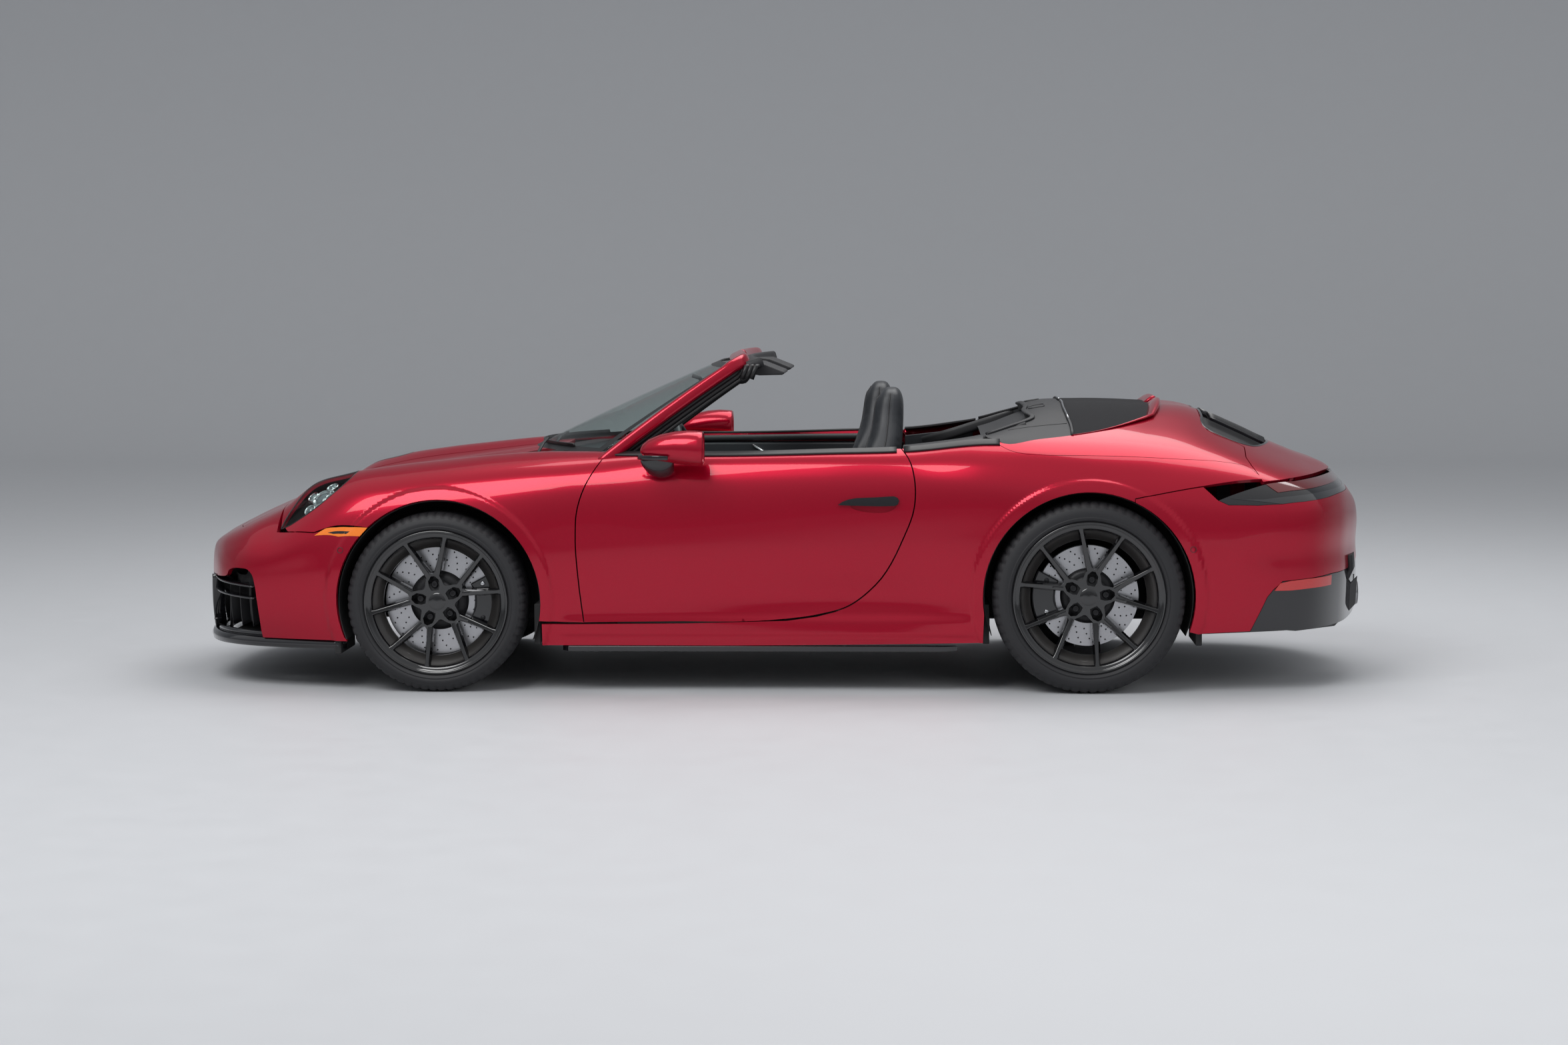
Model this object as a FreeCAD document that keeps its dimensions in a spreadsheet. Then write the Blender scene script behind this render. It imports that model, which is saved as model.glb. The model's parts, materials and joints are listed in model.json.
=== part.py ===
"""A two-door open sports car with its engine behind the rear axle, modelled at full size in millimetres.

The origin is on the ground below the middle of the car. +Z is up, the nose points along -X and the car's left
side is at -Y. Every panel, wheel, seat and lid is a separate solid.
"""
import FreeCAD, Part
import Sketcher
import math
import os
from FreeCAD import Placement, Rotation, Vector

doc = FreeCAD.newDocument("convertible_car")

# Driving dimensions, in millimetres and degrees: alias, value, meaning
SIZES = (
    ("wheelbase", 2450, "distance between the axle lines"),
    ("front_overhang", 1003, "nose to front axle"),
    ("rear_overhang", 1100, "rear axle to tail"),
    ("body_width", 1852, "width over the rear arches"),
    ("ride_height", 176, "ground to the sill's lower edge"),
    ("panel_gap", 6.5, "gap round doors and lids"),
    ("panel_wall", 20, "thickness of the outer panels"),
    ("seat_gap", 0.3, "gap where one piece rests against another"),
    ("front_half_track", 782, "car's middle to the front tyre's middle"),
    ("rear_half_track", 768, "car's middle to the rear tyre's middle"),
    ("front_tyre_radius", 340, "front tyre outer radius"),
    ("rear_tyre_radius", 361, "rear tyre outer radius"),
    ("front_tyre_width", 245, "front tyre section width"),
    ("rear_tyre_width", 310, "rear tyre section width"),
    ("front_bead_radius", 254, "front rim bead seat radius"),
    ("rear_bead_radius", 266.7, "rear rim bead seat radius"),
    ("flange_height", 18, "rim flange above the bead seat"),
    ("front_rim_half", 116, "front rim half width over the flanges"),
    ("rear_rim_half", 148, "rear rim half width over the flanges"),
    ("front_rim_turn", 99.5, "direction of a front rim's first bolt, in degrees from the rear"),
    ("rear_rim_turn", 79, "direction of a rear rim's first bolt, in degrees from the rear"),
    ("spoke_dish", 41, "depth of the hub cap below the outer flange"),
    ("spoke_width", 15, "face width of a spoke"),
    ("bolt_circle_radius", 65, "wheel bolts' pitch radius"),
    ("bolt_radius", 11, "wheel bolt head radius"),
    ("front_disc_radius", 204, "front brake disc radius"),
    ("rear_disc_radius", 190, "rear brake disc radius"),
    ("disc_thickness", 34, "brake disc thickness"),
    ("spindle_radius", 30, "wheel spindle radius"),
    ("spindle_clearance", 0.3, "radial gap round the spindle"),
    ("front_arch_radius", 385, "front wheel arch opening radius"),
    ("rear_arch_radius", 394, "rear wheel arch opening radius"),
    ("liner_gap", 10, "arch lip to the liner behind it"),
    ("door_thickness", 130, "door's thickness at the arm rest"),
    ("hinge_setback", 100, "door hinge behind the door's leading edge"),
    ("hinge_inset", 16, "door hinge inside the door skin"),
    ("hinge_pin_radius", 8, "door hinge pin radius"),
    ("glass_thickness", 6, "windscreen thickness"),
    ("floor_thickness", 14, "floor plate thickness"),
    ("steering_wheel_radius", 180, "steering wheel outer radius"),
    ("column_angle", 24, "steering column above the horizontal"),
    ("tail_pipe_radius", 48, "exhaust tail pipe outer radius"),
    ("kingpin_inset", 49, "steering axis inside the tyre's middle plane"),
)

sheet = doc.addObject("Spreadsheet::Sheet", "sizes")
for row, (alias, value, meaning) in enumerate(SIZES, 1):
    sheet.set(f"A{row}", meaning)
    sheet.set(f"B{row}", str(value))
    sheet.setAlias(f"B{row}", alias)
doc.recompute()


def size(alias):
    return float(sheet.get(alias))


# Places that follow from the driving dimensions, as expressions for bound objects and as numbers
FRONT_AXLE = "(sizes.front_overhang - sizes.wheelbase - sizes.rear_overhang) / 2"
REAR_AXLE = "(sizes.front_overhang + sizes.wheelbase - sizes.rear_overhang) / 2"
half_length = (size("front_overhang") + size("wheelbase") + size("rear_overhang")) / 2
front_axle = size("front_overhang") - half_length
rear_axle = front_axle + size("wheelbase")
wall = size("panel_wall")
gap = size("panel_gap")
seat = size("seat_gap")

# The body's sections are drawn for this car. Each drawn place is carried to the real one by the three maps below.
DRAWN_HALF_WIDTH = 926.0
DRAWN_RIDE = 176.0
# drawn x and the real x that it stands for
ANCHORS = (
    (-2276.5, -half_length),
    (-1640.0, front_axle - 366.5),
    (-745.0, front_axle + 528.5),
    (560.0, rear_axle - 616.5),
    (1600.0, rear_axle + 423.5),
    (2276.5, half_length),
)


def bx(x):
    """Real x of a drawn x."""
    for (d0, r0), (d1, r1) in zip(ANCHORS, ANCHORS[1:]):
        if x <= d1 or d1 == ANCHORS[-1][0]:
            return r0 + (r1 - r0) * (x - d0) / (d1 - d0)


def by(y):
    """Real y of a drawn y."""
    return y * size("body_width") / 2 / DRAWN_HALF_WIDTH


def bz(z):
    """Real z of a drawn z."""
    return z + size("ride_height") - DRAWN_RIDE


# Half sections of the body: x, then y z of the lower edge, lower side, widest, upper side, crest and inner
# points, then z at the car's middle
NOSE_SECTIONS = (
    (-2276.5, 60, 385, 79, 402, 86, 430, 82, 455, 68, 469, 36, 475, 476),
    (-2268, 126, 295, 160, 335, 169, 400, 162, 460, 139, 488, 71, 497, 500),
    (-2250, 228, 215, 272, 270, 284, 380, 271, 475, 231, 508, 125, 521, 525),
    (-2210, 388, 190, 432, 275, 447, 390, 426, 490, 369, 532, 198, 549, 553),
    (-2130, 588, 190, 632, 285, 649, 400, 616, 517, 531, 568, 282, 589, 595),
    (-2020, 710, 190, 750, 290, 766, 420, 728, 550, 620, 614, 330, 641, 647),
    (-1900, 768, 190, 806, 300, 822, 440, 785, 572, 655, 668, 380, 691, 698),
    (-1770, 812, 190, 848, 310, 864, 460, 820, 645, 662, 768, 430, 739, 739),
    (-1640, 850, 190, 880, 320, 893, 490, 828, 728, 675, 812, 470, 769, 769),
    (-1450, 868, 190, 896, 330, 908, 520, 843, 766, 684, 844, 500, 800, 802),
    (-1273, 873, 186, 901, 340, 912, 540, 848, 788, 692, 864, 520, 824, 828),
    (-1050, 873, 180, 897, 340, 907, 540, 850, 803, 702, 885, 545, 853, 855),
    (-880, 872, 176, 886, 330, 896, 545, 852, 812, 716, 894, 570, 876, 878),
    (-700, 871, 176, 876, 330, 886, 550, 852, 815, 745, 893, 590, 890, 892),
)
TAIL_SECTIONS = (
    (520, 876, 183, 876, 330, 893, 580, 872, 830, 800, 912, 690, 925, 930),
    (780, 895, 190, 908, 330, 918, 590, 893, 832, 800, 937, 690, 962, 968),
    (1000, 900, 195, 918, 340, 926, 600, 897, 817, 800, 932, 560, 1020, 1052),
    (1176, 900, 200, 920, 350, 926, 610, 893, 812, 790, 926, 540, 1022, 1064),
    (1400, 895, 210, 916, 360, 925, 620, 882, 805, 770, 915, 500, 1018, 1056),
    (1600, 885, 222, 905, 370, 914, 625, 862, 798, 740, 895, 450, 1000, 1042),
    (1771, 855, 226, 880, 380, 890, 625, 832, 782, 705, 862, 400, 945, 974),
    (1900, 815, 228, 842, 380, 853, 620, 795, 763, 670, 828, 370, 892, 914),
    (2030, 744, 230, 773, 380, 786, 612, 734, 740, 611, 794, 335, 843, 860),
    (2140, 595, 235, 621, 385, 632, 600, 588, 712, 494, 762, 271, 803, 818),
    (2205, 422, 245, 447, 395, 458, 585, 429, 678, 361, 720, 200, 748, 757),
    (2250, 244, 270, 270, 400, 281, 560, 265, 638, 224, 672, 120, 690, 695),
    (2270, 116, 330, 140, 420, 145, 530, 138, 593, 116, 617, 63, 628, 631),
    (2276.5, 56, 400, 73, 450, 77, 510, 73, 558, 60, 577, 34, 586, 588),
)


def section_points(row):
    """The seven points of a half section, in the car's real y and z."""
    pairs = [(row[i], row[i + 1]) for i in range(1, 13, 2)] + [(0, row[13])]
    return [(by(y), bz(z)) for y, z in pairs]


def inset_points(points, depth):
    """The points moved into the body by depth, square to the section's outline."""
    moved = []
    for i, (y, z) in enumerate(points):
        y0, z0 = points[max(i - 1, 0)]
        y1, z1 = points[min(i + 1, len(points) - 1)]
        if i == len(points) - 1:
            moved.append((0.0, z - depth))
            continue
        along_y, along_z = y1 - y0, z1 - z0
        length = math.hypot(along_y, along_z)
        moved.append((y - depth * along_z / length, z + depth * along_y / length))
    return moved


def arc_edge(a, b, c):
    """An arc through three points, or a line where they are in line."""
    flat = abs((b - a).cross(c - b).Length) < 1e-3 * (c - a).Length
    return Part.LineSegment(a, c).toShape() if flat else Part.Arc(a, b, c).toShape()


def hull_wire(x, points, drop=0.0):
    """A closed section across the whole car: three arcs up the left side, three down the right, and the bottom.

    A hollow's section goes on straight down by drop, so that it opens the shell below.
    """
    left = [Vector(x, -y, z) for y, z in points]
    right = [Vector(x, y, z) for y, z in reversed(points)]
    edges = [arc_edge(*left[i : i + 3]) for i in (0, 2, 4)]
    edges += [arc_edge(*right[i : i + 3]) for i in (0, 2, 4)]
    if drop:
        low_left, low_right = left[0] - Vector(0, 0, drop), right[-1] - Vector(0, 0, drop)
        edges.append(Part.LineSegment(right[-1], low_right).toShape())
        edges.append(Part.LineSegment(low_right, low_left).toShape())
        edges.append(Part.LineSegment(low_left, left[0]).toShape())
    else:
        edges.append(Part.LineSegment(right[-1], left[0]).toShape())
    return Part.Wire(edges)


def hull(rows, depth=0.0):
    """A solid through the sections, inset by depth on every side but the open one, which it runs past."""
    wires = []
    nose = rows[0][0] < -2000
    for row in rows:
        x = bx(row[0])
        if depth and abs(row[0]) > 2000:
            x += depth if nose else -depth
        points = section_points(row)
        wires.append((x, inset_points(points, depth) if depth else points))
    open_end = wires[-1] if nose else wires[0]
    if depth:
        past = (open_end[0] + (3 if nose else -3), open_end[1])
        wires = wires + [past] if nose else [past] + wires
    drop = 40 if depth else 0
    return Part.makeLoft([hull_wire(x, p, drop) for x, p in wires], True, True)


def feature(name, shape):
    made = doc.addObject("Part::Feature", name)
    made.Shape = shape
    return made


def prism(name, points, axis, low, high):
    """A prism of an outline: axis Y takes (x, z) points, axis Z takes (x, y) points and axis X takes (y, z)."""
    to_vector = {
        "X": lambda p: Vector(low, p[0], p[1]),
        "Y": lambda p: Vector(p[0], low, p[1]),
        "Z": lambda p: Vector(p[0], p[1], low),
    }[axis]
    corners = [to_vector(p) for p in points]
    face = Part.Face(Part.makePolygon(corners + corners[:1]))
    along = {"X": Vector(1, 0, 0), "Y": Vector(0, 1, 0), "Z": Vector(0, 0, 1)}[axis]
    return feature(name, face.extrude(along * (high - low)))


def bound(obj, **expressions):
    for path, expression in expressions.items():
        obj.setExpression(path.replace("__", "."), str(expression))
    return obj


def box(name, x, y, z, length, width, height):
    """A box from its lowest corner, each value an expression."""
    made = doc.addObject("Part::Box", name)
    return bound(made, Length=length, Width=width, Height=height,
                 Placement__Base__x=x, Placement__Base__y=y, Placement__Base__z=z)


def rod(name, radius, height, x, y, z, turn=None):
    """A cylinder from the middle of its foot. turn is an axis and an angle away from +Z."""
    made = doc.addObject("Part::Cylinder", name)
    if turn:
        made.Placement = Placement(Vector(), Rotation(Vector(*turn[0]), turn[1]))
    return bound(made, Radius=radius, Height=height,
                 Placement__Base__x=x, Placement__Base__y=y, Placement__Base__z=z)


def fuse(name, *parts):
    made = doc.addObject("Part::MultiFuse", name)
    made.Shapes = list(parts)
    return made


def common(name, *parts):
    made = doc.addObject("Part::MultiCommon", name)
    made.Shapes = list(parts)
    return made


def cut(name, base, *tools):
    made = doc.addObject("Part::Cut", name)
    made.Base = base
    made.Tool = tools[0] if len(tools) == 1 else fuse(name + "_tools", *tools)
    return made


def mirrored(name, source):
    made = doc.addObject("Part::Mirroring", name)
    made.Source = source
    made.Normal = Vector(0, 1, 0)
    return made


sub_parts = {}


def part(label, obj):
    """Registers an object as a sub-part under its own label."""
    obj.Label = label
    sub_parts[label] = obj
    return obj


def grown(points, by_distance):
    """The outline with every edge moved outward by a distance (inward where it is negative)."""
    area = sum(a[0] * b[1] - b[0] * a[1] for a, b in zip(points, points[1:] + points[:1]))
    side = by_distance if area > 0 else -by_distance
    moved = []
    for i in range(len(points)):
        p, q, r = points[i - 1], points[i], points[(i + 1) % len(points)]
        d1 = (q[0] - p[0], q[1] - p[1])
        d2 = (r[0] - q[0], r[1] - q[1])
        l1, l2 = math.hypot(*d1), math.hypot(*d2)
        n1 = (d1[1] / l1, -d1[0] / l1)
        n2 = (d2[1] / l2, -d2[0] / l2)
        scale = side / (1 + n1[0] * n2[0] + n1[1] * n2[1])
        moved.append((q[0] + scale * (n1[0] + n2[0]), q[1] + scale * (n1[1] + n2[1])))
    return moved


def side_view(points):
    return [(bx(x), bz(z)) for x, z in points]


def plan_view(points):
    return [(bx(x), by(y)) for x, y in points]


def both_sides(half):
    """A plan outline closed across the car from its half with positive y, drawn from front to back."""
    return half + [(x, -y) for x, y in reversed(half)]


# The body's solids: outer hulls, their hollows, and the shells between them
DOOR_SECTIONS = (
    (-450, 872, 176, 874, 330, 885, 560, 856, 816, 785, 893, 600, 896, 898),
    (-150, 873, 176, 873, 330, 886, 568, 860, 818, 795, 894, 620, 898, 900),
    (200, 874, 179, 873, 330, 888, 575, 866, 824, 800, 902, 650, 908, 911),
)
MIDDLE_SECTIONS = NOSE_SECTIONS[-2:] + DOOR_SECTIONS + TAIL_SECTIONS[:2]
REAR_SECTIONS = DOOR_SECTIONS[-1:] + TAIL_SECTIONS


def hull_features(tag, rows):
    """The hull, the inner bodies that a part must stay within, and the shell."""
    outer = feature(tag + "_hull", hull(rows))
    core = feature(tag + "_core", hull(rows, wall))
    inner = feature(tag + "_inner", hull(rows, wall + seat))
    clear = feature(tag + "_clear", hull(rows, wall + 15))
    return outer, cut(tag + "_shell", outer, core), inner, clear


nose_hull, nose_shell, nose_inner, nose_clear = hull_features("nose", NOSE_SECTIONS)
tail_hull, tail_shell, tail_inner, tail_clear = hull_features("tail", REAR_SECTIONS)
middle_hull = feature("middle_hull", hull(MIDDLE_SECTIONS))

front_hub = size("front_tyre_radius")
rear_hub = size("rear_tyre_radius")
FAR = 1100


def arch(name, expression_x, hub, radius, inner_y, more="0"):
    """The wheel opening on both sides, a cylinder along Y that leaves the car between the wheels alone."""
    made = []
    for side in (-1, 1):
        base = f"{-FAR}" if side < 0 else f"{inner_y}"
        made.append(rod(f"{name}_{'left' if side < 0 else 'right'}", f"{radius} + {more}", f"{FAR - inner_y}",
                        expression_x, base, hub, ((1, 0, 0), -90)))
    return made


FRONT_ARCH_X = f"{FRONT_AXLE} + 9"
REAR_ARCH_X = REAR_AXLE
front_arches = arch("front_arch", FRONT_ARCH_X, "sizes.front_tyre_radius", "sizes.front_arch_radius", 466)
rear_arches = arch("rear_arch", REAR_ARCH_X, "sizes.rear_tyre_radius", "sizes.rear_arch_radius", 560)

# Shut lines. Side views take (x, z), plans take (x, y) with the half on the car's right.
BONNET_SIDE = [(-2118, 140), (-2112, 300), (-2096, 450), (-2072, 552), (-2020, 545), (-1930, 512), (-1840, 500),
               (-1760, 515), (-1600, 548), (-1273, 572), (-1000, 590), (-902, 598)]
BONNET_BACK = [(-960, 400), (-1008, 220), (-1026, 80)]
BONNET = BONNET_SIDE + BONNET_BACK + [(x, -y) for x, y in reversed(BONNET_SIDE + BONNET_BACK)]
LAMP = [(-1884, 604), (-1884, 660), (-1830, 742), (-1745, 800), (-1660, 822), (-1597, 826), (-1600, 815),
        (-1613, 800), (-1655, 760), (-1709, 713), (-1772, 667), (-1809, 643), (-1845, 620)]
LAMP_PLAN = [(-1960, 790), (-1883, 762), (-1855, 722), (-1823, 682), (-1780, 642), (-1720, 616), (-1640, 622),
             (-1560, 665), (-1560, 950), (-1960, 950)]
BUMPER = [(-2300, 120), (-2300, 700), (-2080, 700), (-2076, 598), (-2031, 591), (-1968, 583), (-1848, 581),
          (-1735, 587), (-1540, 589), (-1540, 400), (-1655, 340), (-1655, 120)]
DOOR = [(-646, 875), (-710, 776), (-743, 677), (-746, 600), (-734, 397), (-717, 263), (-344, 268), (48, 278),
        (159, 293), (282, 326), (382, 405), (487, 585), (525, 686), (530, 796), (504, 883), (480, 990), (-640, 990)]
COWL_BACK = -700

bonnet_cut = prism("bonnet_cut", grown(plan_view(BONNET), gap / 2), "Z", bz(420), bz(960))
bonnet_tool = prism("bonnet_tool", grown(plan_view(BONNET), -gap / 2), "Z", bz(420), bz(960))


def lamp_tools(tag, by_distance):
    shape = grown(side_view(LAMP), by_distance)
    plan = grown(plan_view(LAMP_PLAN), by_distance)
    side = prism(tag + "_side", shape, "Y", -FAR, FAR)
    tools = []
    for name, sign in (("left", -1), ("right", 1)):
        outline = [(x, sign * y) for x, y in plan]
        top = prism(f"{tag}_plan_{name}", outline, "Z", bz(400), bz(900))
        tools.append(common(f"{tag}_{name}", side, top))
    return tools


lamp_cuts = lamp_tools("lamp_cut", 0.2)
lamp_bodies = lamp_tools("lamp_body", -0.2)
bumper_tool = prism("bumper_tool", grown(side_view(BUMPER), -0.2), "Y", -FAR, FAR)
bumper_cut = prism("bumper_cut", grown(side_view(BUMPER), 0.2), "Y", -FAR, FAR)
door_tool = prism("door_tool", grown(side_view(DOOR), -gap / 2), "Y", -FAR, -by(400))
door_cut = prism("door_cut", grown(side_view(DOOR), gap / 2), "Y", -FAR, FAR)

# Bonnet and the panels round it
bonnet = part("bonnet", common("bonnet_panel", nose_shell, bonnet_tool))

cowl_half = [(-1060, 300), (-940, 640), (-742, 640), (-742, 480), (-860, 300)]
cowl_tool = prism("cowl_tool", plan_view(both_sides(cowl_half)), "Z", bz(700), bz(960))
cowl_cut = prism("cowl_cut", grown(plan_view(both_sides(cowl_half)), 0.3), "Z", bz(700), bz(960))
cowl = part("cowl", cut("cowl_panel", common("cowl_raw", nose_shell, cowl_tool), bonnet_cut))

bumper_raw = common("bumper_raw", nose_shell, bumper_tool)
intake_outline = side_view([(-2400, 238), (-2400, 404), (-2184, 409), (-2109, 421), (-2097, 448), (-2044, 455),
                            (-2008, 452), (-1988, 415), (-1976, 340), (-1970, 238)])
intake_cuts = [prism(f"intake_{i}", intake_outline, "Y", by(a), by(b)) for i, (a, b) in enumerate(((-800, -330), (330, 800)))]
middle_outline = side_view([(-2400, 238), (-2400, 400), (-2180, 400), (-2180, 238)])
intake_cuts.append(prism("intake_middle", middle_outline, "Y", -by(290), by(290)))
front_bumper = part("front_bumper", cut("front_bumper_panel", bumper_raw, bonnet_cut, *lamp_cuts, *intake_cuts,
                                        *front_arches))

# Wings
side_half = {"left": (-FAR, 0), "right": (0, FAR)}
sill_front = box("sill_front", bx(-940), -FAR, 0, 440, 2 * FAR, bz(262.3))
wing_toe = box("wing_toe", bx(-1700), -FAR, 0, 200, 2 * FAR, bz(400))
wing_raw = cut("wing_raw", nose_shell, sill_front, wing_toe, bumper_cut, bonnet_cut, cowl_cut, *lamp_cuts, *front_arches, door_cut)
for name, (low, high) in side_half.items():
    half_box = box(f"wing_box_{name}", "-2000", low, 100, 1350, high - low, 1000)
    part(f"wing_{name}", common(f"wing_{name}_panel", wing_raw, half_box))
    index = 0 if name == "left" else 1
    part(f"headlamp_{name}", common(f"headlamp_{name}_lens", nose_shell, lamp_bodies[index]))

# Lip below the bumper
LIP_HALF = [(-2268, 130), (-2252, 270), (-2215, 410), (-2140, 580), (-2040, 690), (-1900, 762), (-1750, 803), (-1652, 832)]
lip_outline = plan_view(both_sides(LIP_HALF))
lip_plate = prism("lip_plate", lip_outline, "Z", bz(150), bz(186))
lip_hollow = prism("lip_hollow", grown(lip_outline, -70), "Z", bz(140), bz(170))
lip_rise = cut("lip_rise", prism("lip_rise_outer", lip_outline, "Z", bz(180), bz(214)),
               prism("lip_rise_hollow", grown(lip_outline, -60), "Z", bz(186), bz(220)))
part("front_lip", cut("front_lip_body", fuse("lip_raw", lip_plate, common("lip_rise_in", lip_rise, nose_inner)),
                      lip_hollow, *front_arches))

# Front grille: a frame behind the bumper with two long slats a side and upright flaps
grille_parts = []
for z in (262, 322, 382):
    grille_parts.append(box(f"slat_{z}", bx(-2260), -by(730), bz(z), 260, 2 * by(730), 12))
for i, y in enumerate((-700, -560, -420, -300, 300, 420, 560, 700)):
    grille_parts.append(box(f"flap_{i}", bx(-2235), by(y) - 4, bz(240), 215, 8, 150))
grille_parts.append(box("grille_foot", bx(-2260), -by(730), bz(238), 260, 2 * by(730), 8))
grille_hollow = box("grille_hollow", bx(-2110), -by(282), bz(230), 200, 2 * by(282), 200)
part("front_grille", cut("front_grille_body", common("grille_in", fuse("grille_raw", *grille_parts), nose_inner),
                         grille_hollow, *front_arches))

# Sills and the blades under them
sill_top = box("sill_top", bx(-900), -FAR, bz(262), bx(-680) - bx(-900), 2 * FAR, 100)
for name, sign in (("left", -1), ("right", 1)):
    outer = box(f"sill_box_{name}", bx(-869), sign * FAR if sign < 0 else by(700), bz(170),
                bx(560) - bx(-869), FAR - by(700), bz(300) - bz(170))
    raw = common(f"sill_raw_{name}", middle_hull, outer)
    part(f"sill_{name}", cut(f"sill_{name}_panel", raw, door_cut, sill_top, *front_arches, *rear_arches))
    blade_outline = [(-800, 845), (-760, 878), (640, 882), (690, 850)]
    outline = [(x, sign * y) for x, y in plan_view(blade_outline)]
    part(f"sill_blade_{name}", prism(f"sill_blade_{name}_body", outline, "Z", bz(154), bz(175.7)))

# Doors with their mirrors
plan = [(-760, -1050), (560, -1050), (560, -835), (528, -835), (470, -756), (-600, -756), (-735, -838), (-760, -838)]
door_block = prism("door_block", [(bx(x), by(y)) for x, y in plan], "Z", bz(200), bz(960))
hinge_x = bx(-746) + size("hinge_setback")
hinge_y = -(by(886) - size("hinge_inset"))
HINGE_HEIGHTS = (bz(330), bz(640))
slots = []
for i, z in enumerate(HINGE_HEIGHTS):
    sector = [(hinge_x - 150, hinge_y - 1), (hinge_x, hinge_y - 14), (hinge_x + 16, hinge_y),
              (hinge_x + 34, hinge_y + 160), (hinge_x - 150, hinge_y + 160)]
    slots.append(prism(f"hinge_slot_{i}", sector, "Z", z + 20, z + 46))
    slots.append(rod(f"hinge_bore_{i}", "sizes.hinge_pin_radius + sizes.seat_gap", 68, hinge_x, hinge_y, z - 1))
door_left = cut("door_left_body", common("door_left_panel", middle_hull, door_tool, door_block), *slots)
part("door_left", door_left)
part("door_right", mirrored("door_right_panel", door_left))
MIRROR = [(-500, 862), (-500, 930), (-440, 990), (-330, 1000), (-272, 985), (-268, 880), (-300, 862)]
mirror_head = prism("mirror_head", side_view(MIRROR), "Y", -1016, -880)
mirror_foot = prism("mirror_foot", side_view([(-440, 806), (-470, 870), (-380, 870), (-360, 815)]), "Y", -930, -by(862))
mirror_left = cut("mirror_left_body", fuse("mirror_both", mirror_head, mirror_foot), middle_hull)
part("mirror_left", mirror_left)
part("mirror_right", mirrored("mirror_right_body", mirror_left))

# Windscreen: a bent slab between the cowl and the header, split into its frame and its glass
def screen_slab(name, margin, head_margin, front, back):
    """A slab of the windscreen, larger at its sides and at its head by the margins, from front to back along X."""
    foot_half, head_half = by(735) + margin, by(590) + margin
    rise, reach = 0.5 * head_margin, 0.88 * head_margin
    wires = []
    for z, half, middle_x, corner_x in ((bz(892), foot_half, bx(-985), bx(-662)),
                                        (bz(1229) + rise, head_half, bx(-246) + reach, bx(-180) + reach)):
        ring = []
        for shift, order in ((front, 1), (back, -1)):
            ends = [Vector(corner_x + shift, -half, z), Vector(middle_x + shift, 0, z),
                    Vector(corner_x + shift, half, z)][::order]
            ring.append(ends)
        wires.append(Part.Wire([Part.Arc(*ring[0]).toShape(), Part.LineSegment(ring[0][2], ring[1][0]).toShape(),
                                Part.Arc(*ring[1]).toShape(), Part.LineSegment(ring[1][2], ring[0][0]).toShape()]))
    return feature(name, Part.makeLoft(wires, True, True))


screen_hole = screen_slab("screen_hole", 0, 0, -60, 160)
part("windscreen_frame", cut("windscreen_frame_body", screen_slab("screen_frame_slab", 40, 82, -14, 64), screen_hole,
                             nose_hull, middle_hull))
part("windscreen", screen_slab("windscreen_glass", -0.4, -0.4, 0, size("glass_thickness") * 2.2))

# Tail panels
GRILLE_HALF = [(1648, 470), (1672, 500), (1764, 505), (1831, 466), (1883, 335)]
LID_HALF = [(1630, 440), (1640, 510), (1672, 530), (1780, 533), (1779, 600), (1775, 668), (1792, 730), (1816, 780),
            (1848, 830), (1900, 860), (2300, 860)]
lid_outline = plan_view(both_sides(LID_HALF))
LID_CUT = [(1590, 1200), (1590, 790), (1837, 790), (1960, 797), (2030, 801), (2110, 806), (2300, 806), (2300, 1200)]
lid_box = {s: common(f"lid_zone_{s}", prism(f"lid_plan_{s}", grown(lid_outline, d), "Z", bz(600), bz(1300)),
                     prism(f"lid_side_{s}", grown(side_view(LID_CUT), d), "Y", -FAR, FAR))
           for s, d in (("tool", -gap / 2), ("cut", gap / 2))}
grille_hole = prism("grille_hole", plan_view(both_sides(GRILLE_HALF)), "Z", bz(700), bz(1300))
grille_fill = prism("grille_fill", grown(plan_view(both_sides(GRILLE_HALF)), -seat), "Z", bz(700), bz(1300))
part("engine_lid", cut("engine_lid_panel", common("lid_raw", tail_shell, lid_box["tool"]), grille_hole))

slats = []
for i in range(7):
    for side in (-1, 1):
        y = side * (34 + 72 * i)
        slats.append(box(f"grille_slat_{i}_{'l' if side < 0 else 'r'}", bx(1646), by(y) - 12, bz(850), 250, 24, 300))
for i, x in enumerate((1658, 1765, 1866)):
    slats.append(box(f"grille_bar_{i}", bx(x), -by(505), bz(850), 10, 2 * by(505), 300))
part("engine_grille", common("engine_grille_body", fuse("grille_bars", *slats), grille_fill, tail_shell))

# Soft top cover: the black hump behind the seats
COVER_HALF = [(773, 690), (800, 760), (861, 806), (992, 774), (1121, 731), (1214, 685), (1302, 623), (1395, 530),
              (1431, 480), (1460, 300)]
cover_plan = plan_view(both_sides(COVER_HALF))
cover_tool = prism("cover_tool", cover_plan, "Z", bz(800), bz(1300))
cover_cut = prism("cover_cut", grown(cover_plan, seat), "Z", bz(800), bz(1300))
part("soft_top_cover", common("soft_top_cover_body", tail_shell, cover_tool))

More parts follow.
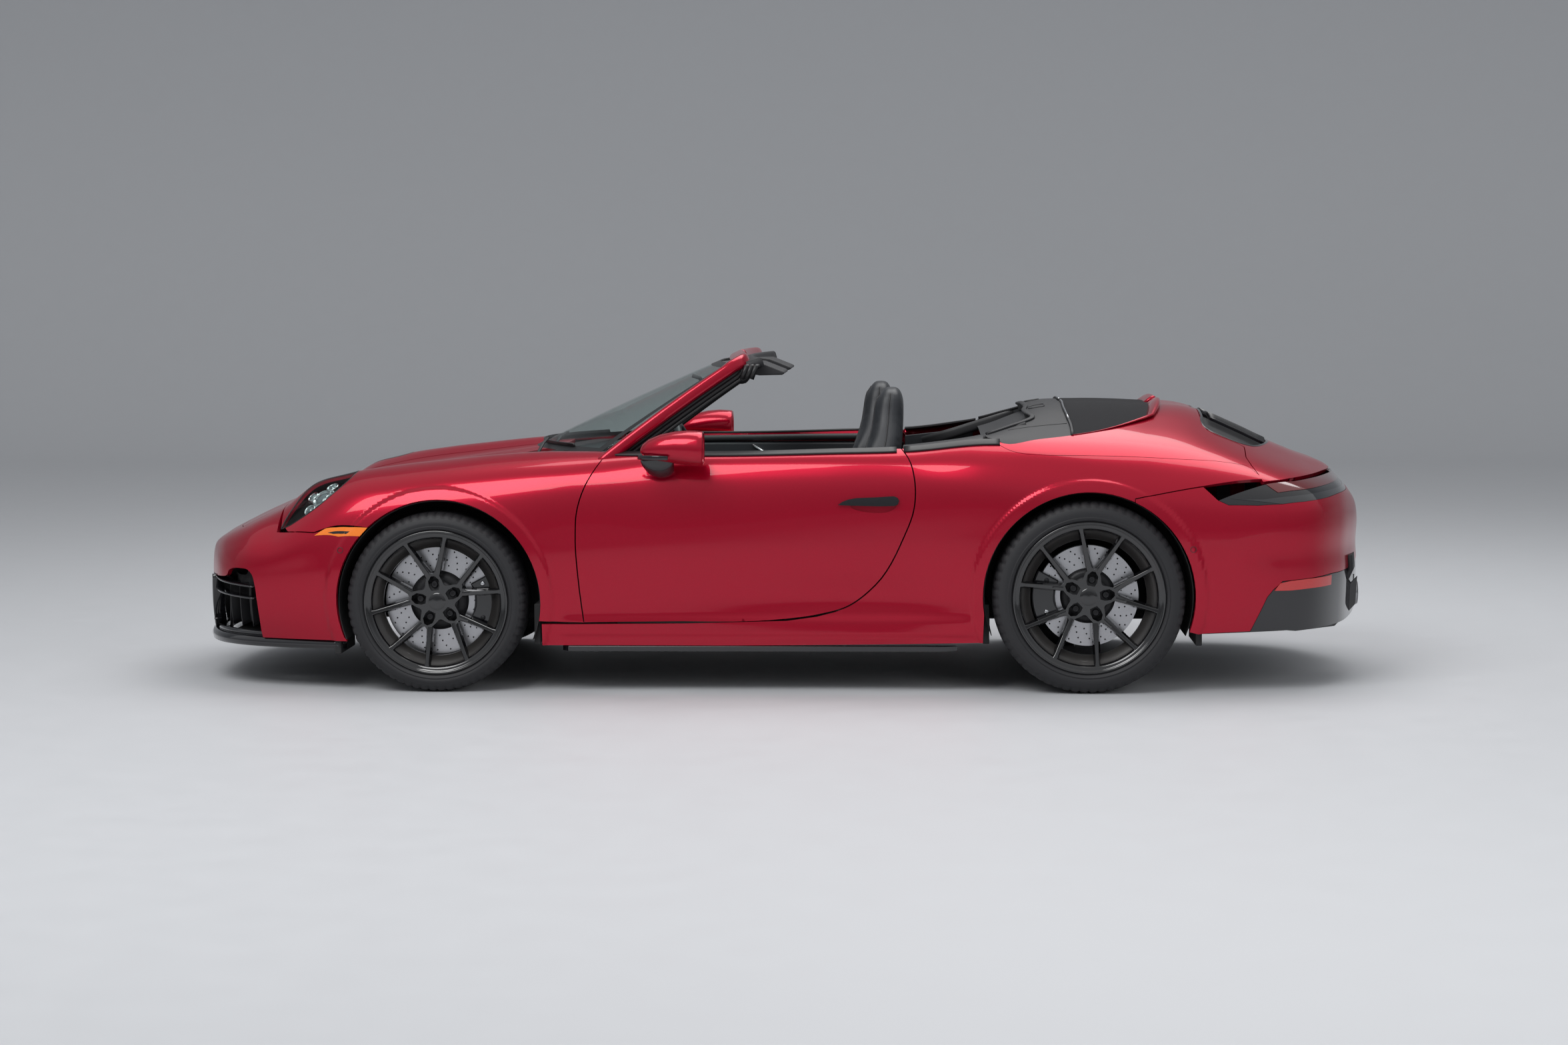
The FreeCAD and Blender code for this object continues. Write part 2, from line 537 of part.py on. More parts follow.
# Rear bumper, lamp bar and diffuser are bands of the tail below the lid
LAMP_BAND = [(1602, 770), (1640, 737), (1690, 710), (1800, 704), (1900, 706), (2020, 716), (2100, 724), (2160, 733),
             (2300, 737), (2300, 798), (2110, 798), (2030, 793), (1960, 789), (1837, 782)]
lamp_tool = prism("lamp_tool", side_view(LAMP_BAND), "Y", -FAR, FAR)
lamp_gap = prism("lamp_gap", grown(side_view(LAMP_BAND), 0.3), "Y", -FAR, FAR)
part("lamp_bar", common("lamp_bar_body", tail_shell, lamp_tool))
TAIL_LOW = [(1540, 100), (1540, 226), (1781, 232), (1842, 360), (1865, 388), (1900, 418), (2097, 434), (2300, 436),
            (2300, 100)]
low_tool = prism("low_tool", side_view(TAIL_LOW), "Y", -FAR, FAR)
low_gap = prism("low_gap", grown(side_view(TAIL_LOW), seat), "Y", -FAR, FAR)
part("rear_diffuser", cut("rear_diffuser_panel", common("low_raw", tail_shell, low_tool), *rear_arches))
TAIL_MIDDLE = [(1343, 100), (1343, 727), (1602, 771), (1700, 755), (1850, 750), (2100, 762), (2200, 768), (2400, 768),
               (2400, 100)]
bumper_band = prism("bumper_band", side_view(TAIL_MIDDLE), "Y", -FAR, FAR)
bumper_band_cut = prism("bumper_band_cut", grown(side_view(TAIL_MIDDLE), 0.3), "Y", -FAR, FAR)
part("rear_bumper", cut("rear_bumper_panel", common("rear_mid", tail_shell, bumper_band), low_gap, lamp_gap,
                        *rear_arches))

# The red deck round the cover runs back to the engine lid
DECK_LINE = [(700, 1300), (700, 937), (850, 922), (911, 901), (1005, 892), (1310, 886), (1523, 873), (1657, 864),
             (1770, 850), (1850, 845), (1850, 1300)]
deck_tool = prism("deck_tool", side_view(DECK_LINE), "Y", -FAR, FAR)
deck_cut = prism("deck_cut", grown(side_view(DECK_LINE), seat), "Y", -FAR, FAR)
deck_end = box("deck_end", bx(773), -FAR, 0, bx(1778) - bx(773), 2 * FAR, 2000)
part("rear_deck", cut("rear_deck_panel", common("deck_raw", tail_shell, deck_tool, deck_end), cover_cut,
                      lid_box["cut"]))
deck_room = common("deck_room", deck_cut, box("deck_room_box", bx(773) - seat, -FAR, 0,
                                              bx(1778) - bx(773) + 2 * seat, 2 * FAR, 2000))

# Rear wings take the rest of the tail, open over the cabin
cabin_open = box("cabin_open", bx(100), -by(706), bz(700), bx(772) - bx(100), 2 * by(706), 600)
rear_raw = cut("rear_raw", tail_shell, door_cut, cabin_open, deck_room, cover_cut, lid_box["cut"], lamp_gap, low_gap,
               bumper_band_cut, *rear_arches)
sill_gap = box("sill_gap", bx(100), -FAR, 100, bx(560.3) - bx(100), 2 * FAR, bz(300.3) - 100)
for name, (low, high) in side_half.items():
    half_box = box(f"rear_box_{name}", "0", low, 100, 2300, high - low, 1300)
    part(f"rear_wing_{name}", cut(f"rear_wing_{name}_panel", common(f"rear_wing_{name}_raw", rear_raw, half_box),
                                  sill_gap))

# The cabin's floor with its tunnel, bulkheads, hinge posts and hinge pins
thin = size("floor_thickness")
tub_y = by(455)
tail_y = by(560)
cabin_front = bx(-905)
cabin_back = bx(778) + 14
near = by(699.7)
cabin = [
    box("floor_plate", bx(-900), -near, bz(180), bx(792) - bx(-900), 2 * near, "sizes.floor_thickness"),
    box("tunnel", bx(-900), -by(95), bz(180), bx(792) - bx(-900), 2 * by(95), 150),
    box("front_bulkhead", cabin_front, -by(640), bz(180), 16, 2 * by(640), 620),
    box("rear_bulkhead", bx(778), -by(690), bz(180), 14, 2 * by(690), 560),
]
for sign, name in ((-1, "left"), (1, "right")):
    cabin.append(box(f"cabin_post_{name}", bx(-900), -near if sign < 0 else near - 60, bz(180),
                     hinge_x + 40 - bx(-900), 60, 560))
    for i, z in enumerate(HINGE_HEIGHTS):
        arm_y = hinge_y if sign < 0 else near - 60
        cabin.append(box(f"hinge_arm_{i}_{name}", hinge_x - 14, arm_y, z + 26, 28, -hinge_y - near + 60, 14))
        cabin.append(rod(f"hinge_pin_{i}_{name}", "sizes.hinge_pin_radius", 66, hinge_x, sign * -hinge_y, z))
    for i, x in enumerate((-650, 560)):
        cabin.append(box(f"jack_pad_{i}_{name}", bx(x) - 45, sign * by(640) - 30, bz(168), 90, 60, 13))
cabin_raw = fuse("cabin_raw", *cabin)
mid_zone = box("mid_zone", bx(-702), -FAR, 0, bx(522) - bx(-702), 2 * FAR, 2000)
part("floor_pan", fuse("floor_pan_body", common("floor_nose", cabin_raw, nose_clear),
                       common("floor_mid", cabin_raw, mid_zone), common("floor_tail", cabin_raw, tail_clear)))

# The luggage tub in the nose, with the rests that the bonnet and the front bumper sit on
tub_end = cabin_front - seat
tub_x = bx(-1930)
tub = [
    box("tub_floor", tub_x, -tub_y, bz(300), tub_end - tub_x, 2 * tub_y, thin),
    box("tub_front", tub_x, -tub_y, bz(300), thin, 2 * tub_y, 330),
]
feet = []
for sign, name in ((-1, "left"), (1, "right")):
    tub.append(box(f"tub_wall_{name}", tub_x, -tub_y if sign < 0 else tub_y - thin, bz(300),
                   tub_end - tub_x, thin, 400))
    tub.append(box(f"bumper_arm_{name}", bx(-2262), sign * by(370) - 30, bz(400), bx(-1925) - bx(-2262), 60, 60))
    feet.append(box(f"bumper_foot_{name}", bx(-2275), sign * by(370) - 30, bz(410), 300, 60, 40))
    for i, x in enumerate((-1500, -1300, -970)):
        feet.append(box(f"bonnet_rest_{i}_{name}", bx(x), sign * by(440) - 14, bz(650), 50, 28, 300))
part("luggage_tub", fuse("luggage_tub_body", common("tub_fitted", fuse("tub_raw", *tub), nose_clear),
                         common("tub_rests", fuse("tub_rests_raw", *feet), nose_inner)))

# The tail's frame with the rests that the engine lid and the rear bumper sit on
tail_start = cabin_back + seat
tail = [
    box("tail_floor", tail_start, -by(420), bz(290), bx(2000) - tail_start, 2 * by(420), thin),
    box("tail_cross", bx(1990), -by(540), bz(290), thin, 2 * by(540), 330),
]
feet = []
for sign, name in ((-1, "left"), (1, "right")):
    tail.append(box(f"tail_wall_{name}", tail_start, -tail_y if sign < 0 else tail_y - thin, bz(290),
                    bx(2000) - tail_start, thin, 300))
    tail.append(box(f"tail_step_{name}", tail_start, -tail_y if sign < 0 else by(420) - 1, bz(290),
                    bx(2000) - tail_start, by(141), thin))
    tail.append(box(f"tail_arm_{name}", bx(1990), sign * by(370) - 30, bz(470), bx(2290) - bx(1990), 60, 60))
    feet.append(box(f"tail_foot_{name}", bx(2000), sign * by(370) - 30, bz(480), 290, 60, 40))
    for i, x in enumerate((1680, 1900)):
        feet.append(box(f"lid_rest_{i}_{name}", bx(x), sign * by(545) - 10, bz(560), 50, 20, 500))


def liner(name, axle, hub, radius, low_y, high_y, sign):
    """The curved wall of one wheel housing, a half ring over the wheel."""
    outer = rod(f"{name}_outer", f"{radius} + sizes.liner_gap + 8", high_y - low_y, axle,
                -high_y if sign < 0 else low_y, hub, ((1, 0, 0), -90))
    inner = rod(f"{name}_inner", f"{radius} + sizes.liner_gap", high_y - low_y + 20, axle,
                (-high_y if sign < 0 else low_y) - 10, hub, ((1, 0, 0), -90))
    return cut(f"{name}_ring", outer, inner)


bulkhead_room = box("bulkhead_room", bx(778) - seat, -by(690) - seat, 0, 14 + 2 * seat, 2 * (by(690) + seat), 2000)
for sign, name in ((-1, "left"), (1, "right")):
    post_y = -near - seat if sign < 0 else near - 60 - seat
    post_room = box(f"post_room_{name}", bx(-900) - seat, post_y, 0, 200, 60 + 2 * seat, 2000)
    wall_room = box(f"wall_room_{name}", cabin_front - seat, -by(640) - seat, 0, 300, 2 * (by(640) + seat), 2000)
    ring = liner(f"front_liner_{name}", FRONT_ARCH_X, "sizes.front_tyre_radius", "sizes.front_arch_radius",
                 tub_y + seat, 960, sign)
    over = box(f"front_liner_box_{name}", bx(-1800), -FAR, bz(300), bx(-850) - bx(-1800), 2 * FAR, 800)
    part(f"front_housing_{name}", cut(f"front_housing_{name}_body",
                                      common(f"front_liner_{name}", ring, over, nose_inner), post_room, wall_room))
    ring = liner(f"rear_liner_{name}", REAR_ARCH_X, "sizes.rear_tyre_radius", "sizes.rear_arch_radius",
                 tail_y - 4, 960, sign)
    over = box(f"rear_liner_box_{name}", bx(740), -FAR, bz(300), bx(1640) - bx(740), 2 * FAR, 800)
    wall = rod(f"rear_housing_{name}", "sizes.rear_arch_radius + sizes.liner_gap + 8", 6, REAR_ARCH_X,
               -tail_y - 2 if sign < 0 else tail_y - 4, "sizes.rear_tyre_radius", ((1, 0, 0), -90))
    feet.append(cut(f"rear_housing_{name}_fitted", common(f"rear_housing_{name}_raw",
                                                          fuse(f"rear_housing_{name}_all", ring, wall), over),
                    bulkhead_room))
part("tail_frame", fuse("tail_frame_body", common("tail_fitted", fuse("tail_raw", *tail), tail_clear),
                        common("tail_rests", fuse("tail_rests_raw", *feet), tail_inner)))

# Engine block, a plain block at its real place
part("engine_block", box("engine_block_body", bx(1420), -290, bz(290) + thin + 0.1, 560, 580, 330))

# Exhaust: a silencer with two pairs of tail pipes
silencer = box("silencer", bx(1990) + size("floor_thickness") + seat, -by(395), bz(262), 72, 2 * by(395), 110)
pipes = [silencer]
for i, y in enumerate((-230, -120, 120, 230)):
    pipes.append(rod(f"tail_pipe_{i}", "sizes.tail_pipe_radius", bx(2252) - bx(2040), bx(2040), by(y), bz(318),
                     ((0, 1, 0), 90)))
pipes_body = fuse("pipes_raw", *pipes)
part("tail_pipes", pipes_body)
pipe_holes = [box(f"pipe_hole_{i}", bx(2060), by(y) - by(110), bz(266), 300, 2 * by(110), 104)
              for i, y in enumerate((-175, 175))]
diffuser = sub_parts["rear_diffuser"]
part("rear_diffuser", cut("rear_diffuser_body", diffuser, *pipe_holes))


# Wheels. Each profile is drawn as (radius, distance inboard of the wheel's middle plane).
def term(*pairs, plus=0.0):
    """A sum of named sizes as its number and as an expression."""
    number = plus + sum(factor * size(alias) for factor, alias in pairs)
    text = " + ".join(f"({factor}) * sizes.{alias}" for factor, alias in pairs)
    return number, f"{text} + ({plus})" if text else f"{plus}"


def spun(name, profile):
    """A body made by turning a closed profile of (radius, along) terms about its Y axis."""
    body = doc.addObject("PartDesign::Body", name)
    sketch = body.newObject("Sketcher::SketchObject", name + "_profile")
    plane = [f for f in body.Origin.OriginFeatures if f.Role == "XY_Plane"][0]
    sketch.AttachmentSupport = [(plane, "")]
    sketch.MapMode = "FlatFace"
    corners = [Vector(r[0], a[0], 0) for r, a in profile]
    for i, corner in enumerate(corners):
        sketch.addGeometry(Part.LineSegment(corner, corners[(i + 1) % len(corners)]))
    for i in range(len(corners)):
        sketch.addConstraint(Sketcher.Constraint("Coincident", i, 2, (i + 1) % len(corners), 1))
    for i, (r, a) in enumerate(profile):
        for kind, (number, text) in (("DistanceX", r), ("DistanceY", a)):
            index = sketch.addConstraint(Sketcher.Constraint(kind, -1, 1, i, 1, number))
            if "sizes." in text:
                sketch.setExpression(f"Constraints[{index}]", text)
    turn = body.newObject("PartDesign::Revolution", name + "_turn")
    turn.Profile = sketch
    turn.ReferenceAxis = (sketch, ["V_Axis"])
    turn.Angle = 360
    body.Tip = turn
    return body


def at_hub(obj, axle, hub, side_sign, half_track):
    """Stands an object drawn round the origin at its hub."""
    return bound(obj, Placement__Base__x=axle, Placement__Base__y=f"{side_sign} * {half_track}",
                 Placement__Base__z=hub)


def wheel_solids(end):
    """The tyre, rim and disc of one axle's left wheel, drawn round the origin with the outside towards -Y."""
    bead = (1, f"{end}_bead_radius")
    width = f"{end}_tyre_width"
    outer = (1, f"{end}_tyre_radius")
    half = f"{end}_rim_half"
    tyre_half = [
        (term(bead, plus=0.3), term((1, half), plus=-34)),
        (term(bead, plus=0.3), term((1, half), plus=-13)),
        (term(bead, plus=18.5), term((1, half), plus=-11)),
        (term(bead, plus=19), term((1, half), plus=-1)),
        (term((0.55, f"{end}_bead_radius"), (0.45, f"{end}_tyre_radius")), term((0.5, width))),
        (term(outer, plus=-26), term((0.5, width), plus=-5)),
        (term(outer, plus=-7), term((0.5, width), plus=-17)),
        (term(outer), term((0.5, width), plus=-40)),
    ]
    inner_half = [
        (term(outer, plus=-16), term((0.5, width), plus=-40)),
        (term((0.5, f"{end}_bead_radius"), (0.5, f"{end}_tyre_radius")), term((0.5, width), plus=-12)),
        (term(bead, plus=20), term((1, half), plus=-28)),
    ]

    def flipped(points):
        return [(r, (-a[0], f"-({a[1]})")) for r, a in points]

    outline = tyre_half + flipped(tyre_half)[::-1] + flipped(inner_half)[::-1] + inner_half
    tyre = spun(f"{end}_tyre", outline)
    rim_line = [
        (term(bead), term((-1, half), plus=12)),
        (term(bead, plus=18), term((-1, half), plus=10)),
        (term(bead, plus=18), term((-1, half))),
        (term(bead, plus=6), term((-1, half))),
        (term(bead, plus=-10), term((-1, half), plus=12)),
        (term(bead, plus=-24), term((-1, half), plus=34)),
        (term(bead, plus=-30), term((-1, half), plus=60)),
        (term(bead, plus=-10), term((-1, half), plus=96)),
        (term(bead, plus=-9), term((1, half))),
        (term(bead, plus=18), term((1, half))),
        (term(bead, plus=18), term((1, half), plus=-9)),
        (term(bead), term((1, half), plus=-12)),
        (term(bead), term((-1, half), plus=98)),
        (term(bead, plus=-20), term((-1, half), plus=62)),
        (term(bead, plus=-14), term((-1, half), plus=40)),
    ]
    rim = spun(f"{end}_barrel", rim_line)
    bead_r = size(f"{end}_bead_radius")
    face = -size(f"{end}_rim_half")
    dish = size("spoke_dish")
    solids = [rim]
    hub_y = face + dish
    hub_back = hub_y + 50
    solids.append(rod(f"{end}_hub", 74, f"{hub_back - hub_y - 6}", 0, f"{hub_back}", 0, ((1, 0, 0), 90)))
    solids.append(rod(f"{end}_cap", 38, 12, 0, f"{hub_y + 12}", 0, ((1, 0, 0), 90)))
    half_w = size("spoke_width") / 2
    for i in range(5):
        lug = math.radians(size(f"{end}_rim_turn") + 72 * i)
        arm = rim_bar(f"{end}_arm_{i}", lug, lug, 40, 122, 34, 15, hub_y + 4, hub_y + 2, 46, 34)
        solids.append(arm)
        for k, turn in enumerate((-18, 18)):
            to = lug + math.radians(turn)
            solids.append(rim_bar(f"{end}_spoke_{i}_{k}", lug, to, 108, bead_r - 9, half_w + 3, half_w,
                                  hub_y + 1, face + 13, 36, 24))
    raw = fuse(f"{end}_rim_raw", *solids)
    bore = rod(f"{end}_bore", "sizes.spindle_radius + sizes.spindle_clearance", 60, 0,
               f"{hub_back + 1}", 0, ((1, 0, 0), 90))
    pockets = [bore]
    bolts = []
    for i in range(5):
        lug = math.radians(size(f"{end}_rim_turn") + 72 * i)
        r = size("bolt_circle_radius")
        x, z = r * math.cos(lug), r * math.sin(lug)
        pockets.append(rod(f"{end}_pocket_{i}", "sizes.bolt_radius + 5", 40, f"{x}", f"{hub_y + 26}", f"{z}",
                           ((1, 0, 0), 90)))
        bolts.append(rod(f"{end}_bolt_{i}", "sizes.bolt_radius", 16, f"{x}", f"{hub_y + 28}", f"{z}",
                         ((1, 0, 0), 90)))
    rim_done = fuse(f"{end}_rim", cut(f"{end}_rim_cut", raw, *pockets), *bolts)
    disc_r = (1, f"{end}_disc_radius")
    thick = (1, "disc_thickness")
    d0 = hub_back + 0.1
    disc = spun(f"{end}_disc", [
        (term((1, "spindle_radius"), plus=0.5), term(plus=d0)),
        (term(plus=86), term(plus=d0)),
        (term(plus=86), term(plus=d0 + 14)),
        (term(disc_r), term(plus=d0 + 14)),
        (term(disc_r), term(thick, plus=d0 + 14)),
        (term(plus=80), term(thick, plus=d0 + 14)),
        (term(plus=80), term(plus=d0 + 8)),
        (term((1, "spindle_radius"), plus=0.5), term(plus=d0 + 8)),
    ])
    return tyre, rim_done, disc, d0


def rim_bar(name, from_angle, to_angle, r0, r1, w0, w1, y0, y1, deep0, deep1):
    """A bar of the rim from one polar place to another, its face at y0 then y1."""
    a = Vector(r0 * math.cos(from_angle), 0, r0 * math.sin(from_angle))
    b = Vector(r1 * math.cos(to_angle), 0, r1 * math.sin(to_angle))
    along = (b - a).normalize()
    across = Vector(-along.z, 0, along.x)
    wires = []
    for p, w, y, deep in ((a, w0, y0, deep0), (b, w1, y1, deep1)):
        corners = [p + across * w * 0.8 + Vector(0, y, 0), p + across * w + Vector(0, y + 6, 0),
                   p + across * w * 0.9 + Vector(0, y + deep, 0), p - across * w * 0.9 + Vector(0, y + deep, 0),
                   p - across * w + Vector(0, y + 6, 0), p - across * w * 0.8 + Vector(0, y, 0)]
        wires.append(Part.makePolygon(corners + corners[:1]))
    return feature(name, Part.makeLoft(wires, True, True))


def caliper(name, radius, d0, angle, half_angle):
    """A brake caliper round the disc: a block over its edge, less the disc's slot."""
    disc_front = d0 + 14
    thick = size("disc_thickness")
    corners = []
    for i in range(7):
        a = math.radians(angle - half_angle + i * half_angle / 3)
        corners.append(((radius + 20) * math.cos(a), (radius + 20) * math.sin(a)))
    for i in range(7):
        a = math.radians(angle + half_angle - i * half_angle / 3)
        corners.append(((radius - 66) * math.cos(a), (radius - 66) * math.sin(a)))
    block = prism(name + "_block", corners, "Y", disc_front - 22, disc_front + thick + 22)
    slot = rod(name + "_slot", radius + 5, thick + 10, 0, disc_front + thick + 5, 0, ((1, 0, 0), 90))
    return cut(name, block, slot)


AXLES = {
    "front": (FRONT_AXLE, "sizes.front_tyre_radius", "sizes.front_half_track", front_hub, 0),
    "rear": (REAR_AXLE, "sizes.rear_tyre_radius", "sizes.rear_half_track", rear_hub, 180),
}
ball_reach = {}
for end, (axle, hub, track, hub_number, caliper_angle) in AXLES.items():
    tyre, rim, disc, d0 = wheel_solids(end)
    for what, obj in (("tyre", tyre), ("rim", rim), ("disc", disc)):
        left = at_hub(obj, axle, hub, -1, track)
        part(f"{what}_{end}_left", left)
        part(f"{what}_{end}_right", mirrored(f"{what}_{end}_right_body", left))
    back = d0 + 14 + size("disc_thickness")
    spindle = rod(f"{end}_spindle", "sizes.spindle_radius", f"{back + 26 - d0 + 44}", 0, f"{back + 26}", 0,
                  ((1, 0, 0), 90))
    upright = box(f"{end}_upright", -52, f"{back + 5}", -140, 104, 24, 290)
    reach = box(f"{end}_reach", 0 if end == "front" else -175, f"{back + 5}", -45, 175, 16, 90)
    ball_y = size("kingpin_inset") if end == "front" else back + 26
    ball = rod(f"{end}_ball_post", 20, 60, 0, "sizes.kingpin_inset" if end == "front" else ball_y, -170)
    ball_reach[end] = size(f"{end}_half_track") - ball_y - (4 if end == "front" else -20)
    grip = caliper(f"{end}_caliper", size(f"{end}_disc_radius"), d0, caliper_angle, 27)
    knuckle = at_hub(fuse(f"{end}_knuckle", spindle, upright, reach, grip, ball), axle, hub, -1, track)
    part(f"knuckle_{end}_left", knuckle)
    part(f"knuckle_{end}_right", mirrored(f"knuckle_{end}_right_body", knuckle))

# Suspension: arms and beams between the body and the knuckles
for end, (axle, hub, track, hub_number, _) in AXLES.items():
    x0 = front_axle if end == "front" else rear_axle
    under = bz(300) if end == "front" else bz(290)
    reach_y = ball_reach[end]
    low = hub_number - 170 - seat - 30
    beam = box(f"{end}_beam", f"{x0} - 45", f"{-reach_y}", low, 90, f"{2 * reach_y}", 30)
    posts = [box(f"{end}_post_{sign + 1}", f"{x0} - 40", sign * by(360) - 20, low, 80, 40, under - seat - low)
             for sign in (-1, 1)]
    part(f"{end}_axle_beam", fuse(f"{end}_axle_beam_body", beam, *posts))

# Cabin
dash_outline = [(-860, 560), (-860, 862), (-700, 872), (-560, 866), (-520, 800), (-540, 690), (-620, 600),
                (-720, 560)]
dash = prism("dash_block", side_view(dash_outline), "Y", -by(638), by(638))
hood = prism("dash_hood", side_view([(-700, 850), (-690, 918), (-560, 930), (-540, 850)]), "Y", -by(520), -by(220))
part("console", fuse("console_body",
                     box("console_low", bx(-620), -by(110), bz(330.2), bx(330) - bx(-620), 2 * by(110), 120),
                     box("console_front", bx(-620), -by(110), bz(430), 90, 2 * by(110), 110)))


def chair(name, x, y):
    base = prism(name + "_cushion", [(bx(x - 480), bz(300)), (bx(x - 480), bz(470)), (bx(x - 60), bz(430)),
                                     (bx(x), bz(300))], "Y", by(y) - 250, by(y) + 250)
    backrest = prism(name + "_backrest", [(bx(x - 90), bz(300)), (bx(x - 90), bz(440)), (bx(x + 60), bz(900)),
                                          (bx(x + 90), bz(1110)), (bx(x + 130), bz(1146)), (bx(x + 190), bz(1140)),
                                          (bx(x + 200), bz(1060)), (bx(x + 80), bz(600)), (bx(x + 40), bz(300))],
                     "Y", by(y) - 240, by(y) + 240)
    shoulders = [prism(f"{name}_side_{s + 1}", [(by(y) + s * 260, bz(880)), (by(y) + s * 110, bz(1160)),
                                                (by(y) + s * 260, bz(1160))], "X", bx(x - 150), bx(x + 260))
                 for s in (-1, 1)]
    legs = box(name + "_legs", bx(x - 420), by(y) - 200, bz(180) + size("floor_thickness") + 0.1, 380, 400,
               120 - size("floor_thickness") + 10)
    return fuse(name, cut(name + "_shaped", fuse(name + "_raw", base, backrest), *shoulders), legs)


part("seat_left", chair("seat_left_body", 270, -370))
part("seat_right", chair("seat_right_body", 220, 370))
rear_bench = prism("rear_bench", [(bx(560), bz(180) + size("floor_thickness") + 0.1), (bx(560), bz(520)),
                                  (bx(690), bz(520)), (bx(740), bz(880)), (bx(777), bz(900)),
                                  (bx(777), bz(180) + size("floor_thickness") + 0.1)], "Y", -by(540), by(540))
tunnel_room = box("tunnel_room", bx(500), -by(95.3), 0, 400, 2 * by(95.3), bz(330.3))
part("rear_seats", cut("rear_seats_body", rear_bench, tunnel_room))

# Steering wheel on its column, drawn upright round the origin and then leaned back
rim_ring = doc.addObject("Part::Torus", "steering_rim")
bound(rim_ring, Radius1="sizes.steering_wheel_radius - 15", Radius2=15)
hub_pad = rod("steering_hub", 55, 40, 0, 0, -30)
arms = [box("steering_arm_0", "-sizes.steering_wheel_radius + 16", -18, -8, "2 * sizes.steering_wheel_radius - 32", 36, 14),
        box("steering_arm_1", -16, "-sizes.steering_wheel_radius + 16", -8, 32, "sizes.steering_wheel_radius - 16", 14)]
column = rod("steering_column", 22, 210, 0, 0, -235)
steering = fuse("steering_wheel_body", rim_ring, hub_pad, *arms, column)
STEERING_CENTRE = (bx(-330), by(-370), bz(835))
lean = Rotation(Vector(0, 1, 0), 90 - size("column_angle")).multiply(Rotation(Vector(0, 0, 1), 90))
steering.Placement = Placement(Vector(*STEERING_CENTRE), lean)
part("steering_wheel", steering)
column_bore = rod("column_bore", 22.3, 400, 0, 0, -420)
column_bore.Placement = steering.Placement.multiply(Placement(Vector(0, 0, -420), Rotation()))
column_bore.setExpression("Placement.Base.x", None)
column_bore.setExpression("Placement.Base.y", None)
column_bore.setExpression("Placement.Base.z", None)
part("dashboard", cut("dashboard_body", fuse("dash_raw", dash, hood), nose_hull, column_bore))


# Everything is checked before any file is written
doc.recompute()
problems = []
for obj in doc.Objects:
    if "Invalid" in obj.State or "Error" in obj.State:
        problems.append(f"{obj.Name}: {obj.State}")
for label, obj in sub_parts.items():
    shape = obj.Shape
    if shape.isNull() or not shape.isValid() or shape.Volume <= 0:
        problems.append(f"{label}: not a valid solid")
if problems:
    raise RuntimeError("; ".join(problems))
os.makedirs("parts", exist_ok=True)
for label, obj in sub_parts.items():
    obj.Shape.exportStep(f"parts/{label}.step")
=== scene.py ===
import json
import math

import bmesh
import bpy
import numpy as np
from mathutils import Matrix, Vector
from mathutils.geometry import delaunay_2d_cdt

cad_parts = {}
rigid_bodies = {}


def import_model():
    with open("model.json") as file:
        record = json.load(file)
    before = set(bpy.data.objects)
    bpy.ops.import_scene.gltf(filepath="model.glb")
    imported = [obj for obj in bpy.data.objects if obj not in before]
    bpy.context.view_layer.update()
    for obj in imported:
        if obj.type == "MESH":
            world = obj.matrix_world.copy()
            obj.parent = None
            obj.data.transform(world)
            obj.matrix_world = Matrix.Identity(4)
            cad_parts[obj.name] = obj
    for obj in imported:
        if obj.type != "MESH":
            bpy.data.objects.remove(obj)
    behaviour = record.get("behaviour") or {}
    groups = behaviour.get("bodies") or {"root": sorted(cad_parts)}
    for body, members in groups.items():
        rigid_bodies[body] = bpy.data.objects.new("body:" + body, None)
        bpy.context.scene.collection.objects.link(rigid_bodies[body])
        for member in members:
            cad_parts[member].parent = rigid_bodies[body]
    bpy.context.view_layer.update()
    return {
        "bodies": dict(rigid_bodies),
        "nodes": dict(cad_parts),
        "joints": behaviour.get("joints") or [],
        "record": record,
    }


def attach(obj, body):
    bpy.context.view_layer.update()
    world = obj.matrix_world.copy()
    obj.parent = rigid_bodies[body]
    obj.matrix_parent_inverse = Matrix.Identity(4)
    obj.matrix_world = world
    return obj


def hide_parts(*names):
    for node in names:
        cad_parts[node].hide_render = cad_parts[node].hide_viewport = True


bl_info = {
    "name": "Open two-door sports car",
    "version": (1, 0, 0),
    "blender": (4, 0, 0),
    "location": "View3D > Sidebar > Car",
    "description": "Builds the looks of an open sports car round its packed solids",
    "category": "Object",
}

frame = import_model()

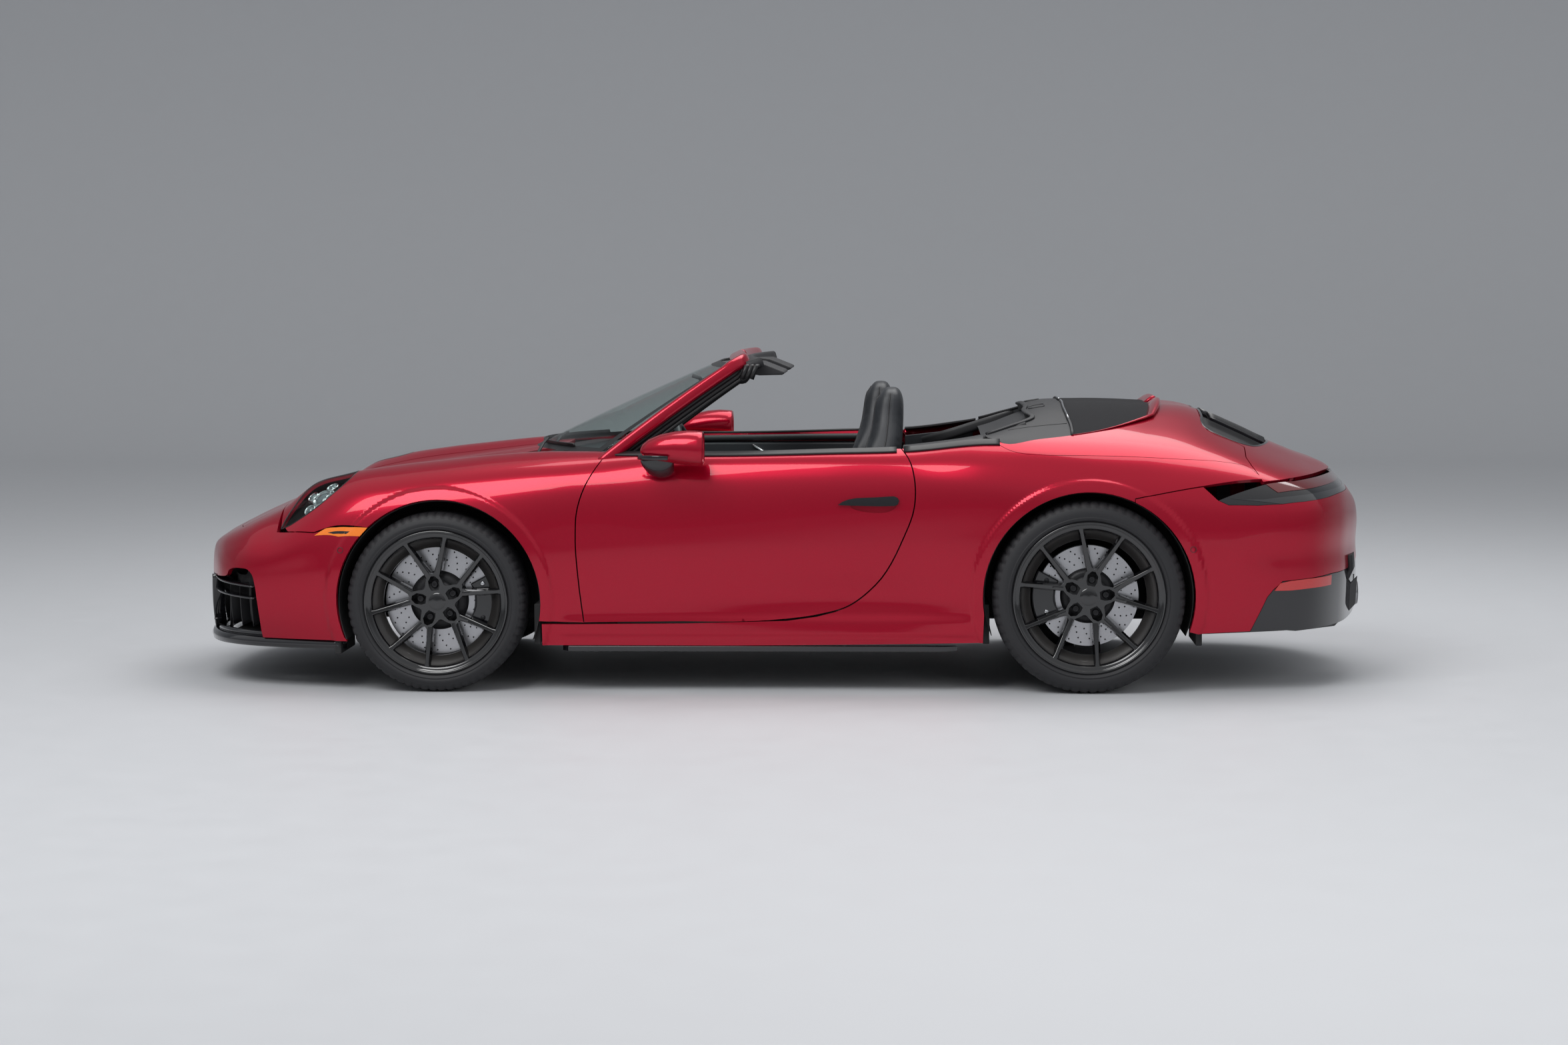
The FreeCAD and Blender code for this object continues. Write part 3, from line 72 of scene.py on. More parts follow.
# The body's half sections in millimetres: x, then y z of seven places from the lower edge to the car's middle
SECTIONS = (
    (-2276.6, 0, 431, 0, 432, 0, 433, 0, 434, 0, 434.5, 0, 434.8, 435),
    (-2276.5, 60, 385, 79, 402, 86, 430, 82, 455, 68, 469, 36, 475, 476),
    (-2268, 126, 295, 160, 335, 169, 400, 162, 460, 139, 488, 71, 497, 500),
    (-2250, 228, 215, 272, 270, 284, 380, 271, 475, 231, 508, 125, 521, 525),
    (-2210, 388, 190, 432, 275, 447, 390, 426, 490, 369, 532, 198, 549, 553),
    (-2130, 588, 190, 632, 285, 649, 400, 616, 517, 531, 568, 282, 589, 595),
    (-2020, 710, 190, 750, 290, 766, 420, 728, 550, 620, 614, 330, 641, 647),
    (-1900, 768, 190, 806, 300, 822, 440, 785, 572, 655, 668, 380, 691, 698),
    (-1770, 812, 190, 848, 310, 864, 460, 820, 645, 662, 768, 430, 739, 739),
    (-1640, 850, 190, 880, 320, 893, 490, 828, 728, 675, 812, 470, 769, 769),
    (-1450, 868, 190, 896, 330, 908, 520, 843, 766, 684, 844, 500, 800, 802),
    (-1273, 873, 186, 901, 340, 912, 540, 848, 788, 692, 864, 520, 824, 828),
    (-1050, 873, 180, 897, 340, 907, 540, 850, 803, 702, 885, 545, 853, 855),
    (-880, 872, 176, 886, 330, 896, 545, 852, 812, 716, 894, 570, 876, 878),
    (-700, 871, 176, 876, 330, 886, 550, 852, 815, 745, 893, 590, 890, 892),
    (-450, 872, 176, 874, 330, 885, 560, 856, 816, 785, 893, 600, 896, 898),
    (-150, 873, 176, 873, 330, 886, 568, 860, 818, 795, 894, 620, 898, 900),
    (200, 874, 179, 873, 330, 888, 575, 866, 824, 800, 902, 650, 908, 911),
    (520, 876, 183, 876, 330, 893, 580, 872, 830, 800, 912, 690, 925, 930),
    (780, 895, 190, 908, 330, 918, 590, 893, 832, 800, 937, 690, 962, 968),
    (1000, 900, 195, 918, 340, 926, 600, 897, 817, 800, 932, 560, 1020, 1052),
    (1176, 900, 200, 920, 350, 926, 610, 893, 812, 790, 926, 540, 1022, 1064),
    (1400, 895, 210, 916, 360, 925, 620, 882, 805, 770, 915, 500, 1018, 1056),
    (1600, 885, 222, 905, 370, 914, 625, 862, 798, 740, 895, 450, 1000, 1042),
    (1771, 855, 226, 880, 380, 890, 625, 832, 782, 705, 862, 400, 945, 974),
    (1900, 815, 228, 842, 380, 853, 620, 795, 763, 670, 828, 370, 892, 914),
    (2030, 744, 230, 773, 380, 786, 612, 734, 740, 611, 794, 335, 843, 860),
    (2140, 595, 235, 621, 385, 632, 600, 588, 712, 494, 762, 271, 803, 818),
    (2205, 422, 245, 447, 395, 458, 585, 429, 678, 361, 720, 200, 748, 757),
    (2250, 244, 270, 270, 400, 281, 560, 265, 638, 224, 672, 120, 690, 695),
    (2270, 116, 330, 140, 420, 145, 530, 138, 593, 116, 617, 63, 628, 631),
    (2276.5, 56, 400, 73, 450, 77, 510, 73, 558, 60, 577, 34, 586, 588),
    (2276.6, 0, 498, 0, 499, 0, 500, 0, 501, 0, 501.5, 0, 501.8, 502),
)
KNOTS = np.array((0, 0.1, 0.23, 0.40, 0.52, 0.66, 1.0))
GIRTH = 1.55
FRONT_AXLE = -1273.5
REAR_AXLE = 1176.5
# Wheel arches in millimetres: the centre's x and z, and the radius
ARCHES = {"front": (FRONT_AXLE + 9, 340, 385), "rear": (REAR_AXLE, 361, 394)}
SIDES = (("left", -1), ("right", 1))
# The windscreen's outward direction
SCREEN_UP = Vector((-0.42, 0, 0.907))
# Quarter turns, and the steering column's lean in degrees
QUARTER_X = Matrix.Rotation(math.radians(90), 4, "X")
QUARTER_Z = Matrix.Rotation(math.radians(90), 4, "Z")
COLUMN_LEAN = 24
# The camera at the photo's place, in metres, and its yaw, pitch and roll in radians
CAMERA_PLACE = (0.5327, -12.6083, 1.5471)
CAMERA_TURN = (0.0421, 0.0770, 0.0032)


def hermite_tangents(t, p):
    """Tangents of a smooth curve through the places p at the parameters t."""
    p = np.asarray(p, float)
    d = (p[1:] - p[:-1]) / (t[1:] - t[:-1])[:, None]
    m = np.empty_like(p)
    w = (t[1:-1] - t[:-2]) / (t[2:] - t[:-2])
    m[1:-1] = d[:-1] * (1 - w[:, None]) + d[1:] * w[:, None]
    m[0] = 1.5 * d[0] - 0.5 * m[1]
    m[-1] = 1.5 * d[-1] - 0.5 * m[-2]
    return m


def hermite(t, p, m, x):
    """The smooth curve through places p with tangents m at the parameters t, read at x."""
    i = np.clip(np.searchsorted(t, x, side="right") - 1, 0, len(t) - 2)
    h = t[i + 1] - t[i]
    f = ((x - t[i]) / h)
    f2, f3 = f * f, f * f * f
    shape = (-1,) + (1,) * (p.ndim - 1)
    a, b = (2 * f3 - 3 * f2 + 1).reshape(shape), ((f3 - 2 * f2 + f) * h).reshape(shape)
    c, e = (-2 * f3 + 3 * f2).reshape(shape), ((f3 - f2) * h).reshape(shape)
    return a * p[i] + b * m[i] + c * p[i + 1] + e * m[i + 1]


class Hull:
    """The body's smooth outer surface in metres, over u (along the car) and s (up the side to the middle)."""

    def __init__(self):
        """Reads the sections and measures u along them."""
        rows = np.array(SECTIONS) / 1000
        self.x = rows[:, 0]
        self.pts = np.stack([rows[:, (1, 3, 5, 7, 9, 11)], rows[:, (2, 4, 6, 8, 10, 12)]], axis=2)
        middle = np.stack([np.zeros(len(rows)), rows[:, 13]], axis=1)[:, None, :]
        self.pts = np.concatenate([self.pts, middle], axis=1)
        flat = np.concatenate([self.x[:, None], self.pts.reshape(len(rows), -1)], axis=1)
        step = np.sqrt(((flat[1:, 0] - flat[:-1, 0]) ** 2)
                       + ((self.pts[1:] - self.pts[:-1]) ** 2).sum(axis=2).mean(axis=1))
        self.u = np.concatenate([[0], np.cumsum(step)])
        self.flat = flat
        self.tangents = hermite_tangents(self.u, flat)
        fine = np.linspace(0, self.u[-1], 6000)
        self.fine_u = fine
        self.fine_x = hermite(self.u, self.flat, self.tangents, fine)[:, 0]
        self.fine_x = np.maximum.accumulate(self.fine_x)

    def at_x(self, x):
        """The u at each x in metres."""
        return np.interp(np.asarray(x, float), self.fine_x, self.fine_u)

    def base(self, u, s):
        """The bare surface at arrays u and s, as an array of (x, y, z) with y positive."""
        u, s = np.asarray(u, float), np.asarray(s, float)
        row = hermite(self.u, self.flat, self.tangents, np.clip(u, 0, self.u[-1]))
        pts = row[:, 1:].reshape(-1, 7, 2)
        k = KNOTS
        d = (pts[:, 1:] - pts[:, :-1]) / (k[1:] - k[:-1])[None, :, None]
        m = np.empty_like(pts)
        w = ((k[1:-1] - k[:-2]) / (k[2:] - k[:-2]))[None, :, None]
        m[:, 1:-1] = d[:, :-1] * (1 - w) + d[:, 1:] * w
        m[:, 0] = 1.5 * d[:, 0] - 0.5 * m[:, 1]
        m[:, 6, 0] = d[:, 5, 0]
        m[:, 6, 1] = 0
        mirror = s > 1
        t = np.clip(np.where(mirror, 2 - s, s), 0, 1)
        i = np.clip(np.searchsorted(k, t, side="right") - 1, 0, 5)
        h = k[i + 1] - k[i]
        f = ((t - k[i]) / h)[:, None]
        h = h[:, None]
        n = np.arange(len(t))
        p0, p1, m0, m1 = pts[n, i], pts[n, i + 1], m[n, i], m[n, i + 1]
        yz = ((2 * f**3 - 3 * f**2 + 1) * p0 + (f**3 - 2 * f**2 + f) * h * m0
              + (-2 * f**3 + 3 * f**2) * p1 + (f**3 - f**2) * h * m1)
        y = np.where(mirror, -yz[:, 0], yz[:, 0])
        return np.stack([row[:, 0], y, yz[:, 1]], axis=1)

    def bare_normal(self, u, s):
        """The outward normal of the bare surface."""
        e = 0.002
        du = self.base(u + e, s) - self.base(u - e, s)
        ds = self.base(u, s + e) - self.base(u, s - e)
        n = np.cross(ds, du)
        return n / np.maximum(np.linalg.norm(n, axis=1), 1e-12)[:, None]

    def point(self, u, s):
        """The surface with its raised and sunk features."""
        p = self.base(u, s)
        return p + self.bare_normal(u, s) * relief(p)[:, None]

    def normal(self, u, s):
        """The outward normal of the surface with its features."""
        e = 0.0025
        du = self.point(u + e, s) - self.point(u - e, s)
        ds = self.point(u, s + e) - self.point(u, s - e)
        n = np.cross(ds, du)
        size = np.linalg.norm(n, axis=1)
        n = n / np.maximum(size, 1e-12)[:, None]
        end = (u < 0.02) | (u > self.u[-1] - 0.02)
        n[end] = np.stack([np.sign(u[end] - 1), np.zeros(end.sum()), np.zeros(end.sum())], axis=1)
        return n

    def side(self, points):
        """(x, z) places in millimetres to (u, s), on the side below the crest."""
        grid = np.linspace(0, 0.56, 400)
        made = []
        for x, z in points:
            u = float(self.at_x(x / 1000))
            column = self.base(np.full(400, u), grid)[:, 2]
            column = np.maximum.accumulate(column)
            made.append((u, float(np.interp(z / 1000, column, grid))))
        return made

    def plan(self, points):
        """(x, y) places in millimetres to (u, s), on the top above the widest place."""
        grid = np.linspace(0.23, 1, 500)
        made = []
        for x, y in points:
            u = float(self.at_x(x / 1000))
            column = self.base(np.full(500, u), grid)[:, 1]
            column = np.minimum.accumulate(column)
            made.append((u, float(np.interp(-abs(y) / 1000, -column, grid))))
        return made

    def round_tail(self, line, switch):
        """A side-view line (x, z) carried along the side as far as x = switch, then round to the middle."""
        xs = np.array([p[0] for p in line]) / 1000
        zs = np.array([p[1] for p in line]) / 1000
        made = self.side([p for p in line if p[0] <= switch])
        us = np.linspace(float(self.at_x(switch / 1000)) - 0.06, self.u[-1] - 0.01, 1200)
        for s in np.linspace(made[-1][1], 1, 28)[1:]:
            column = self.base(us, np.full(1200, s))
            below = np.nonzero(column[:, 2] < np.interp(column[:, 0], xs, zs))[0]
            made.append((float(us[below[0]]), float(s)))
        return made


def smooth_step(low, high, x):
    """0 up to low, 1 from high on, and a smooth rise between them."""
    t = np.clip((x - low) / (high - low), 0, 1)
    return t * t * (3 - 2 * t)


def relief(p):
    """How far the surface stands out at each place: arch lips, the side's hollow, sill and tail."""
    x, z = p[:, 0] * 1000, p[:, 2] * 1000
    out = np.zeros(len(p))
    low_side = 1 - smooth_step(800, 860, z)
    for axle, hub, radius in ARCHES.values():
        r = np.hypot(x - axle, z - hub)
        out += 0.006 * (1 - smooth_step(radius + 36, radius + 54, r)) * low_side
    hollow = np.exp(-(((x - 300) / 520) ** 2) - (((z - 360) / 75) ** 2))
    out -= 0.012 * hollow * low_side
    shelf = smooth_step(205, 225, z) * (1 - smooth_step(262, 300, z)) * smooth_step(-840, -760, x)
    out += 0.004 * shelf * (1 - smooth_step(700, 780, x))
    crease = smooth_step(1700, 1900, x) * np.exp(-(((z - 520) / 60) ** 2))
    out -= 0.006 * crease
    return out


hull = None
MATERIALS = {}


def linked(name, mesh):
    """A new object of the scene with a mesh."""
    obj = bpy.data.objects.new(name, mesh)
    bpy.context.scene.collection.objects.link(obj)
    return obj


def new_mesh(name, points, faces, normals=None):
    """A smooth mesh in metres, with its own normals where they are given."""
    mesh = bpy.data.meshes.new(name)
    mesh.from_pydata([tuple(map(float, p)) for p in points], [], [tuple(int(i) for i in f) for f in faces])
    mesh.polygons.foreach_set("use_smooth", [True] * len(mesh.polygons))
    mesh.update()
    if normals is not None:
        mesh.normals_split_custom_set_from_vertices([tuple(map(float, n)) for n in normals])
    return linked(name, mesh)


def dense(points, step=0.012, closed=True):
    """A polyline cut into short steps, in (u, s) with s counted as metres."""
    made = []
    ends = list(zip(points, points[1:] + (points[:1] if closed else [])))
    for (u0, s0), (u1, s1) in ends:
        n = max(1, int(math.hypot(u1 - u0, (s1 - s0) * GIRTH) / step))
        for i in range(n):
            made.append((u0 + (u1 - u0) * i / n, s0 + (s1 - s0) * i / n))
    if not closed:
        made.append(points[-1])
    return made


def inside(outline, us, ss):
    """Whether each place lies inside an outline."""
    poly = np.array(outline)
    x0, y0 = poly[:, 0], poly[:, 1]
    x1, y1 = np.roll(x0, -1), np.roll(y0, -1)
    result = np.zeros(len(us), bool)
    for a, b, c, d in zip(x0, y0, x1, y1):
        crosses = (b > ss) != (d > ss)
        at = (c - a) * (ss - b) / (d - b + 1e-15) + a
        result ^= crosses & (us < at)
    return result


def near_outline(outline, us, ss, distance):
    """Whether each place lies closer to an outline's places than a distance in metres."""
    poly = np.array(outline)
    close = np.zeros(len(us), bool)
    for i in range(0, len(poly)):
        d = np.hypot(us - poly[i, 0], (ss - poly[i, 1]) * GIRTH)
        close |= d < distance
    return close


def chained(lines):
    """The places of closed lines one after another, and the edges between them."""
    places, edges = [], []
    for line in lines:
        base = len(places)
        places += line
        edges += [(base + i, base + (i + 1) % len(line)) for i in range(len(line))]
    return places, edges


def net(border, hole_lines, step, edge):
    """A net of triangles in (u, s) inside a border and outside holes: its u, its s and its triangles."""
    us = np.arange(min(p[0] for p in border), max(p[0] for p in border), step)
    ss = np.arange(min(p[1] for p in border), max(p[1] for p in border), step / GIRTH)
    gu, gs = np.meshgrid(us, ss)
    gu, gs = gu.ravel(), gs.ravel()
    keep = inside(border, gu, gs)
    gu, gs = gu[keep], gs[keep]
    keep = ~near_outline(border, gu, gs, edge * 0.8)
    for line in hole_lines:
        keep &= ~inside(line, gu, gs) & ~near_outline(line, gu, gs, edge * 0.8)
    flat, edges = chained((border, *hole_lines))
    flat += list(zip(gu[keep], gs[keep]))
    verts, _, faces, *_ = delaunay_2d_cdt([Vector((u, s * GIRTH)) for u, s in flat], edges, [], 0, 1e-7)
    vu = np.array([v[0] for v in verts])
    vs = np.array([v[1] for v in verts]) / GIRTH
    tris = np.array([f for f in faces if len(f) == 3])
    mid_u, mid_s = vu[tris].mean(axis=1), vs[tris].mean(axis=1)
    keep = inside(border, mid_u, mid_s)
    for line in hole_lines:
        keep &= ~inside(line, mid_u, mid_s)
    tris = tris[keep]
    used = np.unique(tris)
    remap = np.full(len(vu), -1)
    remap[used] = np.arange(len(used))
    return vu[used], vs[used], remap[tris]


def rim_directions(rim_edges, outer, normal):
    """For each place on a panel's rim, the direction along the surface that leads out of the panel."""
    summed = {}
    for i, j in rim_edges:
        out = np.cross(outer[j] - outer[i], normal[i])
        length = np.linalg.norm(out)
        if length > 1e-9:
            for q in (i, j):
                summed[q] = summed.get(q, np.zeros(3)) + out / length
    return {q: out / max(np.linalg.norm(out), 1e-9) for q, out in summed.items()}


def panel(name, outline, holes=(), step=0.016, thick=0.016, side=-1, lift=0.0, material="red_paint"):
    """A closed panel over the hull inside an outline in (u, s), with its rim and its inner face."""
    edge = 0.010
    vu, vs, tris = net(dense(outline, edge), [dense(h, edge) for h in holes], step, edge)
    normal = hull.normal(vu, vs)
    outer = hull.point(vu, vs) + normal * lift
    if side < 0:
        outer[:, 1] *= -1
        normal[:, 1] *= -1
    # winding that agrees with the outward normals
    a, b, c = outer[tris[:, 0]], outer[tris[:, 1]], outer[tris[:, 2]]
    flip = (np.cross(b - a, c - a) * normal[tris].sum(axis=1)).sum(axis=1) < 0
    tris[flip] = tris[flip][:, ::-1]
    count = len(outer)
    inner = outer - normal * thick
    directed = {(t[i], t[(i + 1) % 3]): True for t in tris for i in range(3)}
    rim_edges = [(i, j) for i, j in directed if (j, i) not in directed]
    points = list(outer) + list(inner)
    normals = list(normal) + list(-normal)
    faces = [tuple(t) for t in tris] + [tuple(t[::-1] + count) for t in tris]
    rim_index = {}
    for q, direction in rim_directions(rim_edges, outer, normal).items():
        rim_index[q] = len(points)
        points += [outer[q], inner[q]]
        normals += [direction, direction]
    for i, j in rim_edges:
        if i in rim_index and j in rim_index:
            a, b = rim_index[i], rim_index[j]
            faces.append((b, a, a + 1, b + 1))
    obj = new_mesh(name, points, faces, normals)
    obj.data.materials.append(MATERIALS[material])
    return obj


def shrink(outline, distance):
    """An outline in (u, s) with every edge moved inward by a distance in metres."""
    pts = [(u, s * GIRTH) for u, s in outline]
    area = sum(a[0] * b[1] - b[0] * a[1] for a, b in zip(pts, pts[1:] + pts[:1]))
    side = -distance if area > 0 else distance
    moved = []
    for i in range(len(pts)):
        p, q, r = pts[i - 1], pts[i], pts[(i + 1) % len(pts)]
        d1, d2 = (q[0] - p[0], q[1] - p[1]), (r[0] - q[0], r[1] - q[1])
        l1, l2 = math.hypot(*d1), math.hypot(*d2)
        if l1 < 1e-9 or l2 < 1e-9:
            moved.append(q)
            continue
        n1, n2 = (d1[1] / l1, -d1[0] / l1), (d2[1] / l2, -d2[0] / l2)
        dot = 1 + n1[0] * n2[0] + n1[1] * n2[1]
        k = side / max(dot, 0.5)
        moved.append((q[0] + k * (n1[0] + n2[0]), q[1] + k * (n1[1] + n2[1])))
    return [(u, s / GIRTH) for u, s in moved]


def smoothed(points, per=6):
    """A smooth open curve through places, as more places."""
    pts = np.array(points, float)
    t = np.concatenate([[0], np.cumsum(np.linalg.norm(np.diff(pts, axis=0), axis=1))])
    m = hermite_tangents(t, pts)
    fine = np.concatenate([np.linspace(a, b, per, endpoint=False) for a, b in zip(t, t[1:])] + [t[-1:]])
    return [tuple(p) for p in hermite(t, pts, m, fine)]


def arc(axle, hub, radius, start, end, n=48):
    """Places (x, z) on a wheel arch, by angle in degrees from the tail's side."""
    return [(axle + radius * math.cos(math.radians(start + (end - start) * i / n)),
             hub + radius * math.sin(math.radians(start + (end - start) * i / n))) for i in range(n + 1)]


def joined(name, objs):
    """Several meshes as one."""
    for o in bpy.context.selected_objects:
        o.select_set(False)
    for o in objs:
        o.select_set(True)
    bpy.context.view_layer.objects.active = objs[0]
    bpy.ops.object.join()
    made = bpy.context.view_layer.objects.active
    made.name = name
    made.data.name = name
    return made


def applied(obj):
    """The object with its modifiers made real."""
    deps = bpy.context.evaluated_depsgraph_get()
    mesh = bpy.data.meshes.new_from_object(obj.evaluated_get(deps), depsgraph=deps)
    obj.modifiers.clear()
    old = obj.data
    obj.data = mesh
    bpy.data.meshes.remove(old)
    mesh.name = obj.name
    return obj


def plain_mesh(name, points, faces, material, smooth=True):
    """A mesh in metres with one material, its faces turned outward."""
    mesh = bpy.data.meshes.new(name)
    work = bmesh.new()
    verts = [work.verts.new(tuple(map(float, p))) for p in points]
    for f in faces:
        try:
            work.faces.new([verts[int(i)] for i in f])
        except ValueError:
            continue
    bmesh.ops.remove_doubles(work, verts=work.verts, dist=1e-6)
    bmesh.ops.recalc_face_normals(work, faces=work.faces)
    for face in work.faces:
        face.smooth = smooth
    work.to_mesh(mesh)
    work.free()
    mesh.materials.append(MATERIALS[material])
    return linked(name, mesh)


def bevelled(obj, width, segments=3, angle=35):
    """Rounds an object's sharp edges and shades it by its flat faces."""
    mod = obj.modifiers.new("round", "BEVEL")
    mod.width = width
    mod.segments = segments
    mod.limit_method = "ANGLE"
    mod.angle_limit = math.radians(angle)
    mod.harden_normals = True
    return applied(obj)


def subdivided(obj, levels):
    """The object with its faces divided and smoothed."""
    mod = obj.modifiers.new("smooth", "SUBSURF")
    mod.levels = levels
    mod.render_levels = levels
    return applied(obj)


def rings(name, loops, material, wrap=False, levels=0):
    """A skin over closed loops of equal length, its ends closed unless the last loop joins the first."""
    n = len(loops[0])
    points = [p for loop in loops for p in loop]
    faces = []
    rows = len(loops)
    for i in range(rows if wrap else rows - 1):
        for j in range(n):
            a, b = i * n + j, i * n + (j + 1) % n
            c, d = ((i + 1) % rows) * n + (j + 1) % n, ((i + 1) % rows) * n + j
            faces.append((a, b, c, d))
    if not wrap:
        faces.append(tuple(range(n))[::-1])
        faces.append(tuple((rows - 1) * n + j for j in range(n)))
    obj = plain_mesh(name, points, faces, material)
    return subdivided(obj, levels) if levels else obj


def sweep(name, path, profile, material, up=(0, 0, 1), wrap=False, scales=None, ups=None):
    """A profile of (across, up) places in metres carried along a path."""
    path = [Vector(p) for p in path]
    loops = []
    count = len(path)
    for i, p in enumerate(path):
        before = path[i - 1] if (i or wrap) else p
        after = path[(i + 1) % count] if (i < count - 1 or wrap) else p
        along = (after - before).normalized()
        top = Vector(ups[i]) if ups is not None else Vector(up)
        across = along.cross(top).normalized()
        top = across.cross(along)
        k = scales[i] if scales else 1.0
        loops.append([p + across * (a * k) + top * (b * k) for a, b in profile])
    return rings(name, loops, material, wrap=wrap)


def circle(radius, n=12):
    """A round outline of n places."""
    return [(radius * math.cos(2 * math.pi * i / n), radius * math.sin(2 * math.pi * i / n)) for i in range(n)]


def round_box(wide, high, corner, n=4):
    """A rectangle's outline with round corners, centred."""
    made = []
    for cx, cy, start in ((1, 1, 0), (-1, 1, 90), (-1, -1, 180), (1, -1, 270)):
        for i in range(n + 1):
            a = math.radians(start + 90 * i / n)
            x = cx * (wide / 2 - corner) + corner * math.cos(a)
            y = cy * (high / 2 - corner) + corner * math.sin(a)
            made.append((x, y))
    return made


def lathe(name, profile, material, steps=96):
    """A profile of (radius, along y) turned about the y axis."""
    turns = [2 * math.pi * i / steps for i in range(steps)]
    points = [(r * math.cos(a), y, r * math.sin(a)) for a in turns for r, y in profile]
    return plain_mesh(name, points, wrapped_faces(steps, len(profile)), material)


def wrapped_faces(steps, n):
    """The faces between open lines of n places each, the last line joined to the first."""
    faces = []
    for i in range(steps):
        k = (i + 1) % steps
        faces += [(i * n + j, i * n + j + 1, k * n + j + 1, k * n + j) for j in range(n - 1)]
    return faces


def plate(name, outline, front, back, material, holes=(), frame=None, width=0.0, smooth=False):
    """A flat plate between two depths; its frame turns an outline's (a, b) and a depth into a place."""
    flat, edges = chained((outline, *holes))
    verts, _, faces, *_ = delaunay_2d_cdt([Vector(p) for p in flat], edges, [], 0, 1e-7)
    mids = [sum((verts[i] for i in f), Vector((0, 0))) / len(f) for f in faces]
    x, y = np.array([m.x for m in mids]), np.array([m.y for m in mids])
    keep = inside(outline, x, y)
    for line in holes:
        keep &= ~inside(line, x, y)
    faces = [f for f, k in zip(faces, keep) if k]
    place = frame or (lambda a, b, d: (a, d, b))
    n = len(verts)
    points = [place(v.x, v.y, front) for v in verts] + [place(v.x, v.y, back) for v in verts]
    made = [tuple(f) for f in faces] + [tuple(i + n for i in f)[::-1] for f in faces]
    directed = {(f[i], f[(i + 1) % len(f)]) for f in faces for i in range(len(f))}
    made += [(b, a, a + n, b + n) for a, b in directed if (b, a) not in directed]
    obj = plain_mesh(name, points, made, material, smooth=smooth)
    if width:
        work = bmesh.new()
        work.from_mesh(obj.data)
        bmesh.ops.dissolve_limit(work, angle_limit=0.01, verts=work.verts, edges=work.edges)
        work.to_mesh(obj.data)
        work.free()
        obj = bevelled(obj, width)
    return obj


def block(name, x, y, z, material, width=0.004):
    """A box between pairs of limits in metres, with round edges."""
    points = [(a, b, c) for a in x for b in y for c in z]
    faces = [(0, 1, 3, 2), (4, 6, 7, 5), (0, 4, 5, 1), (2, 3, 7, 6), (0, 2, 6, 4), (1, 5, 7, 3)]
    return bevelled(plain_mesh(name, points, faces, material), width)


def on_hull(places, sign=1, lift=0.0):
    """Places (u, s) as points in space and their normals, lifted along them."""
    us, ss = np.array([p[0] for p in places]), np.array([p[1] for p in places])
    normal = hull.normal(us, ss)
    at = hull.point(us, ss) + normal * lift
    at[:, 1] *= sign
    normal[:, 1] *= sign
    return [Vector(p) for p in at], [Vector(n) for n in normal]


def mirrored_copy(obj, name):
    """The same piece on the car's other side."""
    mesh = obj.data.copy()
    mesh.name = name
    mesh.transform(Matrix.Scale(-1, 4, (0, 1, 0)))
    mesh.flip_normals()
    return linked(name, mesh)


def squircle(i, n, power):
    """The i-th of n places round a square with round corners, as across and up."""
    c, s = math.cos(2 * math.pi * i / n), math.sin(2 * math.pi * i / n)
    k = 1 / max(abs(c) ** power + abs(s) ** power, 1e-6) ** (1 / power)
    return c * k, s * k


def bead(name, places, sign, lift, profile, material, **more):
    """A profile carried along places (u, s) of the hull, upright on its surface."""
    at, normals = on_hull(places, sign, lift)
    return sweep(name, at, profile, material, ups=normals, **more)


def faced(place, normal):
    """A matrix that sets a piece drawn round the y axis at a place, facing along a normal."""
    return Matrix.Translation(place) @ normal.to_track_quat("Y", "Z").to_matrix().to_4x4()


def repeat_tree():
    """A node tree that sets round rods along a path, with named spacing, length, radius and material."""
    tree = bpy.data.node_groups.get("repeat_along")
    if tree:
        return tree
    tree = bpy.data.node_groups.new("repeat_along", "GeometryNodeTree")
    face = tree.interface
    face.new_socket("Geometry", in_out="INPUT", socket_type="NodeSocketGeometry")
    for label in ("Spacing", "Length", "Radius"):
        face.new_socket(label, in_out="INPUT", socket_type="NodeSocketFloat")
    face.new_socket("Material", in_out="INPUT", socket_type="NodeSocketMaterial")
    face.new_socket("Geometry", in_out="OUTPUT", socket_type="NodeSocketGeometry")
    nodes, links = tree.nodes, tree.links
    start, end = nodes.new("NodeGroupInput"), nodes.new("NodeGroupOutput")
    curve = nodes.new("GeometryNodeMeshToCurve")
    points = nodes.new("GeometryNodeCurveToPoints")
    points.mode = "LENGTH"
    rod = nodes.new("GeometryNodeMeshCylinder")
    rod.inputs["Vertices"].default_value = 6
    spread = nodes.new("GeometryNodeInstanceOnPoints")
    real = nodes.new("GeometryNodeRealizeInstances")
    look = nodes.new("GeometryNodeSetMaterial")
    align = nodes.new("FunctionNodeAlignEulerToVector")
    align.axis = "Z"
    links.new(start.outputs["Geometry"], curve.inputs["Mesh"])
    links.new(curve.outputs["Curve"], points.inputs["Curve"])
    links.new(start.outputs["Spacing"], points.inputs["Length"])
    links.new(start.outputs["Length"], rod.inputs["Depth"])
    links.new(start.outputs["Radius"], rod.inputs["Radius"])
    links.new(points.outputs["Points"], spread.inputs["Points"])
    links.new(points.outputs["Tangent"], align.inputs["Vector"])
    links.new(align.outputs["Rotation"], spread.inputs["Rotation"])
    links.new(rod.outputs["Mesh"], spread.inputs["Instance"])
    links.new(spread.outputs["Instances"], real.inputs["Geometry"])
    links.new(real.outputs["Geometry"], look.inputs["Geometry"])
    links.new(start.outputs["Material"], look.inputs["Material"])
    links.new(look.outputs["Geometry"], end.inputs["Geometry"])
    return tree


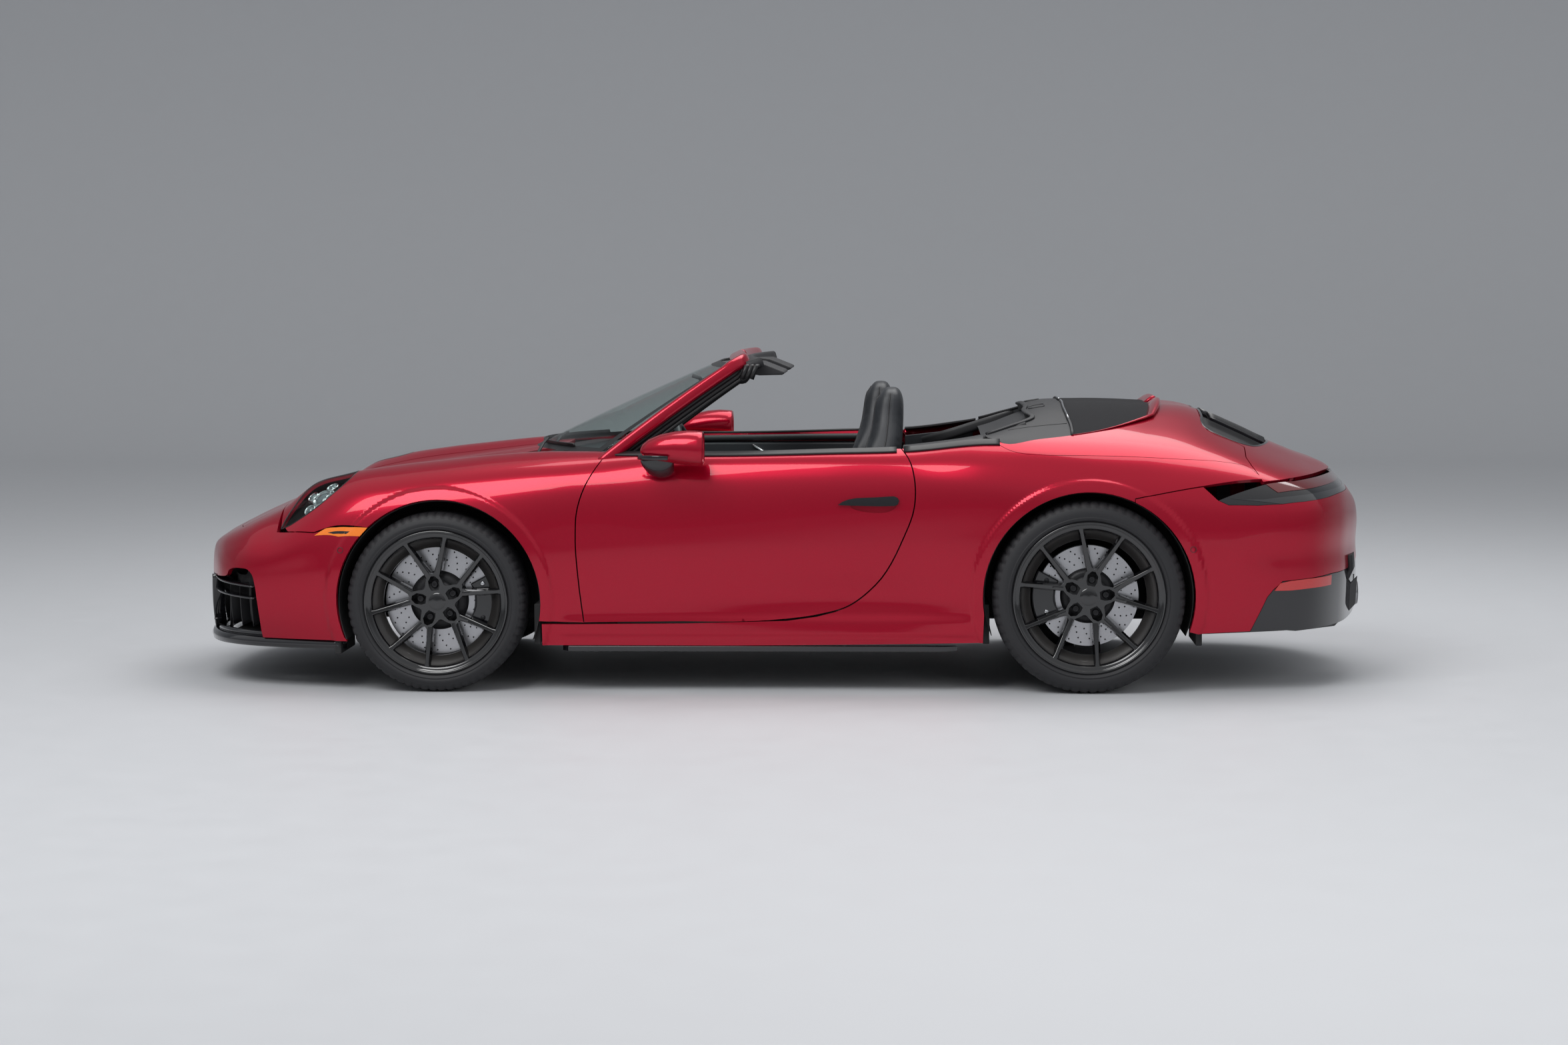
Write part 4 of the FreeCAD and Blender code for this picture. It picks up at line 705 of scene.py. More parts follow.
def repeated_along(name, path, spacing, length, radius, material):
    """Short rods, such as stitches, evenly along a path: made by the node tree, kept as a plain mesh."""
    mesh = bpy.data.meshes.new(name)
    mesh.from_pydata([tuple(p) for p in path], [(i, i + 1) for i in range(len(path) - 1)], [])
    obj = linked(name, mesh)
    mod = obj.modifiers.new("repeat", "NODES")
    mod.node_group = repeat_tree()
    values = {"Spacing": spacing, "Length": length, "Radius": radius, "Material": MATERIALS[material]}
    for item in mod.node_group.interface.items_tree:
        if item.in_out == "INPUT" and item.name in values:
            mod[item.identifier] = values[item.name]
    bpy.context.view_layer.update()
    return applied(obj)


# Shut lines in millimetres, in side view (x, z) and plan (x, y)
DOOR_FRONT = smoothed([(-640, 889), (-668, 850), (-712, 774), (-741, 680), (-746, 600), (-736, 420),
                       (-717, 262)])
DOOR_LOW = smoothed([(-344, 266), (48, 276), (159, 291), (282, 326), (382, 405), (487, 585), (525, 690),
                     (529, 790), (504, 880), (478, 913)])
BONNET_NOSE = smoothed([(-2118, 100), (-2112, 300), (-2097, 450), (-2080, 520)], 4)
BONNET_SIDE = BONNET_NOSE + smoothed([(-2072, 545), (-2040, 546), (-1930, 512), (-1840, 500), (-1760, 515),
                                      (-1600, 548), (-1273, 572), (-1000, 590), (-905, 597)])
BONNET_BACK = smoothed([(-960, 400), (-1008, 220), (-1030, 80)])
LAMP_LOW = smoothed([(-1882, 606), (-1868, 611), (-1845, 621), (-1809, 643), (-1772, 667), (-1739, 690),
                     (-1709, 714), (-1678, 741), (-1655, 761), (-1634, 781), (-1612, 803), (-1600, 820)])
LAMP_INNER = smoothed([(-1597, 655), (-1612, 634), (-1650, 618), (-1700, 612), (-1745, 620), (-1782, 640),
                       (-1823, 681), (-1840, 704), (-1857, 722), (-1872, 743), (-1881, 760)])
FRONT_ARCH = arc(*ARCHES["front"], -25, 205)
REAR_ARCH = arc(*ARCHES["rear"], -19, 203)
INTAKE_BEND = smoothed([(-2140, 416), (-2112, 424), (-2100, 444), (-2081, 453), (-2044, 456), (-2014, 453),
                        (-1995, 436), (-1983, 398), (-1976, 343), (-1968, 255), (-1966, 214)])
INTAKE_FOOT = [(-2100, 214), (-2170, 222), (-2222, 236), (-2245, 260)]
INTAKE = [(-2252, 410), (-2184, 411)] + INTAKE_BEND + INTAKE_FOOT
MARKER = [(-1735, 590), (-1712, 606), (-1690, 618), (-1650, 622), (-1590, 623), (-1527, 622), (-1556, 590),
          (-1640, 588)]
MARKER_SLOT = [(-1682, 602), (-1660, 607), (-1595, 607), (-1608, 598), (-1660, 598)]
LID_FRONT = [(1630, 330), (1632, 460), (1648, 508), (1676, 528), (1760, 533), (1782, 545), (1781, 595),
             (1777, 669), (1793, 732), (1812, 772)]
LID_BACK = [(1827, 786), (1906, 792), (1951, 796), (2015, 801), (2110, 806), (2300, 806)]
GRILLE_CORNER = smoothed([(1638, 348), (1632, 430), (1640, 478), (1660, 502), (1704, 514), (1766, 515),
                          (1812, 490), (1831, 466)])
GRILLE_EDGE = GRILLE_CORNER + smoothed([(1850, 430), (1883, 335), (1905, 240), (1915, 120)], 3)
DECK_EDGE = smoothed([(849, 925), (862, 918), (880, 910), (911, 901), (1004, 892), (1157, 889), (1310, 885),
                      (1523, 873), (1657, 864), (1772, 846)])
COVER_SIDE = smoothed([(773, 690), (800, 765), (861, 806), (992, 774), (1121, 731), (1214, 685), (1302, 623),
                       (1395, 530)])
COVER_EDGE = COVER_SIDE + smoothed([(1431, 484), (1452, 380), (1463, 274), (1472, 60)])
COVER_SEAM = smoothed([(1121, 731), (1119, 640), (1109, 543), (1101, 438), (1103, 220), (1105, 60)], 3)
HUMP = smoothed([(800, 700), (884, 640), (940, 600), (975, 560), (958, 480), (950, 380), (962, 200), (967, 0)],
                4)
HANDLE = [(241, 707), (257, 719), (281, 728), (309, 733), (386, 736), (450, 740), (463, 735), (470, 724),
          (466, 711), (452, 704), (386, 703), (301, 705)]
HANDLE_WELL = smoothed([(285, 712), (289, 700), (313, 688), (345, 681), (386, 678), (428, 682), (452, 694),
                        (467, 716)], 3)
LAMP_TOP = [(1600, 768), (1837, 781), (1951, 787), (2015, 792), (2110, 797), (2300, 797)]
LAMP_FOOT = [(1600, 768), (1653, 725), (1692, 707), (1804, 704), (1898, 707), (2019, 716), (2087, 722),
             (2152, 731), (2300, 737)]
UPPER_STRIP = [(1758, 771), (1773, 748), (1883, 749), (1995, 757), (2115, 768), (2160, 772), (2300, 773)]
LOWER_STRIP = [(1754, 728), (1827, 727), (1936, 736), (2053, 744), (2130, 750), (2300, 756)]
CORNER_PANEL = [(1583, 224), (1780, 231), (1842, 360), (1865, 388), (1900, 418), (2097, 434), (2185, 438),
                (2300, 438)]
REFLECTOR = [(1869, 384), (1880, 398), (1890, 411), (1932, 419), (2000, 424), (2100, 429), (2098, 392),
             (2010, 388), (1932, 383)]


def mirror_s(outline):
    """An outline in (u, s) on the car's other side, read backwards."""
    return [(u, 2 - s) for u, s in reversed(outline)]


def u_at(x):
    """The u at x in millimetres."""
    return float(hull.at_x(x / 1000))


def strip(top, foot, start, switch=2000):
    """The half outline between two side-view lines, from the car's middle behind to x = start and back."""
    upper = hull.round_tail([p for p in top if p[0] >= start], switch)
    lower = hull.round_tail([p for p in foot if p[0] >= start], switch)
    return upper[::-1] + lower


def whole(half):
    """A half outline that begins and ends on the car's middle line, closed across the car."""
    return half + mirror_s(half)


def front_outlines():
    """The outlines in (u, s) of the bonnet, front bumper, intake, wing and headlamp."""
    side, plan = hull.side, hull.plan
    made = {"bonnet": whole(plan(BONNET_SIDE) + plan(BONNET_BACK))}
    # bumper: the left half from the pole along the lower edge, up the arch, and back along lamp and bonnet
    arch_low = side([p for p in FRONT_ARCH if p[0] < FRONT_AXLE and p[1] < 604])
    half = [(0.0, 0.1)] + side([(-2268, 407), (-2240, 407), INTAKE[1], *INTAKE_BEND])
    half += [(u_at(-1962), 0.0), (u_at(-1646), 0.0)] + arch_low[::-1]
    half += side([(-1738, 600), (-1850, 598), (-1897, 596)]) + plan([(-1893, 625)])
    half += plan([p for p in BONNET_SIDE if p[0] < -1893])[::-1]
    made["front_bumper"] = whole(half)
    made["intake"] = side(INTAKE)
    arch_line = [p for p in FRONT_ARCH if p[1] > 262 and not (p[0] < FRONT_AXLE and p[1] < 606)]
    wing = side([(-717, 263), *arch_line, (-1738, 602), (-1850, 600)])
    wing += side([p for p in LAMP_LOW if p[0] > -1866]) + plan(LAMP_INNER)
    wing += plan([(-1893, 610)] + [p for p in BONNET_SIDE if p[0] > -1893])
    made["wing"] = wing + plan([(-905, 640), (-742, 640), (-640, 700)]) + side(DOOR_FRONT[1:])
    made["headlamp"] = side(LAMP_LOW) + plan(LAMP_INNER)
    return made


def flank_outlines():
    """The outlines in (u, s) of the door, and of the flank from the sill to the lamp bar."""
    side = hull.side
    crest = [(u_at(x), 0.532) for x in range(470, -640, -60)]
    made = {"door": side(DOOR_FRONT) + side(DOOR_LOW) + crest}
    sill_top = side([(-876, 260), (-717, 259), (-344, 262), (48, 272), (159, 287), (230, 305)])
    rear_front = [p for p in DOOR_LOW if p[0] > 225 or p[1] > 500]
    arch_keep = [p for p in REAR_ARCH if p[1] > 268 and not (p[0] > REAR_AXLE + 160 and p[1] < 719)]
    flank = [(u_at(-874), 0.0)] + sill_top + side(rear_front) + side([(595, 917), (785, 934)])
    flank += side(DECK_EDGE) + side([(1784, 838), (1835, 797), (1602, 777), (1345, 732), (1345, 718)])
    made["flank"] = flank + side(arch_keep) + [(u_at(783), 0.0)]
    return made


def deck_outlines():
    """The outlines in (u, s) of the rear deck, engine lid, grille and soft-top cover."""
    plan = hull.plan
    made = {"rear_deck": whole(plan(COVER_EDGE[::-1][:-8]) + hull.side(DECK_EDGE) + plan(LID_FRONT[::-1]))}
    made["lid"] = whole(plan(LID_FRONT) + hull.round_tail(LID_BACK, 2000))
    made["engine_grille"] = whole(plan(GRILLE_EDGE))
    made["cover_well"] = whole(plan([(777, 60), (777, 700)] + HUMP))
    shell = HUMP[::-1] + [(791, 733), (800, 765)] + COVER_EDGE[12:17] + COVER_SEAM
    made["cover_shell"] = whole(plan(shell))
    made["cover_cloth"] = whole(plan(COVER_SEAM[::-1] + COVER_EDGE[18:]))
    return made


def tail_outlines():
    """The outlines in (u, s) of the lamp bar, its two strips, the rear bumper and its black corner."""
    side = hull.side
    end = float(hull.u[-1])
    made = {"lamp_bar": whole(strip(LAMP_TOP, LAMP_FOOT, 1602))}
    made["upper_strip"] = whole(strip(LAMP_TOP[1:], UPPER_STRIP, 1790))
    made["lower_strip"] = whole(strip(LOWER_STRIP, [(1700, 731)] + LAMP_FOOT[4:], 1700))
    arch = [p for p in REAR_ARCH if p[0] > REAR_AXLE + 160 and 232 < p[1] < 719]
    top = side([(1345, 717), (1345, 730), (1600, 774)]) + hull.round_tail(LAMP_FOOT[1:], 2000)
    low = side([p for p in CORNER_PANEL if p[0] < 2200]) + [(end, side([(2250, 480)])[0][1])]
    made["rear_bumper"] = whole(low[::-1] + side(arch) + top)
    made["corner"] = low + [(end, 0.0), (u_at(1620), 0.0)]
    return made


def outlines():
    """Every hull panel's outline in (u, s)."""
    return {**front_outlines(), **flank_outlines(), **deck_outlines(), **tail_outlines()}


def node_material(name, base, rough, metal=0.0, coat=0.0, bump=0.0, scale=60.0, flake=0.0, spec=0.5):
    """A material of procedural nodes: colour with slight variation, roughness and relief."""
    mat = bpy.data.materials.new(name)
    mat.use_nodes = True
    nodes, links = mat.node_tree.nodes, mat.node_tree.links
    shader = nodes["Principled BSDF"]
    coords = nodes.new("ShaderNodeTexCoord")
    noise = nodes.new("ShaderNodeTexNoise")
    noise.inputs["Scale"].default_value = scale
    noise.inputs["Detail"].default_value = 6
    links.new(coords.outputs["Object"], noise.inputs["Vector"])
    ramp = nodes.new("ShaderNodeValToRGB")
    low = [c * (1 - flake) for c in base]
    high = [min(1, c * (1 + flake) + flake * 0.02) for c in base]
    ramp.color_ramp.elements[0].color = (*low, 1)
    ramp.color_ramp.elements[1].color = (*high, 1)
    links.new(noise.outputs["Fac"], ramp.inputs["Fac"])
    links.new(ramp.outputs["Color"], shader.inputs["Base Color"])
    rough_map = nodes.new("ShaderNodeMapRange")
    rough_map.inputs["To Min"].default_value = max(0.02, rough * 0.85)
    rough_map.inputs["To Max"].default_value = min(1, rough * 1.15)
    links.new(noise.outputs["Fac"], rough_map.inputs["Value"])
    links.new(rough_map.outputs["Result"], shader.inputs["Roughness"])
    shader.inputs["Metallic"].default_value = metal
    shader.inputs["Coat Weight"].default_value = coat
    shader.inputs["Coat Roughness"].default_value = 0.02
    shader.inputs["Specular IOR Level"].default_value = spec
    if bump:
        relief_node = nodes.new("ShaderNodeBump")
        relief_node.inputs["Strength"].default_value = bump
        relief_node.inputs["Distance"].default_value = 0.001
        links.new(noise.outputs["Fac"], relief_node.inputs["Height"])
        links.new(relief_node.outputs["Normal"], shader.inputs["Normal"])
    MATERIALS[name] = mat
    return mat


def make_materials(look):
    """All materials, their main colours from the user's choice."""
    node_material("red_paint", look.paint, 0.26, metal=0.60, coat=0.55, scale=900, flake=0.12, spec=0.12)
    node_material("black_gloss", (0.006, 0.006, 0.008), 0.10, coat=0.6, scale=80, flake=0.1)
    node_material("black_matt", (0.012, 0.012, 0.014), 0.55, bump=0.25, scale=420, flake=0.2)
    node_material("black_seal", (0.008, 0.008, 0.009), 0.42, scale=200, flake=0.15)
    node_material("leather", look.leather, 0.42, bump=0.5, scale=700, flake=0.2)
    node_material("cloth", look.cloth, 0.85, bump=0.8, scale=1400, flake=0.4, spec=0.2)
    node_material("tyre", (0.010, 0.010, 0.012), 0.60, bump=0.3, scale=300, flake=0.25)
    node_material("rim", look.rims, 0.08, metal=0.1, coat=1.0, scale=500, flake=0.15)
    node_material("rim_well", (0.030, 0.028, 0.027), 0.30, metal=0.3, coat=0.3, scale=500, flake=0.15)
    node_material("disc", (0.50, 0.50, 0.52), 0.32, metal=1.0, scale=300, flake=0.1)
    node_material("iron", (0.014, 0.014, 0.016), 0.45, metal=0.4, bump=0.4, scale=200, flake=0.3)
    node_material("underside", (0.014, 0.014, 0.015), 0.8, bump=0.3, scale=120, flake=0.3)
    node_material("silver", (0.62, 0.63, 0.65), 0.22, metal=1.0, scale=200, flake=0.04)
    node_material("steel", (0.30, 0.30, 0.31), 0.25, metal=1.0, scale=200, flake=0.1)
    node_material("amber", (0.85, 0.20, 0.01), 0.15, coat=0.8, scale=300, flake=0.1)
    node_material("reflector", (0.45, 0.012, 0.012), 0.12, coat=1.0, scale=300, flake=0.15)
    node_material("lamp_red", (0.10, 0.004, 0.006), 0.08, coat=1.0, scale=300, flake=0.2)
    node_material("lens_grey", (0.16, 0.18, 0.20), 0.08, metal=0.3, coat=1.0, scale=300, flake=0.2)
    node_material("lens_smoke", (0.014, 0.015, 0.018), 0.10, metal=0.0, coat=1.0, scale=300, flake=0.2)
    node_material("mirror_face", (0.75, 0.78, 0.80), 0.03, metal=1.0, scale=50, flake=0.01)
    node_material("thread", (0.05, 0.05, 0.055), 0.5, scale=300, flake=0.2)
    node_material("carpet", (0.020, 0.020, 0.022), 0.9, bump=0.9, scale=900, flake=0.4, spec=0.1)
    make_glass()


def make_glass():
    """Clear glass: see-through, with a sheen that grows towards its edges and only on its outer face."""
    glass = node_material("glass", (0.92, 0.96, 0.95), 0.02, scale=50, flake=0.01)
    nodes, links = glass.node_tree.nodes, glass.node_tree.links
    clear = nodes.new("ShaderNodeBsdfTransparent")
    clear.inputs["Color"].default_value = (0.88, 0.92, 0.91, 1)
    gloss = nodes.new("ShaderNodeBsdfGlossy")
    gloss.inputs["Roughness"].default_value = 0.02
    weight = nodes.new("ShaderNodeLayerWeight")
    weight.inputs["Blend"].default_value = 0.25
    face = nodes.new("ShaderNodeNewGeometry")
    outer = nodes.new("ShaderNodeMath")
    outer.operation = "SUBTRACT"
    outer.inputs[0].default_value = 0.55
    links.new(face.outputs["Backfacing"], outer.inputs[1])
    share = nodes.new("ShaderNodeMath")
    share.operation = "MULTIPLY"
    share.use_clamp = True
    links.new(weight.outputs["Fresnel"], share.inputs[0])
    links.new(outer.outputs["Value"], share.inputs[1])
    mix = nodes.new("ShaderNodeMixShader")
    links.new(share.outputs["Value"], mix.inputs["Fac"])
    links.new(clear.outputs["BSDF"], mix.inputs[1])
    links.new(gloss.outputs["BSDF"], mix.inputs[2])
    links.new(mix.outputs["Shader"], nodes["Material Output"].inputs["Surface"])


def finish_piece(obj, body, slot, *nodes):
    """Says which body a piece rides on and hides the solids that it stands for; its material slot is not used.
    """
    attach(obj, body)
    if nodes:
        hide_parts(*nodes)
    return obj


def build_panels(gap):
    """The painted panels that lie on the hull, the doors and lids with the gap given."""
    made = outlines()
    whole_width = (
        ("bonnet_skin", "bonnet", (), gap, "bonnet", ("bonnet",)),
        ("bumper_skin", "front_bumper", (), 0.001, "body", ("front_bumper",)),
        ("deck_skin", "rear_deck", (), 0.001, "body", ("rear_deck",)),
        ("lid_skin", "lid", (shrink(made["engine_grille"], -0.002),), gap, "engine_lid", ("engine_lid",)),
        ("rear_bumper_skin", "rear_bumper", (), 0.0012, "body", ("rear_bumper",)),
    )
    for name, key, holes, inset, body, nodes in whole_width:
        skin = panel(name, shrink(made[key], inset), holes=holes, side=1, step=0.012)
        finish_piece(skin, body, "red_paint", *nodes)
    well = hull.side(HANDLE_WELL)
    for name, sign in SIDES:
        for key, body, inset, holes, nodes in (("wing", "body", 0.0015, (), ("wing",)),
                                               ("door", f"door_{name}", gap, (well,), ("door",)),
                                               ("flank", "body", 0.0015, (), ("sill", "rear_wing"))):
            skin = panel(f"{key}_skin_{name}", shrink(made[key], inset), holes=holes, side=sign, step=0.010)
            finish_piece(skin, body, "red_paint", *(f"{node}_{name}" for node in nodes))


def cover_shell_parts(sign):
    """One side's lines on the cover's hard shell: the hump's face and edge, a groove and an inlaid line."""
    hump = hull.plan(HUMP)
    groove = hull.plan([(x, 700 - 0.30 * (x - 830)) for x in range(880, 1116, 25)])
    inlay = hull.plan([(1000 + a, 300 + b) for a, b in round_box(60, 130, 22, 5)])
    end = sign + 1
    return [
        bead(f"hump_face_{end}", hump, sign, -0.016, round_box(0.008, 0.036, 0.003), "black_matt"),
        bead(f"hump_edge_{end}", hump, sign, 0.000, round_box(0.020, 0.010, 0.0045), "black_matt"),
        bead(f"shell_line_{end}", groove, sign, -0.003, circle(0.0016, 6), "black_seal"),
        bead(f"shell_inlay_{end}", inlay, sign, -0.002, circle(0.0022, 8), "black_seal", wrap=True),
    ]


def deck_lip(sign):
    """The deck's rolled edge beside the cloth, growing from nothing at its front end."""
    places = hull.plan(COVER_EDGE[24:])
    grow = [0.12 + 0.88 * smooth_step(0.1, 0.8, k / (len(places) - 1)) for k in range(len(places))]
    hook = [(-0.030, -0.006), (-0.012, 0.010), (0.0, 0.019), (0.010, 0.023), (0.018, 0.021), (0.021, 0.014),
            (0.016, 0.010), (0.008, 0.010), (-0.004, 0.002), (-0.020, -0.014)]
    hook = [(a * -sign, b) for a, b in hook]
    return bead(f"deck_lip_{sign + 1}", places, sign, 0.0, hook, "red_paint", scales=grow)


def build_cover():
    """The folded roof: a hard black shell, the cloth behind it, their seam and the deck's edge."""
    made = outlines()
    shell = panel("cover_shell", shrink(made["cover_shell"], 0.001), side=1, lift=-0.003, thick=0.012,
                  material="black_matt")
    parts = [shell, panel("cover_well", shrink(made["cover_well"], 0.002), side=1, lift=-0.036, thick=0.006,
                          material="black_matt")]
    parts += cover_shell_parts(-1) + cover_shell_parts(1)
    finish_piece(joined("cover_shell_dressed", parts), "body", "black_plastic")
    cloth = panel("cover_cloth", shrink(made["cover_cloth"], 0.002), side=1, lift=-0.002, thick=0.012,
                  material="cloth")
    finish_piece(cloth, "body", "soft_top_cloth", "soft_top_cover")
    seams, lips = [], []
    for sign in (-1, 1):
        end = sign + 1
        seams.append(bead(f"cover_seam_{end}", hull.plan(COVER_SEAM), sign, 0.001,
                          round_box(0.011, 0.008, 0.003), "black_matt"))
        seams.append(bead(f"seam_bead_{end}", hull.plan(COVER_SEAM[5:]), sign, 0.005, circle(0.0028, 8),
                          "silver"))
        lips.append(deck_lip(sign))
    finish_piece(joined("cover_seams", seams), "body", "soft_top_cloth")
    finish_piece(joined("deck_lip", lips), "body", "red_paint")


def build_headlamps():
    """Oval lamps: a clear lens on the hull's line over a dark bowl with four light points round an eye."""
    outline = shrink(front_outlines()["headlamp"], 0.002)
    middle = (float(np.mean([p[0] for p in outline])), float(np.mean([p[1] for p in outline])))
    for name, sign in SIDES:
        parts = [panel(f"lamp_lens_{name}", outline, side=sign, thick=0.003, step=0.012, material="glass"),
                 panel(f"lamp_bowl_{name}", outline, side=sign, lift=-0.05, thick=0.003, step=0.02,
                       material="lens_smoke"),
                 lamp_seal(f"lamp_seal_{name}", outline, sign)]
        for i, (du, ds) in enumerate(((-0.045, -0.022), (0.045, -0.022), (-0.045, 0.026), (0.045, 0.026))):
            spot, facing = on_hull([(middle[0] + du, middle[1] + ds)], sign, -0.03)
            parts.append(light_point(f"lamp_point_{name}_{i}", spot[0], facing[0], 0.02))
        spot, facing = on_hull([middle], sign, -0.034)
        parts.append(light_point(f"lamp_eye_{name}", spot[0], facing[0], 0.034))
        finish_piece(joined(f"headlamp_dressed_{name}", parts), "body", "headlamp_glass", f"headlamp_{name}")


def lamp_seal(name, outline, sign):
    """A thin black seal round a lamp's lens."""
    return bead(name, dense(outline, 0.01), sign, -0.001, circle(0.0022, 6), "black_seal", wrap=True)


def light_point(name, place, facing, radius):
    """A small round projector: a silver ring round a clear dome."""
    profile = [(radius * 1.25, -0.012), (radius * 1.25, 0.002), (radius * 1.12, 0.006), (radius, 0.003),
               (radius * 0.9, -0.004)]
    ring = lathe(name + "_ring", profile, "silver", steps=40)
    bulge = [(radius * 0.9, -0.004), (radius * 0.7, 0.004), (radius * 0.4, 0.008), (0.0001, 0.010)]
    dome = lathe(name + "_dome", bulge, "lens_grey", steps=40)
    made = joined(name, [ring, dome])
    made.data.transform(faced(place, facing))
    return made


def screen_point(a, t, lift=0.0):
    """A place on the windscreen: a from -1 to 1 across, t from 0 at the foot to 1 at the head, in metres."""
    bend = a * a
    foot = Vector((-0.985 + 0.323 * bend, 0.735 * a, 0.892))
    head = Vector((-0.246 + 0.066 * bend, 0.590 * a, 1.229))
    p = foot.lerp(head, t)
    bow = 4 * t * (1 - t)
    return p + SCREEN_UP * (0.006 * bow + lift)


def screen_pane():
    """The windscreen's glass: a grid for its outer face, one behind it and their edges."""
    cols, rows = 48, 24
    grid = [screen_point(-1 + 2 * i / cols, j / rows) for j in range(rows + 1) for i in range(cols + 1)]
    back = [p + Vector((0.0045, 0, -0.0025)) for p in grid]
    n = len(grid)
    faces = []
    w = cols + 1
    for j in range(rows):
        for i in range(cols):
            a = j * w + i
            faces += [(a, a + 1, a + 1 + w, a + w), (a + n, a + w + n, a + 1 + w + n, a + 1 + n)]
    for i in range(cols):
        a = rows * w + i
        faces += [(i, i + n, i + 1 + n, i + 1), (a, a + 1, a + 1 + n, a + n)]
    for j in range(rows):
        a, b = j * w, j * w + cols
        faces += [(a, a + w, a + w + n, a + n), (b, b + n, b + w + n, b + w)]
    return plain_mesh("screen_glass", grid + back, faces, "glass")


def screen_border():
    """The black print round the glass."""
    across, up = np.linspace(-0.99, 0.99, 30), np.linspace(0.03, 0.97, 12)
    ring = [(a, 0.0) for a in across] + [(0.99, t) for t in up]
    ring += [(a, 1.0) for a in across[::-1]] + [(-0.99, t) for t in up[::-1]]
    outer = [screen_point(a, t, 0.0012) for a, t in ring]
    inner = [screen_point(a * 0.955, 0.05 + t * 0.9, 0.0012) for a, t in ring]
    count = len(ring)
    faces = [(i, (i + 1) % count, (i + 1) % count + count, i + count) for i in range(count)]
    return plain_mesh("screen_border", outer + inner, faces, "black_seal")


def screen_frame_half(sign):
    """One pillar in paint with its round corner and half of the header."""
    path = [screen_point(sign * 1.035, t) + Vector((0.014, 0, -0.008)) for t in np.linspace(-0.10, 0.93, 16)]
    corner = ((1.028, 0.975), (1.0, 1.015), (0.955, 1.045), (0.90, 1.052))
    path += [screen_point(sign * a, t) + Vector((0.016 + 0.004 * k, 0, -0.005 - 0.002 * k))
             for k, (a, t) in enumerate(corner)]
    path += [screen_point(sign * a, 1.055) + Vector((0.03, 0, -0.011)) for a in np.linspace(0.82, 0.0, 10)]
    scales = [1.0] * 16 + [1.04, 1.1, 1.16, 1.2] + [1.25] * 10
    return sweep(f"frame_half_{sign + 1}", path, round_box(0.050, 0.046, 0.015), "red_paint",
                 ups=[SCREEN_UP] * 30, scales=scales)


def screen_seals(sign):
    """One pillar's silver line and black seals, and the three seals at the header's end."""
    parts = []
    sizes = ((0.010, 0.030, 0.004), (0.016, 0.042, 0.008), (0.020, 0.056, 0.009), (0.026, 0.071, 0.008))
    for k, (inner, low, radius) in enumerate(sizes):
        path = [screen_point(sign * 1.03, t) + Vector((low, -sign * inner, -low * 0.55))
                for t in np.linspace(-0.02, 0.99, 20)]
        look = "silver" if k == 0 else "black_seal"
        parts.append(sweep(f"pillar_seal_{k}_{sign + 1}", path, circle(radius, 10), look))
    for k in range(3):
        path = [screen_point(sign * 1.02, 0.97) + Vector((0.06 + 0.018 * k, 0, -0.05))]
        for j in range(3):
            shift = Vector((0.062 + 0.018 * k, 0, -0.012 - 0.005 * j))
            path.append(screen_point(sign * (1.02 - 0.03 * j), 1.0 + 0.02 * j) + shift)
        parts.append(sweep(f"head_seal_{k}_{sign + 1}", path, circle(0.010, 10), "black_seal"))
    return parts


def visor(sign):
    """A folded sun visor and the black block over the pillar's seals."""
    outline = [(-0.150, 1.240), (-0.060, 1.228), (0.020, 1.196), (0.028, 1.190), (0.020, 1.182),
               (-0.070, 1.180), (-0.150, 1.196)]
    corner = sign * 0.565
    return [plate(f"visor_{sign + 1}", outline, sign * 0.16, sign * 0.50, "black_matt", width=0.007),
            block(f"head_corner_{sign + 1}", (-0.205, -0.105), (corner - 0.035, corner + 0.035), (1.150, 1.222),
                  "black_seal", 0.026)]


def build_screen():
    """The windscreen, its painted frame and header, and the black parts round them."""
    finish_piece(screen_pane(), "body", "screen_glass", "windscreen")
    finish_piece(screen_border(), "body", "black_plastic")
    halves = [screen_frame_half(sign) for sign in (-1, 1)]
    finish_piece(joined("screen_frame", halves), "body", "red_paint", "windscreen_frame")
    parts = screen_seals(-1) + screen_seals(1)
    path = [screen_point(a, 1.02) + Vector((0.085, 0, -0.012)) for a in np.linspace(-0.98, 0.98, 25)]
    parts.append(sweep("header_trim", path, round_box(0.075, 0.040, 0.012), "black_matt", up=(-0.3, 0, 0.95)))
    parts += visor(-1) + visor(1)
    finish_piece(joined("screen_trim", parts), "body", "black_plastic")
    mirror = block("inner_mirror", (-0.315, -0.29), (-0.115, 0.115), (1.085, 1.145), "black_gloss", 0.01)
    path = [(-0.315, 0, 1.13), (-0.335, 0, 1.155), (-0.365, 0, 1.165)]
    stalk = sweep("mirror_stalk", path, circle(0.008, 10), "black_matt")
    finish_piece(joined("inner_mirror_set", [mirror, stalk]), "body", "black_plastic")


